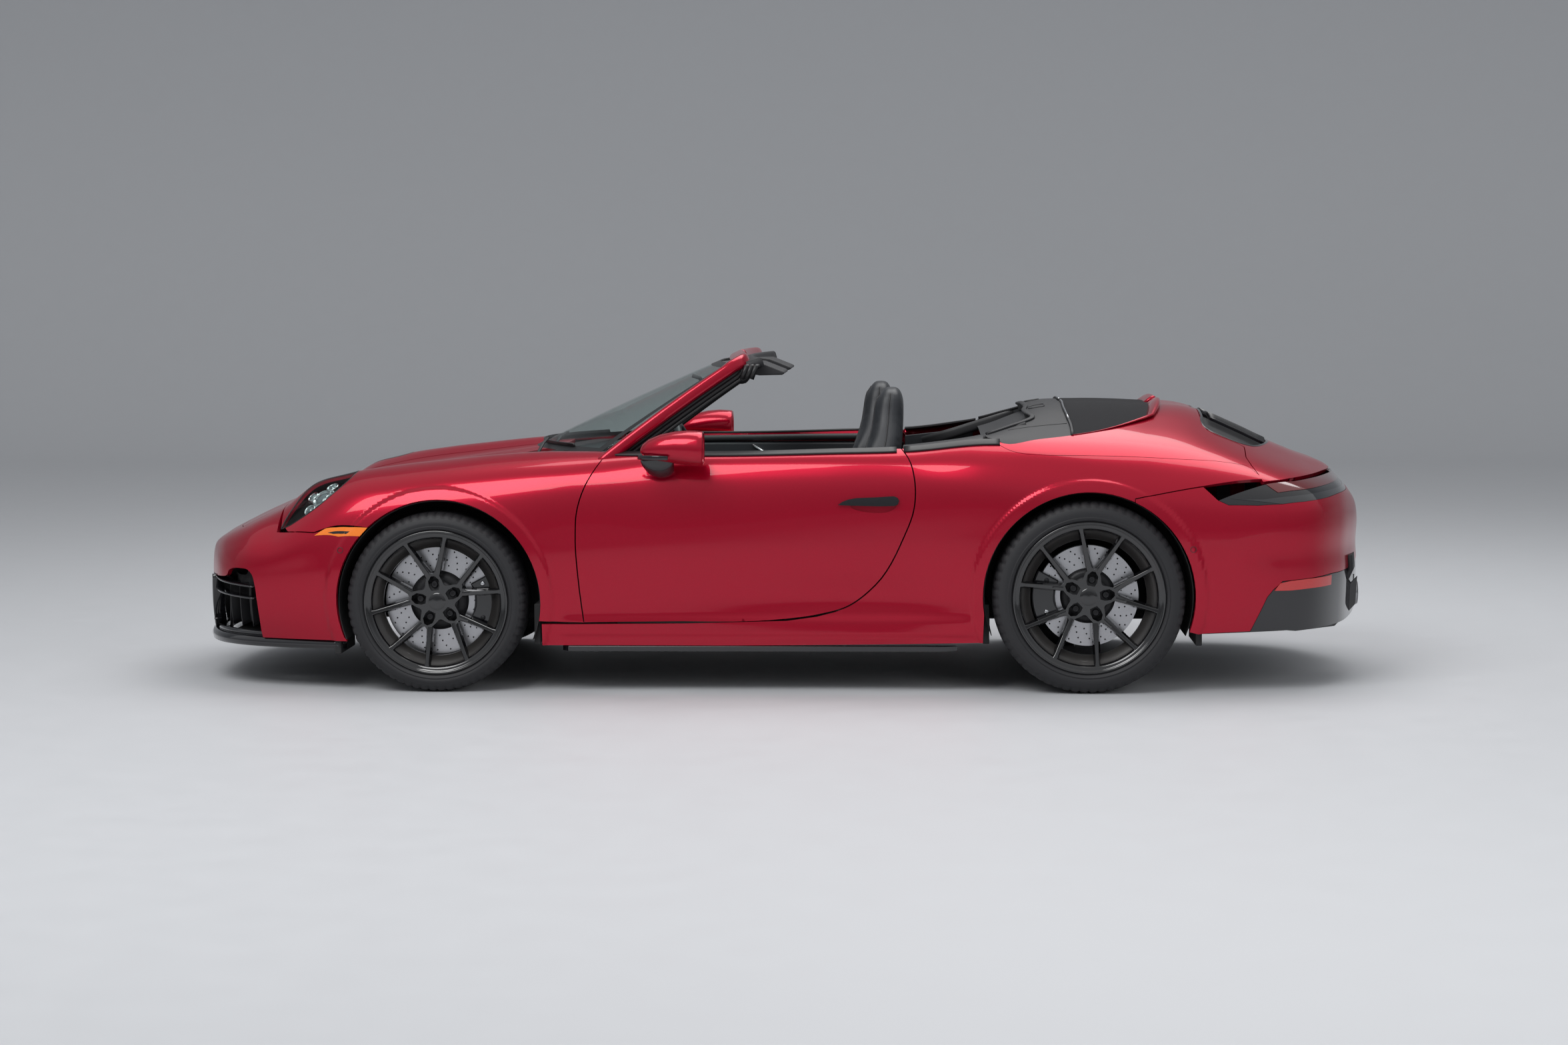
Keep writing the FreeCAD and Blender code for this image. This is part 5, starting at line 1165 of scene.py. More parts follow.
def mirror_shell():
    """A door mirror's painted shell, from its front tip round its rim into the hollow behind the pane."""
    sections = (
        (-0.492, -0.935, 0.914, 0.020, 0.010), (-0.484, -0.935, 0.916, 0.034, 0.022),
        (-0.462, -0.938, 0.918, 0.048, 0.038), (-0.420, -0.942, 0.921, 0.060, 0.053),
        (-0.365, -0.944, 0.922, 0.068, 0.064), (-0.315, -0.945, 0.920, 0.0705, 0.070),
        (-0.280, -0.945, 0.917, 0.071, 0.071), (-0.262, -0.945, 0.916, 0.070, 0.070),
        (-0.257, -0.945, 0.916, 0.066, 0.066), (-0.262, -0.945, 0.916, 0.060, 0.060),
        (-0.275, -0.945, 0.916, 0.058, 0.058))
    loops = []
    for x, y, z, half_y, half_z in sections:
        loop = []
        for i in range(32):
            across, up = squircle(i, 32, 2.2)
            low = 0.86 if up < 0 else 1.0
            loop.append((x, y + half_y * across, z + half_z * up * low))
        loops.append(loop)
    return rings("mirror_shell", loops, "red_paint")


def mirror_foot():
    """A door mirror's black foot, from the door's corner up to the shell."""
    sections = (
        (-0.872, -0.415, 0.842, 0.040, 0.028), (-0.884, -0.417, 0.842, 0.046, 0.034),
        (-0.900, -0.425, 0.850, 0.055, 0.036), (-0.925, -0.432, 0.868, 0.062, 0.028),
        (-0.945, -0.432, 0.880, 0.060, 0.020))
    turns = [2 * math.pi * i / 24 for i in range(24)]
    loops = [[(x + half_x * math.cos(a), y, z + half_z * math.sin(a)) for a in turns]
             for y, x, z, half_x, half_z in sections]
    return rings("mirror_foot", loops, "black_gloss")


def build_mirrors():
    """The door mirrors: a painted shell, a black foot with a lamp strip, and the glass."""
    shell, foot = mirror_shell(), mirror_foot()
    path = [(-0.502, -0.930, 0.889), (-0.495, -0.965, 0.890), (-0.470, -0.992, 0.891), (-0.430, -1.003, 0.891),
            (-0.386, -1.009, 0.890)]
    lamp = sweep("mirror_strip", path, round_box(0.009, 0.017, 0.004), "black_gloss")
    outline = [(-0.945 + a, 0.916 + b) for a, b in round_box(0.108, 0.104, 0.03, 6)]
    glass = plate("mirror_pane", outline, -0.270, -0.273, "mirror_face", frame=lambda a, b, d: (d, a, b))
    left = joined("mirror_dressed_left", [shell, foot, lamp, glass])
    right = mirrored_copy(left, "mirror_dressed_right")
    finish_piece(left, "door_left", "red_paint", "mirror_left")
    finish_piece(right, "door_right", "red_paint", "mirror_right")


def door_handle(name, sign):
    """A black handle bar over a painted hollow in the door's skin, on a dark root."""
    bar, well = hull.side(HANDLE), hull.side(HANDLE_WELL)
    parts = [panel(f"handle_bar_{name}", bar, side=sign, lift=0.013, thick=0.009, step=0.01,
                   material="black_gloss"),
             panel(f"handle_well_{name}", shrink(well, -0.006), side=sign, lift=-0.014, thick=0.002, step=0.01),
             panel(f"handle_root_{name}", shrink(bar, 0.008), side=sign, lift=0.005, thick=0.006, step=0.01,
                   material="black_matt")]
    return joined(f"door_handle_{name}", parts)


def sensors(name, sign):
    """Two small rings in the bumpers' sides."""
    made = []
    profile = [(0.0095, 0), (0.0105, 0.0008), (0.0115, 0.0)]
    for i, place in enumerate(((-1631, 537), (1560, 544))):
        at, normals = on_hull(hull.side([place]), sign, 0.0006)
        ring = lathe(f"sensor_ring_{name}_{i}", profile, "black_seal", steps=32)
        ring.data.transform(faced(at[0], normals[0]))
        made.append(ring)
    return joined(f"sensors_{name}", made)


def build_side_trim():
    """What is set on the body's sides: handles, belt trims, marker lamps and sensors."""
    profile = round_box(0.034, 0.009, 0.003)
    for name, sign in SIDES:
        finish_piece(door_handle(name, sign), f"door_{name}", "black_plastic")
        for piece, start, stop, body in (("belt_trim", -620, 470, f"door_{name}"),
                                         ("rear_belt", 486, 861, "body")):
            belt = [(u_at(x), 0.518) for x in range(start, stop, 30)]
            trim = bead(f"{piece}_{name}", belt, sign, 0.002, profile, "black_seal")
            finish_piece(trim, body, "black_plastic")
        marker = panel(f"marker_{name}", hull.side(MARKER), side=sign, lift=0.0012, thick=0.004, step=0.01,
                       material="amber")
        slot = panel(f"marker_slot_{name}", hull.side(MARKER_SLOT), side=sign, lift=0.0018, thick=0.003,
                     step=0.01, material="black_gloss")
        finish_piece(joined(f"marker_lamp_{name}", [marker, slot]), "body", "headlamp_glass")
        finish_piece(sensors(name, sign), "body", "black_plastic")


def build_tail():
    """Lamp bar, black corners, reflectors and diffuser."""
    made = tail_outlines()
    parts = []
    for piece, key, lift, thick, look in (("lamp_housing", "lamp_bar", -0.003, 0.010, "black_gloss"),
                                          ("lamp_upper", "upper_strip", -0.0012, 0.002, "lamp_red"),
                                          ("lamp_lower", "lower_strip", -0.0012, 0.002, "lens_smoke")):
        parts.append(panel(piece, shrink(made[key], 0.002), side=1, lift=lift, thick=thick, step=0.012,
                           material=look))
    finish_piece(joined("lamp_bar_dressed", parts), "body", "lamp_red", "lamp_bar")
    parts = [panel(f"corner_black_{name}", shrink(made["corner"], 0.0015), side=sign, lift=-0.002,
                   material="black_gloss") for name, sign in SIDES]
    parts += diffuser_parts()
    finish_piece(joined("diffuser_dressed", parts), "body", "black_plastic", "rear_diffuser")
    parts = [panel(f"reflector_{name}", hull.side(REFLECTOR), side=sign, lift=0.002, thick=0.006, step=0.012,
                   material="reflector") for name, sign in SIDES]
    finish_piece(joined("reflectors", parts), "body", "lamp_red")


def diffuser_parts():
    """The black centre under the tail: a curved plate with upright fins between the tail pipes."""
    # section: x, z and whether the place moves forward towards the plate's ends
    section = ((2.258, 0.486, 1), (2.262, 0.430, 1), (2.240, 0.380, 1), (2.190, 0.300, 1), (2.120, 0.232, 1),
               (2.020, 0.205, 1), (1.90, 0.200, 0), (1.90, 0.212, 0), (2.010, 0.217, 1), (2.105, 0.246, 1),
               (2.170, 0.310, 1), (2.218, 0.390, 1), (2.240, 0.432, 1), (2.236, 0.486, 1))
    loops = []
    for y in np.linspace(-0.50, 0.50, 21):
        bend = 0.055 * (y / 0.5) ** 2
        loops.append([(x - bend * moves, y, z) for x, z, moves in section])
    made = [rings("diffuser_plate", loops, "black_matt")]
    fin = [(2.235, 0.40), (2.228, 0.29), (2.15, 0.205), (2.0, 0.185), (1.93, 0.19), (2.05, 0.23), (2.14, 0.30)]
    for i, y in enumerate((-0.42, -0.34, -0.06, 0.06, 0.34, 0.42)):
        made.append(plate(f"diffuser_fin_{i}", fin, y - 0.004, y + 0.004, "black_gloss", width=0.0015))
    return made


def intake_parts(name, sign):
    """One side intake: its duct, two slats, the frame towards the nose and the upright flaps."""
    parts = [panel(f"duct_{name}", shrink(hull.side(INTAKE), -0.006), side=sign, lift=-0.085, thick=0.003,
                   step=0.02, material="black_matt")]
    for i, z in enumerate((357, 404)):
        line = hull.side([(x, z - 0.07 * (x + 2240)) for x in range(-2258, -1990, 14)])
        at, normals = on_hull(line, sign, -0.022)
        parts.append(sweep(f"slat_{name}_{i}", at, round_box(0.045, 0.007, 0.003), "black_gloss"))
    line = hull.side([(-2205 + 0.05 * (z - 220), z) for z in range(200, 412, 15)])
    parts.append(bead(f"nose_frame_{name}", line, sign, -0.010, round_box(0.020, 0.046, 0.006), "black_gloss"))
    for i, x in enumerate((-2235, -2155, -2095, -2035)):
        at, normals = on_hull(hull.side([(x, z) for z in range(212, 400, 18)]), sign, -0.060)
        ups = [n.cross(Vector((0, 0, 1))) for n in normals]
        parts.append(sweep(f"flap_{name}_{i}", at, round_box(0.040, 0.005, 0.002), "black_matt", ups=ups))
    return parts


def build_front():
    """Intake ducts, slats and flaps, then the splitter under the nose."""
    parts = [part for name, sign in SIDES for part in intake_parts(name, sign)]
    for i, z in enumerate((0.232, 0.268, 0.304, 0.340)):
        path = [(-2.243 + 0.055 * (y / 0.5) ** 2, y, z) for y in np.linspace(-0.46, 0.46, 21)]
        parts.append(sweep(f"nose_slat_{i}", path, round_box(0.030, 0.006, 0.0025), "black_gloss"))
    section = ((-2.20, 0.19), (-2.20, 0.40), (-2.19, 0.40), (-2.19, 0.19))
    loops = []
    for y in np.linspace(-0.48, 0.48, 17):
        bend = 0.06 * (y / 0.5) ** 2
        loops.append([(x + bend, y, z) for x, z in section])
    parts.append(rings("nose_duct", loops, "black_matt"))
    finish_piece(joined("intake_dressed", parts), "body", "black_plastic", "front_grille")
    build_lip()


def build_lip():
    """The black splitter, a blade that follows the bumper's lower edge, and the sills' blades."""
    half = smoothed([(-2258, 0), (-2254, 180), (-2236, 330), (-2200, 470), (-2130, 600), (-2030, 692),
                     (-1900, 757), (-1750, 802), (-1650, 832)], 5)
    line = [(x, -y) for x, y in half[::-1]] + half[1:]
    path = [(x / 1000, y / 1000, 0.178) for x, y in line]
    profile = [(0.062, 0.014), (0.010, 0.018), (-0.006, 0.010), (-0.012, -0.004), (-0.008, -0.022),
               (0.062, -0.028)]
    blade = sweep("lip_blade", path, profile, "black_gloss")
    path = [(x / 1000 + 0.012, y / 1000 * 0.985, 0.196) for x, y in line]
    profile = [(0.03, 0.012), (0.0, 0.016), (-0.004, -0.002), (0.03, -0.006)]
    strake = sweep("lip_strake", path, profile, "black_gloss")
    finish_piece(joined("front_lip_dressed", [blade, strake]), "body", "black_plastic", "front_lip")
    build_sill_blades()


def build_sill_blades():
    """The flat black blades under the sills."""
    for name, sign in SIDES:
        outline = [(-0.80, sign * 0.845), (-0.775, sign * 0.878), (0.62, sign * 0.881), (0.69, sign * 0.850)]
        blade = plate(f"sill_blade_dressed_{name}", outline, 0.1545, 0.1755, "black_gloss",
                      frame=lambda a, b, d: (a, b, d), width=0.003)
        finish_piece(blade, "body", "black_plastic", f"sill_blade_{name}")


def build_liners():
    """The dark linings of the four wheel arches, which are real liners that also stand in for the shade seen
    through the arches, dark walls at the arches' ends that are painted shade under the car, and the flat panels
    under the nose and the tail.
    """
    # Painted shade: dark walls at each arch's front and rear that hide the bright floor under the car; x, lower
    # edge and upper edge in metres
    flaps = ((-1.655, 0.138, 0.300), (-0.896, 0.178, 0.330), (0.795, 0.180, 0.330), (1.590, 0.175, 0.300))
    parts = []
    for name, sign in SIDES:
        across = (sign * 0.69 - 0.15, sign * 0.69 + 0.15)
        for k, (x, low, high) in enumerate(flaps):
            parts.append(block(f"flap_{name}_{k}", (x - 0.012, x + 0.012), across, (low, high), "underside"))
        for end, wall in (("front", 0.465), ("rear", 0.50)):
            parts += arch_liner(f"{end}_{name}", sign, wall, *ARCHES[end])
    for name, x0, x1, half, z in (("nose", -2.12, -1.66, 0.60, 0.196), ("tail", 1.60, 2.02, 0.66, 0.232)):
        parts.append(block(f"under_{name}", (x0, x1), (-half, half), (z - 0.006, z), "underside", 0.002))
    finish_piece(joined("wheel_arch_liners", parts), "body", "black_plastic")


def arch_liner(name, sign, wall, axle, hub, radius):
    """A wheel arch's round lining, a little within the arch, and its inner wall."""
    line = [(x / 1000, z / 1000) for x, z in arc(axle, hub, radius - 5, -22, 202, 40)]
    x0, z0 = axle / 1000, hub / 1000
    inner = [(x0 + (x - x0) * 1.008, z0 + (z - z0) * 1.008) for x, z in line]
    outline = line + [(line[-1][0], 0.24), (line[0][0], 0.24)]
    return [plate(f"liner_{name}", line + inner[::-1], sign * wall, sign * 0.862, "underside"),
            plate(f"liner_wall_{name}", outline, sign * (wall - 0.004), sign * wall, "underside")]


def wiper(i, y0, y1):
    """A wiper parked at the screen's foot: its blade along the glass and its arm."""
    a0, a1 = y0 / 0.7, y1 / 0.7
    blade = [screen_point(a0 + (a1 - a0) * k / 10, 0.045, 0.008) for k in range(11)]
    foot, middle = Vector((-0.93, y0 + 0.05, 0.885)), blade[5]
    arm = [foot, foot.lerp(middle, 0.5) + Vector((0, 0, 0.012)), middle + Vector((0, 0, 0.010))]
    return [sweep(f"wiper_blade_{i}", blade, round_box(0.006, 0.014, 0.002), "black_seal", up=(-0.4, 0, 0.9)),
            sweep(f"wiper_arm_{i}", arm, round_box(0.012, 0.008, 0.003), "black_matt")]


def build_cowl():
    """The black panel at the screen's foot with the wipers."""
    half = hull.plan([(-1030, 60), (-1008, 220), (-960, 400), (-905, 600), (-800, 640), (-742, 640),
                      (-730, 560), (-800, 400), (-870, 200), (-880, 60)])
    cover = panel("cowl_cover", shrink(whole(half), 0.003), side=1, lift=-0.012, thick=0.006,
                  material="black_matt")
    parts = [cover] + wiper(0, -0.52, 0.06) + wiper(1, 0.02, 0.56)
    finish_piece(joined("cowl_dressed", parts), "body", "black_plastic", "cowl")


def build_engine_grille():
    """The engine's grille: a dark bed and frame with two banks of thin slats."""
    edge = shrink(deck_outlines()["engine_grille"], 0.001)
    parts = [panel("grille_bed", edge, side=1, lift=-0.022, thick=0.004, material="black_matt"),
             bead("grille_rim", dense(edge), 1, -0.003, round_box(0.010, 0.010, 0.003), "black_gloss",
                  wrap=True)]
    for sign in (-1, 1):
        for i in range(12):
            y = 34 + 26 * i
            back = 1896 - max(0, y - 200) * 0.12
            line = hull.plan([(x, y) for x in np.linspace(1672, back, 9)])
            parts.append(bead(f"grille_slat_{sign + 1}_{i}", line, sign, -0.001,
                              round_box(0.006, 0.014, 0.0025), "black_gloss"))
    finish_piece(joined("grille_dressed", parts), "engine_lid", "black_plastic", "engine_grille")


# Wheels: the car's left wheels are drawn round the origin with their outside towards -Y
FRONT_DISC = 0.204
WHEELS = {
    "front": {"axle": FRONT_AXLE / 1000, "hub": 0.340, "track": 0.782, "tyre": 0.340, "width": 0.245,
              "bead": 0.254, "half": 0.116, "disc": FRONT_DISC, "turn": 9.5, "caliper": 0},
    "rear": {"axle": REAR_AXLE / 1000, "hub": 0.361, "track": 0.768, "tyre": 0.361, "width": 0.310,
             "bead": 0.2667, "half": 0.148, "disc": 0.190, "turn": -11, "caliper": 180},
}
DISH = 0.041
LUGS = [90 + 72 * i for i in range(5)]


def polar(r, degrees):
    """A place in a plane from its distance and angle."""
    return (r * math.cos(math.radians(degrees)), r * math.sin(math.radians(degrees)))


def star_outline():
    """The hub star's edge: five pocket tips with hollows between them."""
    tip = ((0.068, -36), (0.070, -31), (0.084, -21.5), (0.104, -12), (0.116, -7.5), (0.106, 0.0), (0.116, 7.5),
           (0.104, 12), (0.084, 21.5), (0.070, 31))
    return [polar(r, lug + a) for lug in LUGS for r, a in tip]


def pocket_outline(lug):
    """The edge of the hollow round a wheel bolt."""
    half = ((0.045, 18), (0.062, 19), (0.084, 14), (0.098, 4))
    return [polar(r, lug - a) for r, a in half] + [polar(r, lug + a) for r, a in half[::-1]]


def spoke(name, lug, turn, w, face, hub_face):
    """One of a pair of thin spokes: a sharp front edge on a deep tapering web."""
    start = Vector((*polar(0.100, lug + 9.5 * turn), 0))
    to = Vector((*polar(w["bead"] - 0.002, lug + 18 * turn), 0))
    along = (to - start).normalized()
    across = Vector((-along.y, along.x, 0))
    loops = []
    for k in range(9):
        t = k / 8
        p = start.lerp(to, t)
        front = hub_face + (face + 0.008 - hub_face) * (t ** 1.25)
        deep = 0.042 + (0.026 - 0.042) * t
        half = 0.0095 - 0.0038 * t
        wide = 0.0170 - 0.0050 * t
        flare = 1 + 1.4 * max(0, t - 0.9) * 10 * 0.5
        section = [(-half * flare, front + 0.0012), (-half * flare * 0.7, front), (half * flare * 0.7, front),
                   (half * flare, front + 0.0012), (half * flare * 1.15, front + 0.005),
                   (wide * flare, front + deep * 0.7), (wide * flare * 0.9, front + deep),
                   (-wide * flare * 0.9, front + deep), (-wide * flare, front + deep * 0.7),
                   (-half * flare * 1.15, front + 0.005)]
        loops.append([(p.x + across.x * a, y, p.y + across.y * a) for a, y in section])
    return bevelled(rings(name, loops, "rim"), 0.0008, 2, 25)


def rim_parts(end, w):
    """A rim's flange and well, hub star, ten spokes, five bolts, blank cap and valve."""
    face, hub_face = -w["half"], -w["half"] + DISH
    b, h = w["bead"], w["half"]
    flange = [(b, -h + 0.012), (b + 0.0165, -h + 0.011), (b + 0.018, -h + 0.008), (b + 0.018, -h + 0.002),
              (b + 0.0165, -h), (b + 0.0105, -h), (b + 0.0085, -h + 0.003), (b + 0.004, -h + 0.006),
              (b - 0.002, -h + 0.007), (b - 0.006, -h + 0.009), (b - 0.010, -h + 0.013),
              (b - 0.013, -h + 0.022)]
    well = [(b - 0.013, -h + 0.022), (b - 0.020, -h + 0.030), (b - 0.048, -h + 0.050), (b - 0.050, -h + 0.060),
            (b - 0.022, -h + 0.072), (b - 0.010, -h + 0.100), (b - 0.009, h - 0.002), (b + 0.018, h - 0.001),
            (b + 0.018, h - 0.009), (b, h - 0.012)]
    parts = [lathe(f"flange_{end}", flange, "rim", steps=128),
             lathe(f"well_{end}", well, "rim_well", steps=128)]
    pockets = [pocket_outline(lug) for lug in LUGS]
    parts.append(plate(f"star_{end}", star_outline(), hub_face, hub_face + 0.030, "rim", holes=pockets,
                       width=0.0018))
    drum = [(r, hub_face + y) for r, y in ((0.0001, 0.022), (0.070, 0.022), (0.076, 0.027), (0.076, 0.044),
                                           (0.0001, 0.044))]
    parts.append(lathe(f"hub_back_{end}", drum, "black_matt", steps=64))
    for i, lug in enumerate(LUGS):
        for turn in (-1, 1):
            parts.append(spoke(f"spoke_{end}_{i}_{turn}", lug, turn, w, face, hub_face))
        a, c = polar(0.065, lug)
        parts.append(bolt(f"bolt_{end}_{i}", a, c, hub_face + 0.022))
    cap = [(r, hub_face + y) for r, y in ((0.0001, -0.0035), (0.020, -0.003), (0.030, -0.0015), (0.0345, 0.001),
                                          (0.036, 0.004), (0.036, 0.02))]
    parts.append(lathe(f"cap_{end}", cap, "rim", steps=64))
    stem = [Vector((*polar(b - deep, 75), 0)).xzy + Vector((0, -h + y, 0))
            for deep, y in ((0.012, 0.042), (0.040, 0.026))]
    parts.append(sweep(f"valve_{end}", stem, circle(0.0045, 12), "black_matt"))
    return parts


def bolt(name, a, c, depth):
    """A wheel bolt's head with its six-sided socket."""
    profile = [(0.013, 0), (0.013, -0.006), (0.011, -0.010), (0.0085, -0.011), (0.0080, -0.008)]
    collar = lathe(name + "_collar", profile, "iron", steps=24)
    socket = plate(name + "_socket", circle(0.0082, 24), -0.0075, 0.0, "iron", holes=(circle(0.005, 6),))
    floor = plate(name + "_floor", circle(0.0055, 12), -0.003, 0.0, "black_matt")
    made = joined(name, [collar, socket, floor])
    made.data.transform(Matrix.Translation((a, depth, c)))
    return made


def tyre_part(end, w):
    """The tyre with four grooves round it and slots across its shoulders."""
    r, half, b, h = w["tyre"], w["width"] / 2, w["bead"], w["half"]
    side = smoothed([(b + 0.0004, h - 0.020), (b + 0.0195, h - 0.006), (b + 0.026, h + 0.0005),
                     (b + 0.034, half - 0.0035), (0.55 * b + 0.45 * r + 0.006, half - 0.0006),
                     (r - 0.030, half - 0.0035), (r - 0.019, half - 0.0085), (r - 0.0105, half - 0.016),
                     (r - 0.0045, half - 0.027), (r - 0.0022, half - 0.040)], 3)
    side.insert(9, (side[9][0] - 0.0003, side[9][1] + 0.0016))
    grooves = [(-0.5, 0.010), (-0.17, 0.011), (0.17, 0.011), (0.5, 0.010)]
    span = half - 0.046
    crown = [[r - 0.0012 * (y / span) ** 2, y] for y in np.linspace(span, -span, 31)]
    for centre, wide in grooves:
        for row in crown:
            if abs(row[1] - centre * span * 1.25) < wide / 2:
                row[0] = r - 0.0075
    outer = side + [tuple(c) for c in crown] + [(q, -y) for q, y in side[::-1]]
    steps = 64 * 4
    points = []
    for i in range(steps):
        a = 2 * math.pi * i / steps
        slot = i % 4 == 0
        for q, y in outer:
            shoulder = half - 0.052 < abs(y) < half - 0.0075 and q > r - 0.02
            radius = q - 0.0055 if slot and shoulder else q
            points.append((radius * math.cos(a), y, radius * math.sin(a)))
    return plain_mesh(f"tyre_skin_{end}", points, wrapped_faces(steps, len(outer)), "tyre")


def disc_face(w):
    """Where the brake disc's outer face lies along the axle."""
    return -w["half"] + DISH + 0.050 + 0.014


def disc_parts(end, w):
    """The brake disc with its drilled faces, its vent gap and its bell."""
    r = w["disc"]
    d0 = disc_face(w)
    holes = []
    for i in range(24):
        for k, q in enumerate((0.135, 0.155, 0.175, 0.191)):
            at = polar(q * r / FRONT_DISC, 15 * i + 4.2 * k)
            holes.append([(at[0] + a, at[1] + c) for a, c in circle(0.0032, 8)])
    ring_outer, ring_inner = circle(r, 96), circle(0.112 * r / FRONT_DISC, 64)
    faces = [plate(f"disc_face_{end}_{k}", ring_outer, d0 + y, d0 + y + 0.010, "disc",
                   holes=(ring_inner, *holes)) for k, y in enumerate((0.0, 0.024))]
    bell = [(0.114 * r / FRONT_DISC, d0 + 0.008), (0.110 * r / FRONT_DISC, d0 - 0.002), (0.094, d0 - 0.010),
            (0.086, d0 - 0.0135), (0.031, d0 - 0.0135), (0.031, d0 + 0.02), (0.100, d0 + 0.02),
            (0.112 * r / FRONT_DISC, d0 + 0.028)]
    core = [(0.118 * r / FRONT_DISC, d0 + 0.009), (r - 0.012, d0 + 0.009), (r - 0.012, d0 + 0.025),
            (0.118 * r / FRONT_DISC, d0 + 0.025)]
    return faces + [lathe(f"disc_bell_{end}", bell, "iron", steps=64),
                    lathe(f"disc_core_{end}", core, "iron", steps=64)]


def caliper_part(end, w):
    """A caliper's housing over the disc's edge: two thick cheeks, the bridge between them and two bosses."""
    r, middle = w["disc"], w["caliper"]
    d0 = disc_face(w)
    cheek = [polar(r + 0.021, middle - 28 + 4 * i) for i in range(15)]
    cheek += [polar(r - 0.068 + 0.006 * math.cos(math.radians(13 * (i - 7))), middle + 28 - 4 * i)
              for i in range(15)]
    bridge = [polar(r + 0.022, middle - 24 + 4 * i) for i in range(13)]
    bridge += [polar(r + 0.007, middle + 24 - 4 * i) for i in range(13)]
    parts = [plate(f"caliper_front_{end}", cheek, d0 - 0.0235, d0 - 0.004, "black_gloss", width=0.006),
             plate(f"caliper_back_{end}", cheek, d0 + 0.038, d0 + 0.0575, "black_gloss", width=0.006),
             plate(f"caliper_bridge_{end}", bridge, d0 - 0.018, d0 + 0.052, "black_gloss", width=0.004)]
    profile = [(0.0001, d0 - 0.028), (0.007, d0 - 0.028), (0.009, d0 - 0.0265), (0.009, d0 - 0.02)]
    for k, look in ((-1, "iron"), (1, "silver")):
        at = polar(r - 0.024, middle + 21 * k)
        boss = lathe(f"caliper_boss_{end}_{k}", profile, look, steps=24)
        boss.data.transform(Matrix.Translation((at[0], 0, at[1])))
        parts.append(boss)
    return joined(f"caliper_{end}", parts)


def placed(obj, name, w, sign, turn=0.0):
    """A wheel piece drawn for the left wheel, set on its hub or mirrored to the right."""
    mesh = obj.data.copy()
    mesh.name = name
    if turn:
        mesh.transform(Matrix.Rotation(math.radians(turn), 4, (0, -1, 0)))
    mesh.transform(Matrix.Translation((w["axle"], -w["track"], w["hub"])))
    if sign > 0:
        mesh.transform(Matrix.Scale(-1, 4, (0, 1, 0)))
        mesh.flip_normals()
    return linked(name, mesh)


def build_wheels():
    """Rims with their tyres, discs and calipers at all four corners."""
    for end, w in WHEELS.items():
        rim = joined(f"rim_drawn_{end}", rim_parts(end, w))
        tyre = tyre_part(end, w)
        disc = joined(f"disc_drawn_{end}", disc_parts(end, w))
        caliper = caliper_part(end, w)
        for name, sign in SIDES:
            wheel = f"wheel_{end}_{name}"
            carrier = f"upright_{name}" if end == "front" else "body"
            finish_piece(placed(rim, f"rim_dressed_{end}_{name}", w, sign, w["turn"]), wheel, "rim_black",
                         f"rim_{end}_{name}")
            finish_piece(placed(tyre, f"tyre_dressed_{end}_{name}", w, sign), wheel, "tyre_rubber",
                         f"tyre_{end}_{name}")
            finish_piece(placed(disc, f"disc_dressed_{end}_{name}", w, sign, w["turn"] + 5), wheel,
                         "disc_steel", f"disc_{end}_{name}")
            finish_piece(placed(caliper, f"caliper_dressed_{end}_{name}", w, sign), carrier, "knuckle_metal")
        for drawn in (rim, tyre, disc, caliper):
            bpy.data.objects.remove(drawn)


def door_card(name, sign):
    """The leather inner face of a door with its top, arm rest and pull."""
    outline = [(-0.56, 0.715), (0.465, 0.735), (0.485, 0.80), (-0.60, 0.80), (-0.60, 0.75)]
    card = plate(f"door_card_base_{name}", [(a, sign * b) for a, b in outline], 0.30, 0.862, "leather",
                 frame=lambda a, b, d: (a, b, d), width=0.012, smooth=True)
    path = [(x, sign * (0.728 + 0.02 * min(1, (x + 0.6) / 0.3)), 0.873 + 0.012 * (x + 0.6))
            for x in np.linspace(-0.56, 0.46, 12)]
    top = sweep(f"door_top_{name}", path, round_box(0.060, 0.024, 0.010), "black_matt")
    across = (sign * 0.722 - 0.028, sign * 0.722 + 0.028)
    rest = block(f"arm_rest_{name}", (-0.35, 0.33), across, (0.660, 0.70), "leather", 0.014)
    path = [(-0.16, sign * 0.716, 0.85), (-0.08, sign * 0.712, 0.80), (0.0, sign * 0.712, 0.76)]
    pull = sweep(f"door_pull_{name}", path, round_box(0.030, 0.010, 0.004), "silver")
    return joined(f"door_card_{name}", [card, top, rest, pull])


def rear_trim(name, sign):
    """The black shelf, leather wall and rail beside a rear seat."""
    line = [(u_at(x), 0.530) for x in range(484, 790, 30)] + hull.plan([(783, 700), (640, 700), (484, 700)])
    shelf = panel(f"side_shelf_{name}", line, side=sign, lift=0.001, thick=0.006, material="black_matt")
    outline = [(0.485, 0.50), (0.485, 0.890), (0.62, 0.905), (0.772, 0.925), (0.772, 0.50)]
    wall = plate(f"side_wall_{name}", outline, sign * 0.700 - 0.006, sign * 0.700 + 0.006, "leather",
                 width=0.004)
    path = [(0.56, sign * 0.655, 0.865), (0.70, sign * 0.650, 0.906), (0.82, sign * 0.640, 0.945),
            (0.95, sign * 0.610, 0.985)]
    rail = sweep(f"side_rail_{name}", path, round_box(0.040, 0.042, 0.012), "black_matt")
    return joined(f"side_trim_{name}", [shelf, wall, rail])


def build_cabin():
    """Door cards, dashboard, console, rear trim and steering wheel."""
    for name, sign in SIDES:
        finish_piece(door_card(name, sign), f"door_{name}", "black_leather")
        finish_piece(rear_trim(name, sign), "body", "black_leather")
    build_dash()
    build_console()
    build_steering()


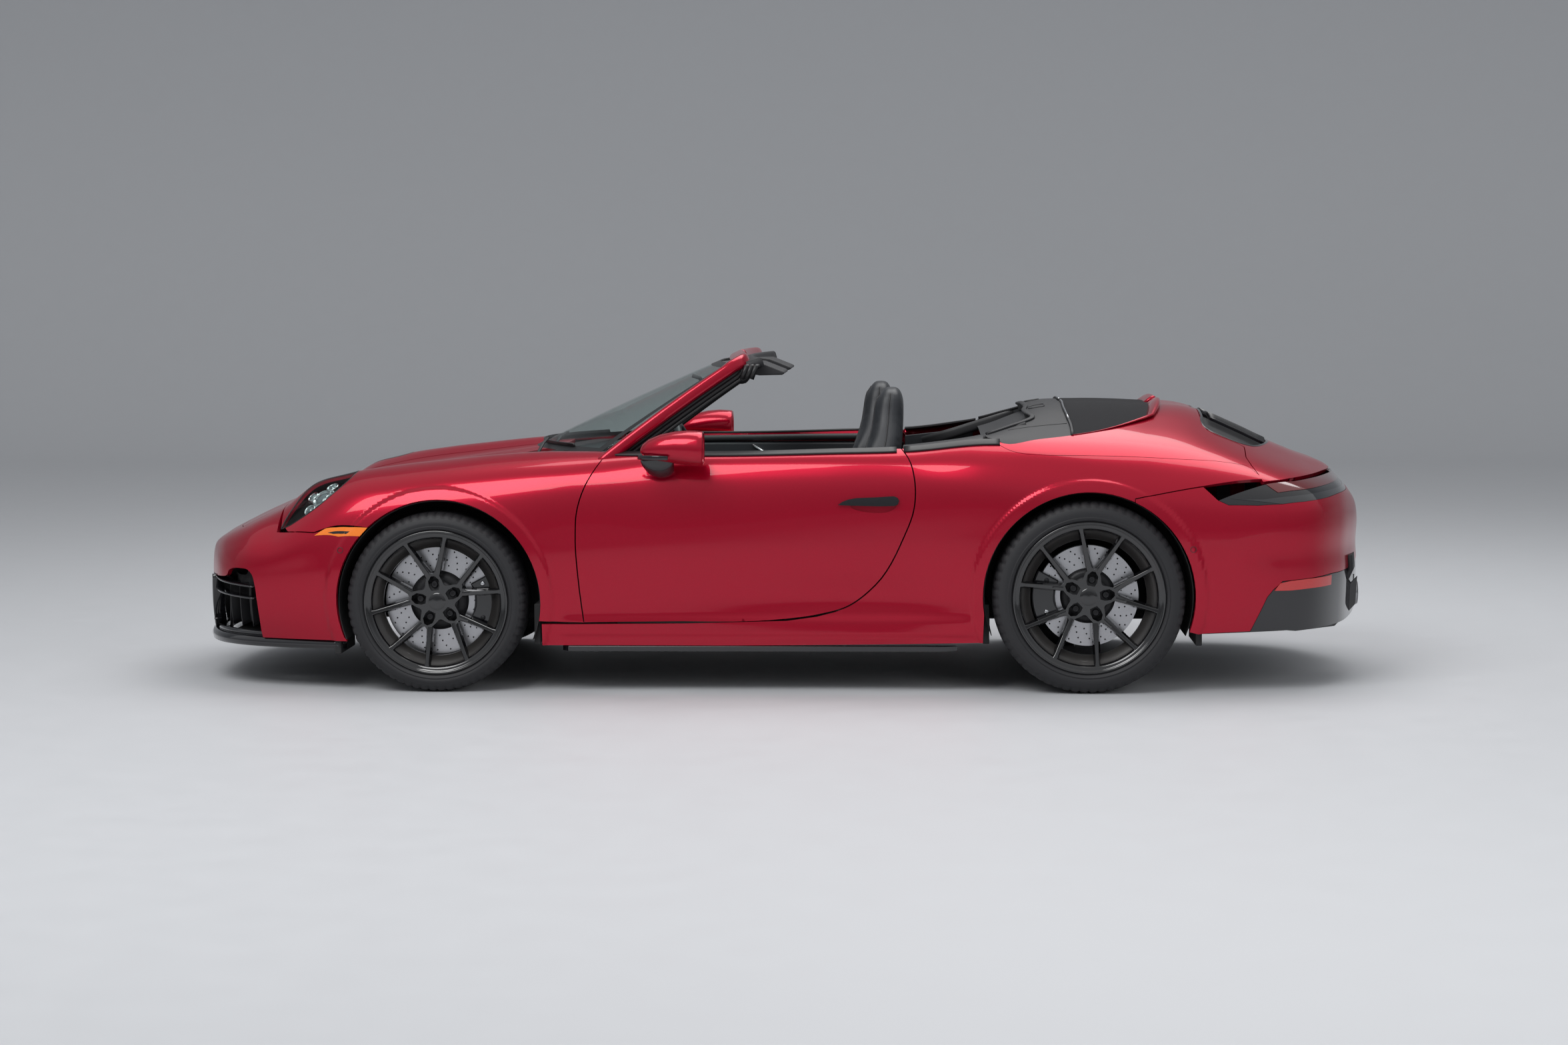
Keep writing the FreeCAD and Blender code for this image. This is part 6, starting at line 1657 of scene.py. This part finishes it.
def build_dash():
    """The dashboard with its cowl, dials, screen, four vents and silver band."""
    outline = [(-0.86, 0.56), (-0.86, 0.866), (-0.76, 0.874), (-0.66, 0.872), (-0.575, 0.862), (-0.540, 0.835),
               (-0.527, 0.790), (-0.552, 0.70), (-0.60, 0.62), (-0.70, 0.56)]
    hood = [(-0.70, 0.850), (-0.69, 0.905), (-0.62, 0.925), (-0.552, 0.920), (-0.545, 0.850)]
    dials = [(-0.37 + a, 0.868 + c) for a, c in round_box(0.22, 0.075, 0.03, 5)]
    parts = [plate("dash_body", outline, -0.636, 0.636, "leather", width=0.014, smooth=True),
             plate("dash_cowl", hood, -0.50, -0.24, "leather", width=0.012, smooth=True),
             plate("dash_dials", dials, -0.5455, -0.5445, "black_gloss", frame=lambda a, b, d: (d, a, b)),
             block("dash_screen", (-0.548, -0.538), (-0.125, 0.155), (0.755, 0.855), "black_gloss")]
    for i, y in enumerate((-0.575, -0.16, 0.19, 0.575)):
        parts.append(block(f"dash_vent_{i}", (-0.552, -0.540), (y - 0.035, y + 0.035), (0.66, 0.735),
                           "black_matt"))
    path = [(-0.538, y, 0.808) for y in np.linspace(0.19, 0.62, 6)]
    parts.append(sweep("dash_band", path, round_box(0.010, 0.030, 0.004), "silver"))
    finish_piece(joined("dash_dressed", parts), "body", "black_leather", "dashboard")


def build_console():
    """The console between the seats with its panel, lid and gear lever."""
    parts = [block("console_base", (-0.62, 0.33), (-0.108, 0.108), (0.331, 0.452), "leather", 0.014),
             block("console_rise", (-0.62, -0.53), (-0.108, 0.108), (0.43, 0.54), "leather", 0.014),
             block("console_panel", (-0.50, -0.14), (-0.085, 0.085), (0.448, 0.457), "black_gloss", 0.003),
             block("console_lid", (0.0, 0.30), (-0.085, 0.085), (0.450, 0.486), "leather", 0.014)]
    profile = [(0.0001, 0.07), (0.018, 0.066), (0.022, 0.04), (0.016, 0.012), (0.024, 0.0)]
    lever = lathe("gear_lever", profile, "black_gloss", steps=24)
    lever.data.transform(Matrix.Translation((-0.30, 0, 0.457)) @ QUARTER_X)
    finish_piece(joined("console_dressed", parts + [lever]), "body", "black_leather", "console")


def build_steering():
    """The steering wheel, drawn upright round the origin and leaned back on its column."""
    loops = []
    for a in np.linspace(0, 2 * math.pi, 64, endpoint=False):
        loops.append([(0.163 * math.cos(a) + (0.017 * math.cos(b)) * math.cos(a),
                       0.163 * math.sin(a) + (0.017 * math.cos(b)) * math.sin(a), 0.0145 * math.sin(b))
                      for b in np.linspace(0, 2 * math.pi, 16, endpoint=False)])
    grip = rings("steering_grip", loops, "leather", wrap=True)
    profile = [(0.0001, 0.016), (0.035, 0.014), (0.05, 0.006), (0.054, -0.006), (0.05, -0.028), (0.0001, -0.03)]
    pad = lathe("steering_pad", profile, "leather", steps=48)
    pad.data.transform(QUARTER_X)
    parts = [grip, pad]
    spokes = (((-0.048, 0.0), (-0.150, 0.012), "black_gloss"),
              ((0.048, 0.0), (0.150, 0.012), "black_gloss"),
              ((0, -0.048), (0, -0.150), "silver"))
    for i, (a, b, look) in enumerate(spokes):
        path = [(a[0] + (b[0] - a[0]) * k / 4, a[1] + (b[1] - a[1]) * k / 4, -0.004) for k in range(5)]
        parts.append(sweep(f"steering_spoke_{i}", path, round_box(0.032, 0.010, 0.004), look))
    profile = [(0.0001, -0.028), (0.024, -0.028), (0.024, -0.235), (0.0001, -0.235)]
    column = lathe("steering_post", profile, "black_matt", steps=32)
    column.data.transform(QUARTER_X)
    parts.append(column)
    made = joined("steering_dressed", parts)
    lean = Matrix.Rotation(math.radians(90 - COLUMN_LEAN), 4, "Y") @ QUARTER_Z
    made.data.transform(Matrix.Translation((-0.33, -0.37, 0.835)) @ lean)
    finish_piece(made, "steering", "black_leather", "steering_wheel")


# Seats: each has a place along and across the car. The backrest's rows give height, half width, front
# and rear; the cushion's rows give the place along the car, underside, top and half width
SEATS = (("left", 0.312, -0.37), ("right", 0.262, 0.37))
BACKREST = ((0.46, 0.225, -0.080, 0.050), (0.56, 0.248, -0.068, 0.085), (0.68, 0.256, -0.040, 0.115),
            (0.80, 0.252, 0.000, 0.142), (0.88, 0.232, 0.028, 0.156), (0.95, 0.196, 0.050, 0.162),
            (1.00, 0.158, 0.060, 0.164), (1.06, 0.138, 0.067, 0.166), (1.10, 0.128, 0.075, 0.164),
            (1.126, 0.105, 0.088, 0.156), (1.138, 0.070, 0.104, 0.142))
CUSHION = ((-0.50, 0.330, 0.395, 0.195), (-0.490, 0.312, 0.435, 0.230), (-0.44, 0.303, 0.462, 0.243),
           (-0.30, 0.302, 0.458, 0.246), (-0.15, 0.302, 0.436, 0.244), (-0.04, 0.304, 0.428, 0.235),
           (-0.005, 0.312, 0.41, 0.215))


def backrest_form(name):
    """The backrest with its headrest as one closed form, its sides brought forward."""
    loops = []
    for z, half, front, rear in BACKREST:
        forward = smooth_step(0.5, 0.62, z) * (1 - smooth_step(0.84, 0.95, z))
        loop = []
        for i in range(48):
            along, across = squircle(i, 48, 4)
            reach = -0.045 * min(1, abs(across)) ** 5 * forward if along < 0 else 0
            loop.append(((front + rear) / 2 + (rear - front) / 2 * along + reach, half * across, z))
        loops.append(loop)
    return rings(name, loops, "leather", levels=1)


def cushion_form(name):
    """The cushion as one closed form with raised sides."""
    loops = []
    for x, low, high, half in CUSHION:
        loop = []
        for i in range(48):
            across, up = squircle(i, 48, 4)
            rise = 0.026 * min(1, abs(across)) ** 5 if up > 0 else 0
            loop.append((x, half * across, (low + high) / 2 + (high - low) / 2 * up + rise))
        loops.append(loop)
    return rings(name, loops, "leather", levels=1)


def puffed(obj, cap, voxel=0.0063, pressure=4.0, steps=20):
    """Swells a closed form as padded leather: cloth under pressure, each place moving by the cap at most."""
    remesh = obj.modifiers.new("even", "REMESH")
    remesh.mode = "VOXEL"
    remesh.voxel_size = voxel
    remesh.use_smooth_shade = True
    material = obj.data.materials[0]
    obj = applied(obj)
    if not obj.data.materials:
        obj.data.materials.append(material)
    start = np.empty(len(obj.data.vertices) * 3)
    obj.data.vertices.foreach_get("co", start)
    cloth = obj.modifiers.new("swell", "CLOTH")
    cloth.settings.use_pressure = True
    cloth.settings.uniform_pressure_force = pressure
    cloth.settings.effector_weights.gravity = 0
    cloth.collision_settings.use_collision = False
    for step in range(1, steps + 1):
        bpy.context.scene.frame_set(step)
    obj = applied(obj)
    end = np.empty(len(start))
    obj.data.vertices.foreach_get("co", end)
    start, end = start.reshape(-1, 3), end.reshape(-1, 3)
    move = end - start
    size = np.linalg.norm(move, axis=1)[:, None]
    end = start + move * np.minimum(1, cap / np.maximum(size, 1e-9))
    obj.data.vertices.foreach_set("co", end.ravel())
    obj.data.update()
    bpy.context.scene.frame_set(1)
    return obj


def seam_on(name, obj, path, across, spacing):
    """A sewn seam pressed against a padded form: a dark groove line with stitches on both sides."""
    hits = [obj.closest_point_on_mesh(Vector(p)) for p in path]
    places, ups = [hit[1] for hit in hits], [hit[2] for hit in hits]
    groove = [p + n * 0.0006 for p, n in zip(places, ups)]
    made = [sweep(name + "_groove", groove, circle(0.0022, 8), "black_seal", ups=ups)]
    for k in (-1, 1):
        hits = [obj.closest_point_on_mesh(p + Vector(across) * 0.006 * k) for p in places]
        shifted = [hit[1] + hit[2] * 0.0004 for hit in hits]
        made.append(repeated_along(f"{name}_stitches_{k}", shifted, spacing, spacing * 0.65, 0.0007, "thread"))
    return made


def seat_form(sizes):
    """One padded seat at the car's middle: backrest with headrest, cushion, legs, seams and stitches."""
    back = puffed(backrest_form("seat_back"), sizes.swell)
    base = puffed(cushion_form("seat_cushion"), sizes.swell)
    rows = BACKREST[1:-1]
    seams = []
    for s in (-1, 1):
        face = smoothed([(front - 0.03, s * half * 0.62, z) for z, half, front, _ in rows])
        edge = smoothed([((front + rear) / 2, s * (half + 0.02), z) for z, half, front, rear in rows])
        long = smoothed([(x, s * half * 0.62, high + 0.03) for x, _, high, half in CUSHION[1:-1]], 8)
        seams += seam_on(f"back_seam_{s}", back, face, (0, 1, 0), sizes.stitch)
        seams += seam_on(f"edge_seam_{s}", back, edge, (1, 0, 0), sizes.stitch)
        seams += seam_on(f"cushion_seam_{s}", base, long, (0, 1, 0), sizes.stitch)
    crease = [(-0.06, 0.16 * k, 0.905) for k in np.linspace(-1, 1, 13)]
    seams += seam_on("crease", back, crease, (0, 0, 1), sizes.stitch)
    legs = block("seat_legs", (-0.43, -0.06), (-0.20, 0.20), (0.195, 0.306), "black_matt", 0.006)
    return joined("seat_form", [back, base, legs] + seams)


def build_seats(sizes):
    """Two padded leather seats with tall headrests made in one with their backs, and the small rear seats."""
    form = seat_form(sizes)
    for name, x, y in SEATS:
        mesh = form.data.copy()
        mesh.transform(Matrix.Translation((x, y, 0)))
        dressed = linked(f"seat_dressed_{name}", mesh)
        finish_piece(dressed, "body", "black_leather", f"seat_{name}")
    bpy.data.objects.remove(form)
    outline = [(0.565, 0.20), (0.565, 0.50), (0.60, 0.52), (0.68, 0.51), (0.715, 0.70), (0.735, 0.88),
               (0.772, 0.90), (0.776, 0.20)]
    parts = [plate(f"rear_seat_{k}", outline, y - 0.255, y + 0.255, "leather", width=0.02, smooth=True)
             for k, y in enumerate((-0.27, 0.27))]
    finish_piece(joined("rear_seats_dressed", parts), "body", "black_leather", "rear_seats")


def build_floor():
    """The floor pan, its sides drawn in a little behind the curved skins of the doors."""
    mesh = frame["nodes"]["floor_pan"].data.copy()
    for vert in mesh.vertices:
        limit = 0.80 if vert.co.x < -0.4 else 0.835
        vert.co.y = max(-limit, min(limit, vert.co.y))
    floor = linked("floor_pan_inner", mesh)
    finish_piece(floor, "body", "dark_metal", "floor_pan")


def build_pipes():
    """Four bright tail pipes on the silencer."""
    parts = [block("silencer_box", (2.012, 2.076), (-0.39, 0.39), (0.266, 0.368), "steel", 0.02)]
    profile = [(0.0455, 0), (0.0475, -0.004), (0.0475, -0.215), (0.0455, -0.220), (0.043, -0.218),
               (0.0405, -0.205), (0.0405, -0.02), (0.0001, -0.02)]
    for i, y in enumerate((-0.230, -0.120, 0.120, 0.230)):
        pipe = lathe(f"pipe_{i}", profile, "steel", steps=48)
        pipe.data.transform(Matrix.Translation((2.040, y, 0.318)) @ QUARTER_Z)
        parts.append(pipe)
    finish_piece(joined("pipes_dressed", parts), "body", "exhaust_steel", "tail_pipes")


def dress_frame():
    """Gives every solid that still shows its material."""
    looks = {"cowl": "black_matt", "front_grille": "black_gloss", "front_lip": "black_gloss",
             "sill_blade": "black_gloss", "rear_diffuser": "black_gloss", "engine_grille": "black_gloss",
             "headlamp": "lens_grey", "soft_top_cover": "cloth", "lamp_bar": "lamp_red",
             "floor_pan": "underside", "luggage_tub": "underside", "tail_frame": "underside",
             "front_housing": "underside", "engine_block": "iron", "axle_beam": "iron", "tail_pipes": "steel",
             "dashboard": "leather", "console": "leather", "seat": "leather", "steering_wheel": "leather",
             "tyre": "tyre", "rim": "rim", "disc": "disc", "knuckle": "iron", "windscreen_frame": "red_paint",
             "mirror": "red_paint"}
    for name, obj in frame["nodes"].items():
        key = next((k for k in looks if name.startswith(k) or k in name), None)
        look = "glass" if name == "windscreen" else looks.get(key, "red_paint")
        obj.data.materials.clear()
        obj.data.materials.append(MATERIALS[look])


def build_backdrop(colour):
    """A pale floor that curves up into the wall behind the car."""
    profile = [(-40.0, 0.0), (14.0, 0.0)]
    profile += [(14.0 + 6 * math.sin(math.radians(a)), 6 - 6 * math.cos(math.radians(a)))
                for a in range(5, 91, 5)]
    profile += [(20.0, 30.0)]
    points, faces = [], []
    for y, z in profile:
        points += [(-70.0, y, z), (70.0, y, z)]
    for i in range(len(profile) - 1):
        faces.append((2 * i, 2 * i + 1, 2 * i + 3, 2 * i + 2))
    mesh = bpy.data.meshes.new("floor")
    mesh.from_pydata(points, [], faces)
    for face in mesh.polygons:
        face.use_smooth = True
    floor = linked("floor", mesh)
    node_material("floor_pale", colour, 0.55, scale=6, flake=0.015)
    mesh.materials.append(MATERIALS["floor_pale"])
    return floor


def build_sky(strength):
    """Soft light from all round with a brighter band above."""
    scene = bpy.context.scene
    world = scene.world or bpy.data.worlds.new("sky")
    scene.world = world
    world.use_nodes = True
    nodes, links = world.node_tree.nodes, world.node_tree.links
    back = nodes["Background"]
    coords = nodes.new("ShaderNodeTexCoord")
    split = nodes.new("ShaderNodeSeparateXYZ")
    ramp = nodes.new("ShaderNodeValToRGB")
    links.new(coords.outputs["Generated"], split.inputs["Vector"])
    links.new(split.outputs["Z"], ramp.inputs["Fac"])
    stops = ramp.color_ramp.elements
    stops[0].position, stops[0].color = 0.0, (0.35, 0.36, 0.37, 1)
    stops[1].position, stops[1].color = 1.0, (1.0, 1.0, 1.0, 1)
    middle = stops.new(0.35)
    middle.color = (0.80, 0.83, 0.87, 1)
    links.new(ramp.outputs["Color"], back.inputs["Color"])
    back.inputs["Strength"].default_value = strength


def build_stage(look, sizes):
    """Pale floor, soft light and the camera at the photo's place."""
    scene = bpy.context.scene
    floor = build_backdrop(look.floor)
    build_sky(look.sky)
    for name, place, target, power, size in (
            ("key", (-3.0, -6.0, 7.0), (0, 0, 0.6), 420, 5.0),
            ("top", (1.5, 2.0, 7.0), (0, 0, 0.6), 340, 6.0),
            ("fill", (5.0, -7.0, 3.0), (0.5, 0, 0.6), 140, 4.0)):
        data = bpy.data.lights.new(name, "AREA")
        data.energy = power
        data.size = size
        lamp = bpy.data.objects.new(name, data)
        lamp.location = place
        lamp.rotation_euler = (Vector(target) - Vector(place)).to_track_quat("-Z", "Y").to_euler()
        lamp.visible_glossy = name != "fill"
        scene.collection.objects.link(lamp)
    cam_data = bpy.data.cameras.new("camera")
    cam_data.lens = sizes.lens
    cam_data.sensor_width = 36
    cam = bpy.data.objects.new("camera", cam_data)
    cam.location = CAMERA_PLACE
    yaw, pitch, roll = CAMERA_TURN
    forward = Vector((-math.sin(yaw) * math.cos(pitch), math.cos(yaw) * math.cos(pitch), -math.sin(pitch)))
    quat = forward.to_track_quat("-Z", "Y")
    cam.rotation_euler = (quat @ Matrix.Rotation(-roll, 3, "Z").to_quaternion()).to_euler()
    scene.collection.objects.link(cam)
    scene.camera = cam
    scene.view_settings.view_transform = "Standard"


class CarLook(bpy.types.PropertyGroup):
    """Colours and light that a user would change."""
    paint: bpy.props.FloatVectorProperty(
        name="Paint", description="Colour of the body", subtype="COLOR", size=3, min=0, max=1,
        default=(0.38, 0.001, 0.020))
    leather: bpy.props.FloatVectorProperty(
        name="Leather", description="Colour of the seats and the trim", subtype="COLOR", size=3, min=0, max=1,
        default=(0.017, 0.019, 0.023))
    cloth: bpy.props.FloatVectorProperty(
        name="Cloth", description="Colour of the soft top's cloth", subtype="COLOR", size=3, min=0, max=1,
        default=(0.014, 0.014, 0.016))
    rims: bpy.props.FloatVectorProperty(
        name="Rims", description="Colour of the rims", subtype="COLOR", size=3, min=0, max=1,
        default=(0.004, 0.004, 0.005))
    floor: bpy.props.FloatVectorProperty(name="Floor", description="Colour of the floor and the wall behind",
                                         subtype="COLOR", size=3, min=0, max=1, default=(0.50, 0.51, 0.53))
    sky: bpy.props.FloatProperty(name="Sky", description="Strength of the light from all round", default=0.62,
                                 min=0)


class CarSizes(bpy.types.PropertyGroup):
    """Sizes that a user would change."""
    shut_gap: bpy.props.FloatProperty(
        name="Shut gap", description="Gap round the doors and the lids", default=0.0065, min=0.004, max=0.012,
        unit="LENGTH")
    swell: bpy.props.FloatProperty(name="Swell", description="Most that the seats' padding swells",
                                   default=0.007, min=0, max=0.02, unit="LENGTH")
    stitch: bpy.props.FloatProperty(
        name="Stitch spacing", description="Distance from one stitch to the next", default=0.0065, min=0.003,
        unit="LENGTH")
    lens: bpy.props.FloatProperty(
        name="Lens", description="Focal length of the camera", default=72.25, min=10, unit="CAMERA")


class CAR_OT_prepare(bpy.types.Operator):
    """Makes the materials and the hull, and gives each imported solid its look"""
    bl_idname = "car.prepare"
    bl_label = "Solids and materials"

    def execute(self, context):
        global hull
        hull = Hull()
        make_materials(context.scene.car_look)
        dress_frame()
        return {"FINISHED"}


class CAR_OT_panels(bpy.types.Operator):
    """Draws the painted skins of the body, its doors and its lids"""
    bl_idname = "car.panels"
    bl_label = "Painted skins"

    def execute(self, context):
        build_panels(context.scene.car_sizes.shut_gap / 2)
        return {"FINISHED"}


class CAR_OT_cover(bpy.types.Operator):
    """Draws the shell, cloth and seams over the folded roof, and the deck's edge"""
    bl_idname = "car.cover"
    bl_label = "Soft-top cover"

    def execute(self, context):
        build_cover()
        return {"FINISHED"}


class CAR_OT_headlamps(bpy.types.Operator):
    """Draws the headlamps under their clear covers"""
    bl_idname = "car.headlamps"
    bl_label = "Headlamps"

    def execute(self, context):
        build_headlamps()
        return {"FINISHED"}


class CAR_OT_screen(bpy.types.Operator):
    """Draws the windscreen, its frame, visors and inner mirror"""
    bl_idname = "car.screen"
    bl_label = "Windscreen"

    def execute(self, context):
        build_screen()
        return {"FINISHED"}


class CAR_OT_mirrors(bpy.types.Operator):
    """Draws the two door mirrors"""
    bl_idname = "car.mirrors"
    bl_label = "Door mirrors"

    def execute(self, context):
        build_mirrors()
        return {"FINISHED"}


class CAR_OT_side_trim(bpy.types.Operator):
    """Draws the handles, belt trims, marker lamps and sensors"""
    bl_idname = "car.side_trim"
    bl_label = "Side trim"

    def execute(self, context):
        build_side_trim()
        return {"FINISHED"}


class CAR_OT_tail(bpy.types.Operator):
    """Draws the lamp bar, diffuser, reflectors and black corners"""
    bl_idname = "car.tail"
    bl_label = "Tail"

    def execute(self, context):
        build_tail()
        return {"FINISHED"}


class CAR_OT_front(bpy.types.Operator):
    """Draws the intakes, slats, flaps, splitter and sill blades"""
    bl_idname = "car.front"
    bl_label = "Front"

    def execute(self, context):
        build_front()
        return {"FINISHED"}


class CAR_OT_liners(bpy.types.Operator):
    """Draws the arch liners, the dark walls that are painted shade under the car, and the flat panels
    underneath
    """
    bl_idname = "car.liners"
    bl_label = "Liners"

    def execute(self, context):
        build_liners()
        return {"FINISHED"}


class CAR_OT_cowl(bpy.types.Operator):
    """Draws the cowl and the wipers"""
    bl_idname = "car.cowl"
    bl_label = "Cowl"

    def execute(self, context):
        build_cowl()
        return {"FINISHED"}


class CAR_OT_engine_grille(bpy.types.Operator):
    """Draws the slatted grille of the engine lid"""
    bl_idname = "car.engine_grille"
    bl_label = "Engine grille"

    def execute(self, context):
        build_engine_grille()
        return {"FINISHED"}


class CAR_OT_wheels(bpy.types.Operator):
    """Draws the rims, tyres, discs and calipers"""
    bl_idname = "car.wheels"
    bl_label = "Wheels"

    def execute(self, context):
        build_wheels()
        return {"FINISHED"}


class CAR_OT_cabin(bpy.types.Operator):
    """Draws the door cards, console, dashboard, steering wheel and floor"""
    bl_idname = "car.cabin"
    bl_label = "Cabin"

    def execute(self, context):
        build_cabin()
        build_floor()
        return {"FINISHED"}


class CAR_OT_seats(bpy.types.Operator):
    """Draws the padded seats with their sewn seams, and the rear seats"""
    bl_idname = "car.seats"
    bl_label = "Seats"

    def execute(self, context):
        build_seats(context.scene.car_sizes)
        return {"FINISHED"}


class CAR_OT_pipes(bpy.types.Operator):
    """Draws the tail pipes"""
    bl_idname = "car.pipes"
    bl_label = "Tail pipes"

    def execute(self, context):
        build_pipes()
        return {"FINISHED"}


class CAR_OT_stage(bpy.types.Operator):
    """Sets the floor, the lights and the camera"""
    bl_idname = "car.stage"
    bl_label = "Stage"

    def execute(self, context):
        build_stage(context.scene.car_look, context.scene.car_sizes)
        return {"FINISHED"}


class CAR_PT_panel(bpy.types.Panel):
    """Lists the steps that build the car, with its colours and sizes."""
    bl_label = "Car"
    bl_idname = "CAR_PT_panel"
    bl_space_type = "VIEW_3D"
    bl_region_type = "UI"
    bl_category = "Car"

    def draw(self, context):
        for group in (context.scene.car_look, context.scene.car_sizes):
            for name in group.bl_rna.properties.keys():
                if name not in ("rna_type", "name"):
                    self.layout.prop(group, name)
        for step in STEPS:
            self.layout.operator(step.bl_idname)


STEPS = (
    CAR_OT_prepare, CAR_OT_panels, CAR_OT_cover, CAR_OT_headlamps,
    CAR_OT_screen, CAR_OT_mirrors, CAR_OT_side_trim, CAR_OT_tail,
    CAR_OT_front, CAR_OT_liners, CAR_OT_cowl, CAR_OT_engine_grille,
    CAR_OT_wheels, CAR_OT_cabin, CAR_OT_seats, CAR_OT_pipes,
    CAR_OT_stage,
)


def register():
    """Makes the groups, operators and panel known."""
    for cls in (CarLook, CarSizes, *STEPS, CAR_PT_panel):
        bpy.utils.register_class(cls)
    bpy.types.Scene.car_look = bpy.props.PointerProperty(type=CarLook)
    bpy.types.Scene.car_sizes = bpy.props.PointerProperty(type=CarSizes)


def unregister():
    """Takes them away again."""
    del bpy.types.Scene.car_look
    del bpy.types.Scene.car_sizes
    for cls in (CAR_PT_panel, *reversed(STEPS), CarSizes, CarLook):
        bpy.utils.unregister_class(cls)


def main():
    """Registers the classes and builds the car step by step."""
    register()
    for step in STEPS:
        getattr(bpy.ops.car, step.bl_idname.split(".")[1])()


if __name__ == "__main__":
    main()
